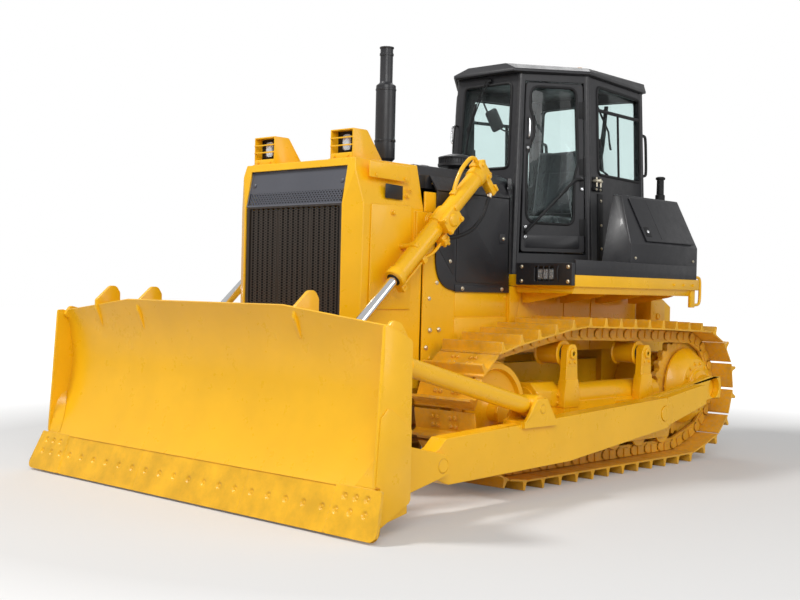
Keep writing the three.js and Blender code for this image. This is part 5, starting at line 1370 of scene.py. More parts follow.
def radial_frame(outer, inner, count=72):
    """Two outlines with as many points each, paired along rays from the inner one's middle, so a
    band of quads runs between them. The outer one's corners are kept."""
    middle = inner.mean(0)

    def hit(outline, angles):
        a = outline - middle
        b = np.roll(a, -1, 0)
        d = np.stack([np.cos(angles), np.sin(angles)], 1)[:, None]
        edge = (b - a)[None]
        cross = d[..., 0] * edge[..., 1] - d[..., 1] * edge[..., 0]
        safe = np.where(np.abs(cross) < 1e-12, 1e-12, cross)
        t = (a[None, :, 0] * edge[..., 1] - a[None, :, 1] * edge[..., 0]) / safe
        u = (a[None, :, 0] * d[..., 1] - a[None, :, 1] * d[..., 0]) / safe
        good = (t > 0) & (u >= -1e-6) & (u <= 1 + 1e-6)
        far = np.where(good, t, -1).max(1)
        return middle + d[:, 0] * far[:, None]

    corner = [np.arctan2(*(line - middle).T[::-1]) for line in (outer, inner)]
    angles = np.unique(np.round(np.concatenate([np.linspace(-np.pi, np.pi, count, endpoint=False),
                                                *corner]), 4))
    return hit(outer, angles), hit(inner, angles)


def opening(s0, s1, z0, z1, radius=0.05, steps=5):
    """A rectangle of (s, z) with rounded corners."""
    return rounded([(s0, z0), (s1, z0), (s1, z1), (s0, z1)], radius, steps)


FRONT = Wall(("front", -1), ("front", 1))
REAR = Wall(("rear", 1), ("rear", -1))
DOORWAY = Wall(("front", 1), ("hinge", 1))
FLANK = Wall(("hinge", 1), ("rear", 1))


def wall_frame(wall, pane, radius=0.05, low=CAB_LOW, high=CAB_TOP, ends=(0.0, None), thick=WALL):
    """A wall's sheet from corner to corner with one rounded opening."""
    end = wall.span if ends[1] is None else ends[1]
    outer = np.array([(ends[0], low), (end, low), (end, high), (ends[0], high)])
    hole = opening(*pane, radius)
    outer, inner = radial_frame(wound(outer), wound(hole))
    return wall.sheet(outer, -thick, 0.0, 0.004, holes=inner), hole


def pane_with_seal(wall, pane, radius=0.05, glass_out=-PANE_DEEP):
    """A glass sheet in its opening and the rubber round it."""
    hole = opening(*pane, radius)
    glass = wall.sheet(inset(wound(hole), -0.002), glass_out - 0.006, glass_out, 0.001)
    seal = wall.ring(inset(wound(hole), -0.004), 0.013, -0.001)
    return glass, seal


def corner_post(name, thick=0.034):
    """A round-fronted post over the joint between two walls."""
    z = np.linspace(CAB_LOW, CAB_TOP, 2)
    share = (z - CAB_BASE_Z) / (CAB_HEAD_Z - CAB_BASE_Z)
    foot, head = np.array(CAB_BASE[name]), np.array(CAB_HEAD[name])
    point = foot + (head - foot) * share[:, None]
    middle = np.array([0.0, -0.8])
    toward = middle - point
    toward /= np.linalg.norm(toward, axis=1, keepdims=True)
    line = np.concatenate([point + toward * (thick - 0.002), z[:, None]], 1)
    return tube(line, thick, 16)


FRONT_PANE = (FRONT.span / 2 - 0.275, FRONT.span / 2 + 0.275, 2.49, 3.205)
REAR_PANE = (REAR.span / 2 - 0.545, REAR.span / 2 + 0.545, 2.47, 3.21)
SIDE_PANE = (0.165, 1.0, 2.47, 3.215)


def door_pane_outline():
    """The door's glass: its front edge bends in round the handle and runs out again below it; its
    rear edge bends in a little under mid height; all corners are rounded."""
    corners = [(0.112, 2.028), (0.545, 2.022), (0.556, 2.42), (0.59, 2.54), (0.576, 3.168), (0.118, 3.17),
               (0.122, 2.99), (0.164, 2.88), (0.164, 2.76), (0.102, 2.6)]
    return rounded(corners, [0.1, 0.07, 0.08, 0.08, 0.07, 0.08, 0.08, 0.08, 0.08, 0.1], 5)


def build_shell():
    """The four kinds of wall, posts, sill and the ring under the roof."""
    parts, seals = [], []
    for wall, pane in ((FRONT, FRONT_PANE), (REAR, REAR_PANE)):
        sheet, _ = wall_frame(wall, pane)
        parts.append(sheet)
        glass, seal = pane_with_seal(wall, pane)
        seals.append(seal)
        glass.emit("windshield_pane" if wall is FRONT else "rear_pane", "glass",
                   replaces=("windshield" if wall is FRONT else "rear_window",))
    side, _ = wall_frame(FLANK, SIDE_PANE)
    glass, seal = pane_with_seal(FLANK, SIDE_PANE)
    door_hole = np.array([(DOOR["from"], DOOR["low"]), (DOOR["to"], DOOR["low"]),
                          (DOOR["to"], DOOR["high"]), (DOOR["from"], DOOR["high"])])
    outer = np.array([(0, CAB_LOW), (DOORWAY.span, CAB_LOW), (DOORWAY.span, CAB_TOP), (0, CAB_TOP)])
    outer, inner = radial_frame(wound(outer), wound(inset(wound(door_hole), -DOOR["gap"])))
    doorway = DOORWAY.sheet(outer, -WALL, 0.0, 0.003, holes=inner)
    for part in (side, doorway, corner_post("front"), corner_post("hinge"), corner_post("rear")):
        parts.append(both(part))
    seals.append(both(seal))
    for name, s in SIDES:
        turn = glass if s > 0 else glass.mirrored()
        turn.emit(f"{name}_side_pane", "glass", replaces=(f"{name}_side_window",))
    bar = FLANK.strip([(0.165, 3.02), (1.0, 3.036)], 0.014, -0.016, 0.002)
    slide = FLANK.strip([(0.578, 2.47), (0.578, 3.03)], 0.012, -0.016, -0.002)
    grip = FLANK.sheet(opening(0.188, 0.212, 2.7, 2.775, 0.006, 2), -0.016, 0.008, 0.002)
    seals.append(both(bar + slide + grip))
    floor = [(-0.34, -1.57), (0.34, -1.57), (0.7, -1.02), (0.58, -0.01), (-0.58, -0.01), (-0.7, -1.02)]
    parts.append(slab("z", np.array(floor), CAB_LOW, CAB_LOW + 0.03, 0.003))
    total(parts).emit("cab_shell", "charcoal", replaces=("cab_frame",))
    total(seals).emit("cab_seals", "rubber")


ROOF_RIM = np.array([(0.33, -1.604), (0.737, -1.076), (0.604, 0.026)])
ROOF_CROWN = np.array([(0.208, -1.56), (0.622, -0.956), (0.588, 0.016)])


def whole_plan(half):
    """A plan's left half with its mirror image."""
    return wound(np.concatenate([half, half[::-1] * (-1, 1)]))


def build_roof():
    """Roof: a rim with a rounded edge, faces sloping in to a flat crown, the rubber under the rim
    and the small amber lamp."""
    low, high, crown = 3.29, 3.318, 3.376
    rim, top = whole_plan(ROOF_RIM), whole_plan(ROOF_CROWN)
    rings = [(inset(rim, 0.018), low), (inset(rim, 0.004), low + 0.001), (rim, low + 0.005),
             (rim, high - 0.005), (inset(rim, 0.003), high)]
    rings += [(rim + (top - rim) * 0.93, crown - 0.0055), (top, crown - 0.001), (inset(top, 0.01), crown)]
    rows = [np.column_stack([rounded(line, 0.014, 4), np.full(30, z)]) for line, z in rings]
    roof = surface(np.stack(rows), close_v=True, cap=True)
    roof.emit("roof_skin", "charcoal", replaces=("cab_roof",))
    beacon = [(0.04, 3.372), (0.04, 3.378), (0.034, 3.38), (0.033, 3.388), (0.026, 3.3935), (0.012, 3.395),
              (0, 3.395)]
    turned(beacon, (0.52, -0.93, 0), (0, 0, 1), 28).emit("beacon", "amber")
    gutter = rounded(inset(whole_plan(ROOF_RIM), 0.02), 0.03, 5)
    line = np.column_stack([gutter, np.full(len(gutter), 3.2885)])
    tube(np.concatenate([line, line[:1]]), 0.006, 8).emit("roof_seal", "rubber")


def door_leaf():
    """Left door: a leaf with a rolled rim, its skirt panel pressed, and the opening of its pane."""
    gap = DOOR["gap"]
    outer = rounded([(DOOR["from"] + gap, DOOR["low"] + gap), (DOOR["to"] - gap, DOOR["low"] + gap),
                     (DOOR["to"] - gap, DOOR["high"] - gap), (DOOR["from"] + gap, DOOR["high"] - gap)],
                    0.03, 4)
    hole = door_pane_outline()
    outer_line, inner_line = radial_frame(wound(outer), wound(hole), 96)
    leaf = DOORWAY.sheet(outer_line, -0.038, 0.006, 0.005, holes=inner_line)
    return leaf, hole


def door_fittings():
    """Hinges, the long bar with bolted feet, the pull handle with its lock, and a latch plate."""
    dark, metal = [], []
    for z in (2.0, 2.51, 2.99):
        dark.append(DOORWAY.sheet(opening(0.604, 0.65, z - 0.07, z + 0.07, 0.006, 2), 0.005, 0.011, 0.002))
        dark.append(DOORWAY.cord([(0.655, z - 0.08), (0.655, z + 0.08)], 0.009, 0.01, 14))
    out = 0.03
    foot, knee = DOORWAY.at(0.1, 1.945, out), DOORWAY.at(0.545, 2.385, out)
    line = smooth_path([foot, foot + (knee - foot) * 0.33, foot + (knee - foot) * 0.67, knee,
                        DOORWAY.at(0.6, 2.404, out), DOORWAY.at(0.64, 2.404, 0.016)], 8)
    dark.append(tube(line, 0.0125, 12))
    for s, z in ((0.104, 1.947), (0.628, 2.366)):
        dark.append(DOORWAY.sheet(opening(s - 0.019, s + 0.019, z - 0.06, z + 0.06, 0.016, 4), 0.004,
                                  0.011, 0.002))
        metal.append(DOORWAY.studs([(s, z - 0.042), (s, z + 0.042)], 0.011, 0.01))
    dark.append(turned([(0.016, 0), (0.014, 0.008), (0.013, 0.024)], DOORWAY.at(0.104, 1.947, 0.01),
                       DOORWAY.normal, 14))
    for z in (2.742, 2.9):
        dark.append(DOORWAY.sheet(opening(0.086, 0.12, z - 0.016, z + 0.016, 0.008, 3), 0.004, 0.012,
                                  0.002))
    pull = smooth_path([DOORWAY.at(0.103, z, h) for z, h in (
        (2.742, 0.008), (2.746, 0.026), (2.775, 0.036), (2.866, 0.036), (2.896, 0.026), (2.9, 0.008))], 6)
    metal.append(tube(pull, 0.009, 12))
    metal.append(turned([(0.014, 0), (0.014, 0.008), (0.011, 0.011), (0, 0.011)],
                        DOORWAY.at(0.103, 2.655, 0.005), DOORWAY.normal, 20))
    dark.append(DOORWAY.sheet(opening(0.08, 0.126, 2.62, 2.69, 0.01, 3), 0.004, 0.008, 0.002))
    return total(dark), total(metal)


def door_catch():
    """The catch that holds the open door: a plate, two bolted arms, a stop and its spring."""
    dark = [FLANK.sheet(opening(0.04, 0.19, 2.318, 2.35, 0.008, 3), 0.0, 0.03, 0.003),
            FLANK.sheet(opening(0.05, 0.17, 2.345, 2.44, 0.01, 3), 0.0, 0.006, 0.002)]
    steel_parts = [FLANK.cord([(0.035, 2.402), (0.165, 2.402)], 0.01, 0.034, 14),
                   FLANK.cord([(0.066, 2.352), (0.066, 2.432)], 0.008, 0.034, 12),
                   FLANK.cord([(0.138, 2.352), (0.138, 2.425)], 0.008, 0.034, 12)]
    coil = np.linspace(0, 1, 61)
    wire = np.column_stack([0.082 + 0.042 * coil, 2.402 + 0.014 * np.cos(coil * 12 * np.pi),
                            0.034 + 0.014 * np.sin(coil * 12 * np.pi)])
    steel_parts.append(tube(FLANK.at(*wire.T), 0.0028, 6))
    for s in (0.066, 0.138):
        steel_parts.append(turned([(0.016, 0), (0.016, 0.034), (0.012, 0.042), (0, 0.042)],
                                  FLANK.at(s, 2.402, 0.004), FLANK.normal, 16))
        steel_parts.append(FLANK.studs([(s, 2.33)], 0.03, 0.009))
    return total(dark), total(steel_parts)


def wiper(shift):
    """A wiper hung from above the windshield: pivot, two arms and a blade with its rubber."""
    pivot = FRONT.at(0.39 + shift, 3.245, 0.004)
    parts = [turned([(0.02, 0), (0.02, 0.018), (0.012, 0.026), (0, 0.026)], pivot, FRONT.normal, 18)]
    parts.append(FRONT.cord([(0.39 + shift, 3.245), (0.29 + shift, 3.07), (0.17 + shift, 2.8)], 0.006,
                            0.022))
    parts.append(FRONT.cord([(0.35 + shift, 3.245), (0.262 + shift, 3.07), (0.16 + shift, 2.82)], 0.004,
                            0.018))
    parts.append(FRONT.strip([(0.235 + shift, 3.06), (0.165 + shift, 2.8), (0.14 + shift, 2.52)], 0.007,
                             -0.006, 0.014, 0.002))
    return parts


def mirror_inside():
    """The interior mirror on its arm, its pane a rounded plate behind the windshield."""
    middle = np.array([-0.03, -1.4, 2.93])
    face = rounded([(-0.055, -0.095), (0.055, -0.095), (0.055, 0.095), (-0.055, 0.095)], 0.025, 5)
    shell = plate(face, -0.012, 0.01, 0.005).moved(frame_of(middle, (0.25, -1.0, -0.1), (1, 0, 0.4)))
    arm = tube(smooth_path([(-0.16, -1.44, 3.27), (-0.15, -1.42, 3.12), (-0.09, -1.4, 2.98),
                            tuple(middle)], 6), 0.008)
    wand = tube(smooth_path([(-0.02, -1.395, 2.9), (0.05, -1.38, 2.84), (0.13, -1.36, 2.82)], 6), 0.007)
    return shell + arm + wand


def cab_trim():
    """Wipers, grab rails, pillar strip, door catch, mirror and the vent pipe behind the box."""
    dark, metal = wiper(0.0), []
    strip_part = FLANK.strip([(0.188, 1.72), (0.188, 2.3)], 0.045, -0.002, 0.008)
    dark.append(both(strip_part))
    metal.append(both(FLANK.studs([(0.188, 1.83), (0.188, 2.03), (0.188, 2.24)], 0.008, 0.011)))
    rail = [(2.91, 0.0), (2.908, 0.075), (2.88, 0.105), (2.72, 0.11), (2.57, 0.105), (2.54, 0.075),
            (2.538, 0.0)]
    line = smooth_path([REAR.at(0.035, z, out) for z, out in rail], 6)
    dark.append(both(tube(line, 0.013, 12)))
    catch_dark, catch_steel = door_catch()
    dark.append(both(catch_dark))
    metal.append(both(catch_steel))
    front_rail = smooth_path([FRONT.at(0.03, z, out) for z, out in
                              ((2.62, 0.0), (2.62, 0.03), (2.66, 0.045), (2.84, 0.045), (2.88, 0.03),
                               (2.88, 0.0))], 5)
    dark.append(tube(front_rail, 0.008, 10))
    rear_bar = [REAR.at(REAR.span * 0.3, z, 0.012) for z in (2.5, 3.19)]
    dark.append(tube(rear_bar, 0.012, 10))
    for s in (0.36, 0.66):
        arm = [(REAR.span * s, 3.215), (REAR.span * s - 0.1, 2.96), (REAR.span * s - 0.12, 2.8)]
        dark.append(REAR.cord(arm, 0.006, 0.022))
    total(dark).emit("cab_trim", "rubber")
    mirror_inside().emit("cab_mirror", "plastic")
    total(metal).emit("cab_bolts", "zinc")
    vent = [(0.044, 0.0), (0.044, 0.15), (0.034, 0.158), (0.032, 0.29), (0.042, 0.294), (0.044, 0.312),
            (0.03, 0.32), (0, 0.322)]
    turned(vent, (0.7, 0.15, 2.212), (0, 0, 1), 24).emit("vent_pipe", "rubber")


def build_doors():
    """Each door with its pane, seal and fittings; all ride on the door."""
    leaf, hole = door_leaf()
    glass = DOORWAY.sheet(inset(wound(hole), -0.002), -0.026, -0.02, 0.001)
    seal = DOORWAY.ring(inset(wound(hole), -0.004), 0.012, 0.004)
    edge = rounded([(DOOR["from"] + 0.006, DOOR["low"] + 0.006), (DOOR["to"] - 0.006, DOOR["low"] + 0.006),
                    (DOOR["to"] - 0.006, DOOR["high"] - 0.006),
                    (DOOR["from"] + 0.006, DOOR["high"] - 0.006)], 0.03, 4)
    weather = DOORWAY.ring(inset(wound(edge), 0.01), 0.006, -0.04)
    press = DOORWAY.sheet(opening(0.1, 0.6, 1.815, 1.925, 0.02, 3), 0.005, 0.009, 0.002)
    dark, metal = door_fittings()
    for name, s in SIDES:
        turn = (lambda part: part) if s > 0 else (lambda part: part.mirrored())
        body = f"{name}_door"
        turn(leaf + press).emit(f"{name}_door_leaf", "charcoal", body, replaces=(body,))
        turn(glass).emit(f"{name}_door_pane", "glass", body, replaces=(f"{name}_door_glass",))
        turn(seal + weather).emit(f"{name}_door_seal", "rubber", body)
        turn(dark).emit(f"{name}_door_bars", "rubber", body)
        turn(metal).emit(f"{name}_door_metal", "chrome", body)


def build_dashboard():
    """Console with a gauge panel, three gauges in raised rings and a row of switches."""
    soft_edged("dashboard", 0.02, "plastic")
    parts = []
    for x in (-0.13, 0.0, 0.13):
        parts.append(turned([(0.046, 0), (0.046, 0.008), (0.04, 0.012), (0.036, 0.004), (0, 0.004)],
                            (x, -1.334, 2.3), (0, 0.94, 0.34), 24))
    for x in np.linspace(-0.16, 0.16, 6):
        parts.append(block((x - 0.014, -1.354, 2.165), (x + 0.014, -1.338, 2.205), 0.003))
    total(parts).emit("dashboard_gauges", "rubber")


VOXEL, COARSE_VOXEL = 0.006, 0.012
PAD_PRESSURE = 4.0
PAD_FRAMES = 20
PAD_CORNER, PAD_BEVEL = 0.03, 0.022
SWELL_LIMIT = 0.012
SEAM_DEPTH, SEAM_WIDTH = 0.01, 0.007
CHANNEL_X = 0.08


def stuffed(name, outline, half, node, seams):
    """A padded piece in place of a CAD pad. Its smaller form is remeshed at 6 mm and swells under
    pressure with no gravity; no point moves more than the limit. Seams then sink by a narrow bell:
    depth times exp(-(distance / width) squared)."""
    form = slab("x", rounded(outline, PAD_CORNER, 4), -half, half, PAD_BEVEL, 3)
    piece = form.emit(name, "cloth", replaces=(node,), smooth=180.0)
    remesh = piece.modifiers.new("voxels", "REMESH")
    remesh.mode = "VOXEL"
    remesh.voxel_size = VOXEL
    apply_all(piece)
    rest = positions(piece)
    cloth = piece.modifiers.new("swell", "CLOTH")
    cloth.settings.use_pressure = True
    cloth.settings.uniform_pressure_force = PAD_PRESSURE
    cloth.settings.effector_weights.gravity = 0.0
    for step in range(1, PAD_FRAMES + 1):
        bpy.context.scene.frame_set(step)
    apply_all(piece)
    moved = positions(piece) - rest
    far = np.linalg.norm(moved, axis=1, keepdims=True)
    moved *= np.minimum(1.0, SWELL_LIMIT / np.maximum(far, 1e-9))
    points = rest + moved
    centre = points.mean(0)
    away = points - centre
    away /= np.linalg.norm(away, axis=1, keepdims=True)
    for axis, at in seams:
        depth = SEAM_DEPTH * np.exp(-((points[:, axis] - at) / SEAM_WIDTH) ** 2)
        points = points - away * depth[:, None]
    piece.data.vertices.foreach_set("co", points.ravel())
    smooth = piece.modifiers.new("smooth", "SUBSURF")
    smooth.levels = smooth.render_levels = 1
    return piece


def positions(piece):
    """The piece's points as rows of an array."""
    points = np.zeros(len(piece.data.vertices) * 3)
    piece.data.vertices.foreach_get("co", points)
    return points.reshape(-1, 3)


def apply_all(piece):
    """The piece's mesh as its modifiers leave it, with the modifiers gone."""
    graph = bpy.context.evaluated_depsgraph_get()
    mesh = bpy.data.meshes.new_from_object(piece.evaluated_get(graph))
    piece.modifiers.clear()
    old, piece.data = piece.data, mesh
    bpy.data.meshes.remove(old)
    mesh.shade_smooth()


def build_seat():
    """Seat cushion and back as stuffed pads with sewn channels."""
    across = [(0, -CHANNEL_X), (0, CHANNEL_X)]
    cushion = [(-0.885, 2.024), (-0.495, 2.024), (-0.495, 2.126), (-0.885, 2.126)]
    stuffed("seat_cushion_pad", cushion, 0.236, "seat_cushion", across + [(1, -0.78 + SHIFT)])
    back = [(-0.556, 2.166), (-0.49, 2.166), (-0.405, 2.748), (-0.47, 2.764)]
    stuffed("seat_back_pad", back, 0.226, "seat_back", across + [(2, 2.56)])


def build_cab(sizes):
    """Cab shell, roof, doors, panes and what is inside."""
    build_shell()
    build_roof()
    build_doors()
    cab_trim()
    build_dashboard()
    build_seat()


# ---------------------------------------------------------------- arms and cylinders
TRUNNION = np.array([LIFT_X, -3.005, 1.95])
EYE = np.array([LIFT_X, -4.205, 0.87])
LIFT_LENGTH = float(np.linalg.norm(EYE - TRUNNION))
LIFT_DOWN = (EYE - TRUNNION) / LIFT_LENGTH
LIFT_REAR = np.array([0.0, -LIFT_DOWN[2], LIFT_DOWN[1]])
BARREL = 0.066


def on_lift(along, rear=0.0, out=0.0):
    """A point near the left lift cylinder: along it from the trunnion, to its rear lower side and
    outboard of its axis."""
    return TRUNNION + LIFT_DOWN * along + LIFT_REAR * rear + np.array([out, 0, 0])


def lift_block(along, rear, out, bevel=0.006):
    """A block whose three ranges run along, to the rear of and outboard of the lift cylinder."""
    (a0, a1), (r0, r1), (o0, o1) = along, rear, out
    part = block((o0, a0, r0), (o1, a1, r1), bevel, 2)
    turn = np.eye(4)
    turn[:3, :3] = np.stack([(1, 0, 0), LIFT_DOWN, LIFT_REAR], 1)
    turn[:3, 3] = TRUNNION
    return part.moved(turn)


def lift_barrel():
    """Turned barrel with its cap, trunnion ring and gland, each run out with a small radius."""
    r = BARREL
    outer = [(0.0, -0.554), (0.04, -0.554), (0.052, -0.549), (r + 0.008, -0.545), (r + 0.01, -0.541),
             (r + 0.01, -0.49), (r + 0.006, -0.484), (r, -0.48), (r, -0.078), (r + 0.004, -0.073),
             (r + 0.014, -0.07), (r + 0.016, -0.064), (r + 0.016, 0.064), (r + 0.014, 0.07),
             (r + 0.004, 0.073),
             (r, 0.078), (r, 0.596), (r + 0.009, 0.6), (r + 0.012, 0.606), (r + 0.012, 0.652),
             (r + 0.006, 0.66),
             (0.052, 0.662), (0.05, 0.656), (0.0395, 0.655), (0.0385, 0.64)]
    inner = [(0.0385, -0.5), (0.0, -0.5)]
    return turned(outer + inner, TRUNNION, LIFT_DOWN, 40)


def lift_fittings():
    """Bearing cap with its boss, head block, pipes with clamps, swivel and clip bracket."""
    parts = [lift_block((-0.088, 0.088), (-0.06, 0.06), (0.05, 0.104), 0.012)]
    cap = rounded([(-0.094, -0.07), (0.094, -0.07), (0.094, 0.07), (-0.094, 0.07)], 0.018, 4)
    face = plate(cap, 0.1, 0.118, 0.005)
    turn = np.eye(4)
    turn[:3, :3] = np.stack([LIFT_DOWN, LIFT_REAR, (1, 0, 0)], 1)
    turn[:3, 3] = TRUNNION
    parts.append(face.moved(turn))
    parts.append(turned([(0.052, 0.116), (0.05, 0.124), (0.04, 0.134), (0.036, 0.136), (0, 0.136)],
                        TRUNNION, (1, 0, 0), 28))
    parts.append(bolts([on_lift(a, r, 0.118) for a in (-0.074, 0.074) for r in (-0.05, 0.05)], (1, 0, 0),
                       0.017))
    parts.append(lift_block((-0.628, -0.548), (-0.085, 0.085), (-0.055, 0.055), 0.014))
    parts.append(lift_block((-0.612, -0.556), (0.07, 0.215), (-0.028, 0.04), 0.01))
    parts.append(lift_block((-0.624, -0.6), (0.15, 0.205), (-0.036, 0.052), 0.005))
    parts.append(bolts([on_lift(-0.628, r, o) for r in (-0.058, 0.058) for o in (-0.034, 0.034)],
                       -LIFT_DOWN, 0.014))
    parts.append(bolts([on_lift(-0.586, 0.055, 0.055), on_lift(-0.586, -0.055, 0.055)], (1, 0, 0), 0.013))
    loop = smooth_path([on_lift(*p) for p in ((-0.59, -0.08, 0.0), (-0.59, -0.115, 0.004),
                                              (-0.54, -0.15, 0.006),
                                             (-0.42, -0.148, 0.006), (-0.33, -0.12, 0.004),
                                              (-0.27, -0.088, 0.0),
                                             (-0.235, -0.06, 0.0))], 6)
    parts.append(tube(loop, 0.016, 12))
    parts.append(lift_block((-0.262, -0.212), (-0.082, -0.052), (-0.024, 0.024), 0.005))
    swivel = [lift_block((0.05, 0.118), (0.07, 0.15), (-0.038, 0.044), 0.01),
              lift_block((0.058, 0.08), (0.145, 0.172), (-0.03, 0.036), 0.005)]
    parts += swivel
    parts.append(bolts([on_lift(0.07, 0.152, 0.02), on_lift(0.105, 0.15, 0.02)], LIFT_REAR, 0.012))
    parts.append(bolts([on_lift(0.066, 0.11, 0.044), on_lift(0.104, 0.11, 0.044)], (1, 0, 0), 0.012))
    pipe = smooth_path([on_lift(*p) for p in ((0.11, 0.122, 0.0), (0.17, 0.126, 0.0), (0.24, 0.118, 0.0),
                                              (0.3, 0.098, 0.0), (0.36, 0.094, 0.0), (0.56, 0.094, 0.0),
                                              (0.628, 0.094, 0.0))], 6)
    parts.append(tube(pipe, 0.013, 12))
    parts.append(lift_block((0.318, 0.362), (0.058, 0.116), (-0.03, 0.03), 0.005))
    parts.append(lift_block((0.606, 0.656), (0.062, 0.124), (-0.032, 0.032), 0.006))
    parts.append(bolts([on_lift(0.34, 0.116, 0.0)], LIFT_REAR, 0.011))
    parts.append(bolts([on_lift(0.631, 0.124, 0.0), on_lift(0.631, 0.09, 0.032)], LIFT_REAR, 0.01))
    wedge = [(0.09, 0.03), (0.13, 0.052), (0.3, 0.052), (0.34, 0.03), (0.34, -0.01), (0.2, -0.01)]
    parts.append(plate(rounded(wedge, 0.008, 3), 0.036, 0.05, 0.003).moved(turned_on_lift(-0.9)))
    parts.append(rod(on_lift(0.352, -0.048, 0.052), on_lift(0.352, -0.048, -0.13), 0.02, 14, 0.005))
    parts.append(lift_block((0.33, 0.374), (-0.072, -0.03), (-0.03, 0.04), 0.006))
    return total(parts)


def turned_on_lift(angle):
    """Places a plate on the barrel: its x runs down the barrel and its normal is turned from
    outboard towards the barrel's front by an angle."""
    normal = np.array([1.0, 0, 0]) * math.cos(angle) + LIFT_REAR * math.sin(angle)
    turn = np.eye(4)
    turn[:3, :3] = np.stack([LIFT_DOWN, np.cross(normal, LIFT_DOWN), normal], 1)
    turn[:3, 3] = TRUNNION
    return turn


def lift_hose():
    """Black hose with steel ends, from the head block's rear end round to the swivel."""
    path = smooth_path([on_lift(*p) for p in ((-0.572, 0.19, 0.01), (-0.5, 0.215, 0.012),
                                              (-0.38, 0.262, 0.014),
                                              (-0.22, 0.262, 0.012), (-0.08, 0.21, 0.008),
                                              (0.02, 0.15, 0.004), (0.062, 0.12, 0.0))], 6)
    ends = total([rod(path[1], path[4], 0.02, 12), rod(path[-5], path[-2], 0.02, 12)])
    return tube(path, 0.0145, 12), ends


def lift_rod_part():
    """Chrome rod with a forged eye and its pin."""
    chrome = rod(on_lift(0.26), on_lift(LIFT_LENGTH - 0.045), 0.037, 32, 0.003)
    eye = turned([(0.035, -0.05), (0.05, -0.05), (0.056, -0.044), (0.056, 0.044), (0.05, 0.05),
                  (0.035, 0.05)],
                 EYE, (1, 0, 0), 32)
    pin = turned([(0.034, -0.06), (0.034, 0.06), (0.028, 0.063), (0, 0.063)], EYE, (1, 0, 0), 24)
    neck = turned([(0.05, 0.04), (0.048, 0.07), (0.041, 0.12), (0.037, 0.125)], EYE, -LIFT_DOWN, 24)
    return chrome, eye + pin + neck


def build_lift():
    """Both lift cylinders with what rides on them."""
    barrel, fittings = lift_barrel(), lift_fittings()
    hose, ends = lift_hose()
    chrome, eye = lift_rod_part()
    wiper = turned([(0.0375, 0.652), (0.05, 0.652), (0.05, 0.664), (0.0375, 0.666)], TRUNNION, LIFT_DOWN,
                   32)
    for name, s in SIDES:
        turn = (lambda part: part) if s > 0 else (lambda part: part.mirrored())
        body = f"{name}_lift_cylinder"
        turn(barrel + fittings).emit(f"{body}_skin", "yellow", body, replaces=(body,))
        turn(hose + wiper).emit(f"{body}_hose", "rubber", body)
        turn(ends).emit(f"{body}_hose_ends", "zinc", body)
        turn(chrome).emit(f"{name}_rod_chrome", "chrome", f"{name}_lift_rod",
                          replaces=(f"{name}_lift_rod",))
        turn(eye).emit(f"{name}_rod_eye", "yellow", f"{name}_lift_rod")


def arm_bosses():
    """Round ears with a pin end: over the brace's rear pin and at the arm's front pin."""
    pin_end = [(0.04, 0.0), (0.04, 0.008), (0.034, 0.012), (0.012, 0.012), (0.01, 0.004), (0.0, 0.004)]
    parts = [rod((1.352, -2.74, 0.64), (1.506, -2.74, 0.64), 0.082, 40, 0.008)]
    parts.append(turned(pin_end, (1.505, -2.74, 0.64), (1, 0, 0), 28))
    parts.append(rod((1.48, -3.83, 0.333), (1.508, -3.83, 0.333), 0.078, 40, 0.006))
    parts.append(turned(pin_end, (1.507, -3.83, 0.333), (1, 0, 0), 28))
    return total(parts)


def build_arms(sizes):
    """Push arms, braces, yokes and cylinders."""
    soft_edged("left_brace", 0.003, "yellow")
    soft_edged("tilt_cylinder", 0.003, "yellow")
    soft_edged("tilt_rod", 0.003, "chrome")
    for name, _ in SIDES:
        soft_edged(f"{name}_push_arm", sizes.edge, "yellow")
        soft_edged(f"{name}_rod_yoke", 0.004, "yellow")
    both(arm_bosses()).emit("arm_pin_bosses", "yellow", "blade_frame")
    build_lift()


# ---------------------------------------------------------------- fenders, side boxes, tank
FENDER = {"inner": 0.64, "outer": 1.28, "front": -2.058, "rear": -0.14, "low": 1.49, "top": 1.582}
CURB_TOP = 1.698
BOX = {"inner": 0.95, "outer": 1.25, "top_x": 1.04, "kink": 1.856, "top": 2.272, "front_low": -1.2,
       "front_top": -1.026, "rear": -0.125}
LID = {"front": -0.96, "rear": -0.18, "edge": 0.024, "thick": 0.012}


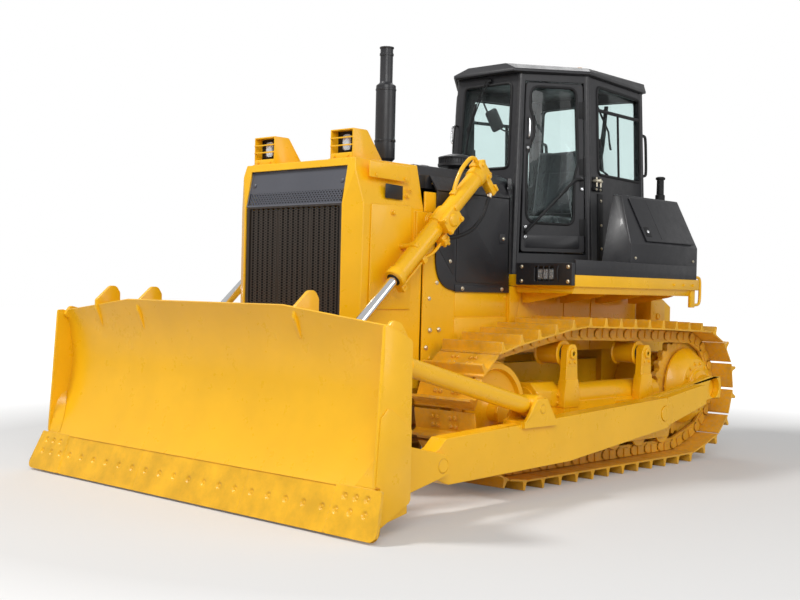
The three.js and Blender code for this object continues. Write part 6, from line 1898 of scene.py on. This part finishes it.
def fender_body():
    """Yellow deck edge with a folded lip, the plate under it, ribs and the rear hook pipe."""
    f = FENDER
    edge = rounded([(f["inner"], f["low"]), (f["outer"], f["low"]), (f["outer"], f["top"]),
                    (f["inner"], f["top"])],
                   [0.003, 0.01, 0.006, 0.003], 3)
    parts = [slab("y", edge, f["front"] + 0.042, f["rear"], 0.004)]
    gusset = rounded([(0.7, 1.438), (1.235, 1.438), (1.255, 1.492), (0.7, 1.492)], 0.004, 2)
    parts.append(slab("y", gusset, -1.99, -0.205, 0.006))
    for y in (-1.9, -1.38, -0.86, -0.34):
        rib = [(0.69, 1.36), (0.76, 1.36), (1.2, 1.44), (0.69, 1.44)]
        parts.append(slab("y", rounded(rib, 0.01, 2), y, y + 0.012, 0.002))
    parts.append(bolts([(f["outer"], y, 1.532) for y in (-0.56, -0.4, -0.24)], (1, 0, 0), 0.011))
    hook = smooth_path([(1.245, -0.19, 1.602), (1.245, -0.1, 1.602), (1.245, -0.066, 1.575),
                        (1.245, -0.06, 1.48),
                        (1.245, -0.066, 1.395), (1.245, -0.1, 1.366), (1.245, -0.19, 1.366)], 6)
    parts.append(tube(hook, 0.013, 12))
    parts.append(slab("x", rounded([(-0.24, 1.34), (-0.165, 1.34), (-0.165, 1.494), (-0.24, 1.494)], 0.01,
                                   3),
                      1.232, 1.258, 0.003))
    parts.append(slab("x", rounded([(-0.24, 1.578), (-0.165, 1.578), (-0.165, 1.618), (-0.24, 1.618)],
                                   0.01, 3),
                      1.232, 1.258, 0.003))
    return total(parts)


def deck_top():
    """Black tread plate on the fender with rows of raised studs, and the curb along its edge."""
    f = FENDER
    parts = [block((f["inner"] + 0.02, f["front"] + 0.046, f["top"] - 0.002),
                   (f["outer"] - 0.022, -1.205, f["top"] + 0.003), 0.001, 1)]
    stud = lathe([(0.011, 0), (0.009, 0.0025), (0, 0.003)], 8)
    rows = [(x, y, f["top"] + 0.003) for i, x in enumerate(np.arange(0.8, 1.245, 0.034))
            for y in np.arange(-1.985 + 0.017 * (i % 2), -1.215, 0.034)]
    parts.append(copies(stud, [frame_of(p) for p in rows]))
    curb = rounded([(1.26, f["top"] - 0.001), (f["outer"], f["top"] - 0.001), (f["outer"], CURB_TOP),
                    (1.26, CURB_TOP)], 0.004, 2)
    parts.append(slab("y", curb, f["front"] + 0.044, BOX["rear"] - 0.06, 0.003))
    return total(parts)


def lamp_panel():
    """The panel at the fender's front with its work lamp: two square lenses behind three bars."""
    y = FENDER["front"]
    outer = rounded([(0.745, 1.5), (1.276, 1.5), (1.276, 1.672), (0.745, 1.672)], 0.006, 3)
    hole = rounded([(0.925, 1.528), (1.11, 1.528), (1.11, 1.644), (0.925, 1.644)], 0.016, 4)
    outer_line, inner_line = radial_frame(wound(outer), wound(hole), 64)
    rows = [(inset(outer_line, 0.003), 0.0), (outer_line, 0.003), (outer_line, 0.04), (inner_line, 0.04),
            (inner_line, 0.003), (inset(inner_line, -0.003), 0.0)]
    rim = surface(np.stack([np.column_stack([p[:, 0], np.full(len(p), y + d), p[:, 1]]) for p, d in rows]),
                  close_u=True, close_v=True)
    back = block((0.915, y + 0.034, 1.518), (1.12, y + 0.042, 1.654), 0.002)
    bars = total(tube(smooth_path([(x, y + 0.004, 1.524), (x, y - 0.012, 1.545), (x, y - 0.012, 1.628),
                                   (x, y + 0.004, 1.648)], 5), 0.0045, 8) for x in (0.965, 1.017, 1.07))
    side_bar = tube(smooth_path([(1.15, y + 0.004, 1.524), (1.15, y - 0.014, 1.56),
                                 (1.15, y - 0.014, 1.615),
                                 (1.15, y + 0.004, 1.65)], 5), 0.0045, 8)
    studs = bolts([(x, y, z) for x in (0.8, 1.24) for z in (1.53, 1.642)], (0, -1, 0), 0.013)
    lenses = total(block((x - 0.034, y + 0.01, 1.548), (x + 0.034, y + 0.03, 1.624),
                         0.006) for x in (0.982, 1.056))
    return rim + back + bars + side_bar, studs, lenses


def box_line(share, out):
    """A point of the side box's slope in (x, z): share runs up it, out is square to it."""
    low, high = np.array([BOX["outer"], BOX["kink"]]), np.array([BOX["top_x"], BOX["top"]])
    way = (high - low) / np.linalg.norm(high - low)
    return low + (high - low) * share + np.array([way[1], -way[0]]) * out


def box_shell():
    """Left box: outline lofted from its upright front to the rear, with rolled edges. The front's
    upper half leans back with the slope."""
    b = BOX
    outline = [(b["inner"], 1.586), (b["outer"], 1.586), (b["outer"], b["kink"]), (b["top_x"], b["top"]),
               (b["inner"], b["top"])]
    line = rounded(outline, [0.003, 0.01, 0.014, 0.014, 0.003], 4)
    lean = (b["front_top"] - b["front_low"]) / (b["top"] - b["kink"])

    def front(z):
        return b["front_low"] + lean * np.maximum(0, z - b["kink"])

    edge = 0.008
    rows = []
    for inward, back in ((edge * 1.0, 0.0), (edge * 0.3, edge * 0.3), (0.0, edge)):
        p = inset(wound(line), inward)
        rows.append(np.column_stack([p[:, 0], front(p[:, 1]) + back, p[:, 1]]))
    for inward, back in ((0.0, edge), (edge * 0.3, edge * 0.3), (edge, 0.0)):
        p = inset(wound(line), inward)
        rows.append(np.column_stack([p[:, 0], np.full(len(p), b["rear"] - back), p[:, 1]]))
    return surface(np.stack(rows), close_v=True, cap=True)


def on_slope(y0, y1, share0, share1, low, high, radius=0.012, bevel=0.003):
    """A rounded plate lying on the box's slope."""
    a, c = box_line(0, 0), box_line(1, 0)
    length = float(np.linalg.norm(c - a))
    outline = rounded([(y0, share0 * length), (y1, share0 * length), (y1, share1 * length),
                       (y0, share1 * length)],
                      radius, 3)
    part = plate(outline, low, high, bevel)
    way = (c - a) / length
    turn = np.eye(4)
    turn[:3, :3] = np.array([[0, way[0], way[1]], [1, 0, 0], [0, way[1], -way[0]]])
    turn[:3, 3] = (a[0], 0, a[1])
    return part.moved(turn)


def box_lid():
    """Lid on the slope with a rolled rim, a raised middle, a seam and the latch."""
    panel = on_slope(LID["front"], LID["rear"], 0.055, 0.945, 0.004, 0.004 + LID["thick"], 0.014, 0.004)
    seam = on_slope(-0.712, -0.706, 0.1, 0.9, 0.012, 0.0178, 0.002, 0.0008)
    latch = on_slope(-0.955 + 0.02, -0.955 + 0.1, 0.14, 0.34, 0.012, 0.0185, 0.01, 0.002)
    return panel + seam, latch


def build_decks(sizes):
    """Fenders, side boxes, lids and fuel tank."""
    soft_edged("fuel_tank", 0.03, "charcoal")
    panel, studs, lenses = lamp_panel()
    lid, latch = box_lid()
    b = BOX
    knob = turned([(0.016, 0), (0.016, 0.006), (0.01, 0.01), (0, 0.01)], (box_line(0.24, 0.018)[0], -0.895,
                  box_line(0.24, 0.018)[1]), (0.893, 0, 0.451), 16)
    skirt = bolts([(b["outer"], y, z) for y in (-1.13, -0.2) for z in (1.74,)], (1, 0, 0), 0.01)
    for name, s in SIDES:
        turn = (lambda part: part) if s > 0 else (lambda part: part.mirrored())
        turn(fender_body()).emit(f"{name}_fender_edge", "yellow", replaces=(f"{name}_fender",))
        turn(deck_top() + panel).emit(f"{name}_deck", "charcoal")
        turn(box_shell()).emit(f"{name}_box_shell", "charcoal", replaces=(f"{name}_side_box",))
        turn(lid).emit(f"{name}_lid_panel", "charcoal", f"{name}_box_lid", replaces=(f"{name}_box_lid",))
        turn(latch).emit(f"{name}_lid_latch", "rubber", f"{name}_box_lid")
        turn(knob).emit(f"{name}_lid_knob", "chrome", f"{name}_box_lid")
    both(studs + skirt).emit("deck_bolts", "zinc")
    both(lenses).emit("work_lenses", "lens")


# ---------------------------------------------------------------- hood, covers and stacks
COVER = {"x": 0.682, "front": -2.94, "rear": -2.068, "low": 1.44, "shoulder": 2.18, "sheet": 0.014}
HOOD = {"half": 0.6, "top": 2.366, "shoulder": 2.29, "skirt": 2.19, "front": -3.056, "rear": -1.606}


def cover_panel():
    """Left cover: a flat sheet whose lower front corner is a large arc, its shoulder up to the hood,
    and the cowl running in to the cab."""
    c = COVER
    outline = rounded([(c["front"], c["shoulder"]), (c["front"], c["low"]), (c["rear"], c["low"]),
                       (c["rear"], c["shoulder"])], [0.004, 0.25, 0.006, 0.004], 10)
    parts = [slab("x", outline, c["x"] - c["sheet"], c["x"], 0.003)]
    inner = HOOD["half"] + 0.004
    shoulder = [(c["x"], 2.17), (c["x"], 2.182), (inner, HOOD["shoulder"]),
                (inner, HOOD["shoulder"] - 0.016), (c["x"] - c["sheet"], 2.168)]
    parts.append(slab("y", np.array(shoulder), c["front"], c["rear"], 0.002))
    cowl = np.array([(c["x"], -2.084), (c["x"], c["rear"]), (0.369, -1.633), (0.355, -1.643),
                     (0.664, -2.082)])
    parts.append(slab("z", cowl, 1.586, 2.236, 0.003))
    upper = np.array([(0.6, -2.0), (0.622, -1.984), (0.369, -1.633), (0.352, -1.643)])
    parts.append(slab("z", upper, 2.23, 2.346, 0.004))
    return total(parts)


def cover_details():
    """Access door pressed into the cover, its lower strip, the latch, a slot and bolts."""
    x = COVER["x"]
    door = rounded([(-2.715, 1.505), (-2.098, 1.505), (-2.098, 2.15), (-2.715, 2.15)], 0.018, 4)
    strip = rounded([(-2.722, 1.434), (-2.066, 1.434), (-2.066, 1.486), (-2.722, 1.486)], 0.005, 2)
    front = rounded([(-2.925, 1.76), (-2.748, 1.56), (-2.735, 1.56), (-2.735, 2.15), (-2.925, 2.15)],
                    0.014, 4)
    dark = [slab("x", door, x - 0.003, x + 0.006, 0.003), slab("x", strip, x - 0.002, x + 0.005, 0.002),
            slab("x", front, x - 0.003, x + 0.0035, 0.002)]
    latch = rounded([(-2.205, 1.818), (-2.13, 1.818), (-2.13, 1.892), (-2.205, 1.892)], 0.008, 3)
    dark.append(slab("x", latch, x + 0.004, x + 0.0095, 0.002))
    dark.append(slab("x", rounded([(-2.7, 1.83), (-2.688, 1.83), (-2.688, 1.93), (-2.7, 1.93)], 0.005, 3),
                     x + 0.004, x + 0.012, 0.002))
    bright = [turned([(0.014, 0), (0.014, 0.006), (0.01, 0.01), (0, 0.01)], (x + 0.009, -2.16, 1.855),
                     (1, 0, 0), 18)]
    bright.append(bolts([(x + 0.0035, -2.785, 1.66)], (1, 0, 0), 0.012))
    bright.append(bolts([(x + 0.005, -2.638, 1.459), (x + 0.005, -2.16, 1.461)], (1, 0, 0), 0.013))
    bright.append(bolts([(x - 0.016, -2.91, 1.498), (x - 0.016, -2.99, 1.38)], (1, 0, 0), 0.013))
    handle = smooth_path([(0.64, -2.045, 2.232), (0.64, -2.045, 2.262), (0.6, -1.985, 2.272),
                          (0.52, -1.87, 2.272),
                          (0.49, -1.826, 2.262), (0.49, -1.826, 2.232)], 6)
    dark.append(tube(handle, 0.011, 10))
    return total(dark), total(bright)


def hood_shell():
    """Hood: the outline with rounded shoulders is carried to the rear; at the cab it narrows with
    the cowl."""
    h = HOOD
    outline = rounded([(-h["half"], h["skirt"]), (-h["half"], h["shoulder"]), (-h["half"] + 0.04, h["top"]),
                       (h["half"] - 0.04, h["top"]), (h["half"], h["shoulder"]), (h["half"], h["skirt"]),
                       (h["half"] - 0.014, h["skirt"]), (h["half"] - 0.014, h["shoulder"] - 0.004),
                       (h["half"] - 0.048, h["top"] - 0.014), (-h["half"] + 0.048, h["top"] - 0.014),
                       (-h["half"] + 0.014, h["shoulder"] - 0.004), (-h["half"] + 0.014, h["skirt"])],
                      [0.003, 0.03, 0.035, 0.035, 0.03, 0.003, 0.003, 0.02, 0.03, 0.03, 0.02, 0.003], 5)
    rows = []
    for y, inward in ((h["front"], 0.003), (h["front"] + 0.003, 0.0), (-2.04, 0.0), (-1.64, 0.0),
                      (-1.618, 0.0), (-1.612, 0.003)):
        p = inset(wound(outline), inward)
        limit = np.interp(y, [-2.0, -1.618], [h["half"], 0.34])
        x = np.clip(p[:, 0], -limit, limit)
        rows.append(np.column_stack([x, np.full(len(p), y), p[:, 1]]))
    return surface(np.stack(rows), close_v=True, cap=True)


def hood_details():
    """Seams, latches and bolts of the hood, and the dark edge where it meets the guard."""
    h = HOOD
    dark = []
    for y in (-2.56, -2.54):
        dark.append(block((-0.545, y, h["top"] - 0.002), (0.545, y + 0.006, h["top"] + 0.003), 0.001, 1))
    band = rounded([(-3.05, 2.196), (-3.05, 2.284), (-2.99, 2.284), (-2.99, 2.196)], 0.004, 2)
    dark.append(both(slab("x", band, h["half"] - 0.002, h["half"] + 0.0035, 0.001)))
    grip = smooth_path([(0.3, -2.72, h["top"]), (0.3, -2.72, h["top"] + 0.028),
                        (0.3, -2.66, h["top"] + 0.034),
                        (0.3, -2.6, h["top"] + 0.028), (0.3, -2.6, h["top"])], 5)
    dark.append(both(tube(grip, 0.008, 10)))
    bright = [both(bolts([(h["half"], y, 2.238) for y in (-2.9, -2.48, -2.1)], (1, 0, 0), 0.012))]
    return total(dark), total(bright)


def exhaust():
    """Exhaust: a bolted foot, the silencer between its end cones, a clamp band, the narrow upper
    pipe and a cap ring, turned from one profile."""
    profile = [(0.096, 2.37), (0.098, 2.374), (0.098, 2.388), (0.094, 2.392), (0.066, 2.394), (0.062, 2.4),
               (0.062, 2.44), (0.066, 2.446), (0.078, 2.456), (0.08, 2.462), (0.08, 2.59), (0.084, 2.592),
               (0.084, 2.602), (0.08, 2.604), (0.078, 2.606), (0.078, 2.99), (0.081, 2.992), (0.081, 3.004),
               (0.078, 3.006), (0.077, 3.03), (0.056, 3.046), (0.052, 3.052), (0.05, 3.06), (0.05, 3.262),
               (0.055, 3.264), (0.055, 3.28), (0.05, 3.282), (0.05, 3.316), (0.056, 3.32), (0.056, 3.33),
               (0.05, 3.332), (0.046, 3.328), (0.045, 3.2), (0.0, 3.198)]
    body = turned(profile, (0, -2.8, 0), (0, 0, 1), 40)
    lugs = total(block((s * 0.078, -2.812, 2.59), (s * 0.104, -2.788, 2.606), 0.003) for s in (-1, 1))
    lugs = lugs + rod((0.0, -2.888, 2.598), (0.0, -2.868, 2.598), 0.01, 10)
    return body + lugs, ring_of_bolts((0, -2.8, 2.391), (0, 0, 1), 0.082, 8, 0.009)


def precleaner():
    """Air pre-cleaner: neck with its clamp, a lipped pan, a band of vanes and a domed lid whose
    height falls with the square of the radius."""
    dome = [(r, 2.546 - 0.026 * (r / 0.128) ** 2) for r in np.linspace(0.124, 0.0, 7)]
    profile = [(0.07, 2.37), (0.07, 2.388), (0.062, 2.39), (0.062, 2.404), (0.066, 2.406), (0.066, 2.42),
               (0.062, 2.422), (0.064, 2.428), (0.14, 2.438), (0.147, 2.444), (0.147, 2.462),
               (0.134, 2.466),
               (0.132, 2.5), (0.143, 2.504), (0.144, 2.516), (0.134, 2.52)] + dome
    centre = (0.205, -2.18, 0)
    body = turned(profile, centre, (0, 0, 1), 48)
    vane = block((0.128, -0.0025, 2.464), (0.142, 0.0025, 2.504), 0.001, 1)
    angle = np.arange(36) * 2 * np.pi / 36
    spots = []
    for a in angle:
        turn = np.eye(4)
        turn[:2, :2] = [[math.cos(a), -math.sin(a)], [math.sin(a), math.cos(a)]]
        turn[:3, 3] = centre
        spots.append(turn)
    knob = turned([(0.016, 2.54), (0.016, 2.5455), (0, 2.546)], centre, (0, 0, 1), 16)
    return body + copies(vane, spots) + knob


def build_hood(sizes):
    """Hood, side covers, exhaust and pre-cleaner."""
    dark, bright = hood_details()
    hood_shell().emit("hood_shell", "charcoal", replaces=("hood",))
    dark.emit("hood_fittings", "rubber")
    panel = cover_panel()
    cover_dark, cover_bright = cover_details()
    for name, s in SIDES:
        skin = panel if s > 0 else panel.mirrored()
        skin.emit(f"{name}_cover_skin", "charcoal", replaces=(f"{name}_side_cover",))
    both(cover_dark).emit("cover_panels", "charcoal")
    pipe, foot = exhaust()
    pipe.emit("exhaust_pipe", "charcoal", replaces=("exhaust_stack",))
    precleaner().emit("precleaner_body", "plastic", replaces=("air_precleaner",))
    (bright + both(cover_bright) + foot).emit("hood_bolts", "zinc")


# ---------------------------------------------------------------- camera and stage
CAMERA = {
    "place": (6.48815, -9.55949, 1.43714), "yaw": 42.9387, "pitch": -0.4735, "roll": 1.2502, "lens": 53.88,
}


def build_stage():
    """Camera, pale floor, soft lamps and a white world."""
    scene = bpy.context.scene
    scene.view_settings.view_transform = "Standard"
    yaw, pitch, roll = (math.radians(CAMERA[k]) for k in ("yaw", "pitch", "roll"))
    ahead = np.array([-math.sin(yaw) * math.cos(pitch), math.cos(yaw) * math.cos(pitch), math.sin(pitch)])
    right = np.cross(ahead, (0, 0, 1))
    right /= np.linalg.norm(right)
    up = np.cross(right, ahead)
    right, up = (math.cos(roll) * right + math.sin(roll) * up,
                 -math.sin(roll) * right + math.cos(roll) * up)
    lens = bpy.data.cameras.new("camera")
    lens.lens = CAMERA["lens"]
    lens.sensor_width = 36.0
    lens.clip_end = 200.0
    camera = bpy.data.objects.new("camera", lens)
    turn = np.eye(4)
    turn[:3, :3] = np.stack([right, up, -ahead], 1)
    x, y, z = CAMERA["place"]
    turn[:3, 3] = (x, y + SHIFT, z)
    camera.matrix_world = Matrix(turn.tolist())
    scene.collection.objects.link(camera)
    scene.camera = camera
    make_floor()
    make_world(scene)
    for name, place, size, energy, colour in (
            ("key", (-4.2, -7.5, 12.0), 2.4, 1040.0, (1.0, 0.99, 0.97)),
            ("fill", (9.5, -9.0, 8.0), 7.0, 800.0, (1.0, 1.0, 1.0)),
            ("side", (11.0, 2.0, 5.0), 6.0, 220.0, (1.0, 1.0, 1.0)),
            ("rim", (-6.0, 8.0, 9.0), 6.0, 250.0, (1.0, 1.0, 1.0))):
        lamp = bpy.data.lights.new(name, "AREA")
        lamp.size = size
        lamp.energy = energy
        lamp.color = colour
        holder = bpy.data.objects.new(name, lamp)
        aim = Vector((0, 0, 1.0)) - Vector(place)
        holder.matrix_world = Matrix.Translation(place) @ aim.to_track_quat("-Z", "Y").to_matrix().to_4x4()
        scene.collection.objects.link(holder)


def make_floor():
    """A wide white disc that keeps the shadow near its middle: radius grows along one direction of
    the grid, angle along the other."""
    radius = np.linspace(0, 60, 7)[:, None]
    angle = np.arange(64) * 2 * np.pi / 64
    points = np.stack([radius * np.cos(angle), radius * np.sin(angle), np.zeros((7, 64))], -1)
    mesh = bpy.data.meshes.new("floor")
    disc = surface(points, close_v=True)
    mesh.from_pydata(disc.verts.tolist(), [], disc.faces)
    tidy(mesh)
    mesh.flip_normals() if mesh.polygons[0].normal.z < 0 else None
    made = bpy.data.materials.new("floor")
    made.use_nodes = True
    tree = made.node_tree
    shader = next(n for n in tree.nodes if n.type == "BSDF_PRINCIPLED")
    shader.inputs["Base Color"].default_value = (0.62, 0.62, 0.62, 1)
    shader.inputs["Roughness"].default_value = 0.9
    shader.inputs["Specular IOR Level"].default_value = 0.0
    shader.inputs["Emission Color"].default_value = (1, 1, 1, 1)
    place = add(tree, "ShaderNodeTexCoord").outputs["Object"]
    away = add(tree, "ShaderNodeVectorMath", ((0, place),), operation="LENGTH").outputs["Value"]
    glow = mapped(tree, away, 4.5, 9.5, 0.1, 1.0)
    seen = add(tree, "ShaderNodeLightPath").outputs["Is Camera Ray"]
    tree.links.new(math_of(tree, "MULTIPLY", glow, seen), shader.inputs["Emission Strength"])
    mesh.materials.append(made)
    floor = bpy.data.objects.new("floor", mesh)
    bpy.context.scene.collection.objects.link(floor)


def make_world(scene):
    """White where the camera, a reflection or a pane looks at it, and a soft grey light elsewhere."""
    world = bpy.data.worlds.new("studio")
    world.use_nodes = True
    tree = world.node_tree
    tree.nodes.clear()
    path = tree.nodes.new("ShaderNodeLightPath").outputs
    seen = math_of(tree, "MAXIMUM", path["Is Camera Ray"], path["Is Transmission Ray"])
    glossy = math_of(tree, "MULTIPLY", path["Is Glossy Ray"], 0.25)
    seen = math_of(tree, "MAXIMUM", seen, glossy)
    strength = mapped(tree, seen, 0.0, 1.0, 0.36, 1.0)
    background = add(tree, "ShaderNodeBackground", (("Color", (1, 1, 1, 1)), ("Strength", strength)))
    output = tree.nodes.new("ShaderNodeOutputWorld")
    tree.links.new(background.outputs[0], output.inputs[0])
    scene.world = world


# ---------------------------------------------------------------- add-on
def settings(context):
    """The sizes and colours of the scene."""
    return context.scene.dozer_sizes, context.scene.dozer_colours


class DOZER_OT_materials(Operator):
    """Make every finish of the machine"""

    bl_idname = "dozer.materials"
    bl_label = "Materials"

    def execute(self, context):
        make_materials(settings(context)[1])
        return {"FINISHED"}


class DOZER_OT_stage(Operator):
    """Make the camera, floor, lamps and world"""

    bl_idname = "dozer.stage"
    bl_label = "Stage"

    def execute(self, context):
        build_stage()
        return {"FINISHED"}


class DOZER_OT_tracks(Operator):
    """Make both tracks with their wheels"""

    bl_idname = "dozer.tracks"
    bl_label = "Tracks"

    def execute(self, context):
        build_tracks(settings(context)[0])
        return {"FINISHED"}


class DOZER_OT_frame(Operator):
    """Make the frame, engine and undercarriage"""

    bl_idname = "dozer.frame"
    bl_label = "Frame"

    def execute(self, context):
        build_frame(settings(context)[0])
        return {"FINISHED"}


class DOZER_OT_front(Operator):
    """Make the radiator guard, grille and lamps"""

    bl_idname = "dozer.front"
    bl_label = "Guard and lamps"

    def execute(self, context):
        build_front(settings(context)[0])
        return {"FINISHED"}


class DOZER_OT_hood(Operator):
    """Make the hood, side covers and stacks"""

    bl_idname = "dozer.hood"
    bl_label = "Hood"

    def execute(self, context):
        build_hood(settings(context)[0])
        return {"FINISHED"}


class DOZER_OT_decks(Operator):
    """Make the fenders, side boxes and tank"""

    bl_idname = "dozer.decks"
    bl_label = "Fenders and boxes"

    def execute(self, context):
        build_decks(settings(context)[0])
        return {"FINISHED"}


class DOZER_OT_cab(Operator):
    """Make the cab with its doors, panes and seat"""

    bl_idname = "dozer.cab"
    bl_label = "Cab"

    def execute(self, context):
        build_cab(settings(context)[0])
        return {"FINISHED"}


class DOZER_OT_arms(Operator):
    """Make the push arms, braces and cylinders"""

    bl_idname = "dozer.arms"
    bl_label = "Arms and cylinders"

    def execute(self, context):
        build_arms(settings(context)[0])
        return {"FINISHED"}


class DOZER_OT_blade(Operator):
    """Make the blade and its cutting edge"""

    bl_idname = "dozer.blade"
    bl_label = "Blade"

    def execute(self, context):
        build_blade(settings(context)[0])
        return {"FINISHED"}


OPERATORS = (
    DOZER_OT_materials, DOZER_OT_stage, DOZER_OT_tracks, DOZER_OT_frame, DOZER_OT_front, DOZER_OT_hood,
    DOZER_OT_decks, DOZER_OT_cab, DOZER_OT_arms, DOZER_OT_blade,
)


class DOZER_PT_panel(Panel):
    """Lists the machine's sizes, colours and steps"""

    bl_idname = "DOZER_PT_panel"
    bl_label = "Crawler Dozer"
    bl_space_type = "VIEW_3D"
    bl_region_type = "UI"
    bl_category = "Dozer"

    def draw(self, context):
        sizes, colours = settings(context)
        for group in (sizes, colours):
            box = self.layout.box()
            for key in group.__annotations__:
                box.prop(group, key)
        for operator in OPERATORS:
            self.layout.operator(operator.bl_idname)


CLASSES = (DozerColours, DozerSizes, *OPERATORS, DOZER_PT_panel)


def register():
    """Registers the classes and gives each scene its settings."""
    for item in CLASSES:
        bpy.utils.register_class(item)
    bpy.types.Scene.dozer_sizes = PointerProperty(type=DozerSizes)
    bpy.types.Scene.dozer_colours = PointerProperty(type=DozerColours)


def unregister():
    """Takes back what register did."""
    del bpy.types.Scene.dozer_colours
    del bpy.types.Scene.dozer_sizes
    for item in reversed(CLASSES):
        bpy.utils.unregister_class(item)


def main():
    """Builds every piece."""
    register()
    for operator in OPERATORS:
        group, name = operator.bl_idname.split(".")
        getattr(getattr(bpy.ops, group), name)()


if __name__ == "__main__":
    main()
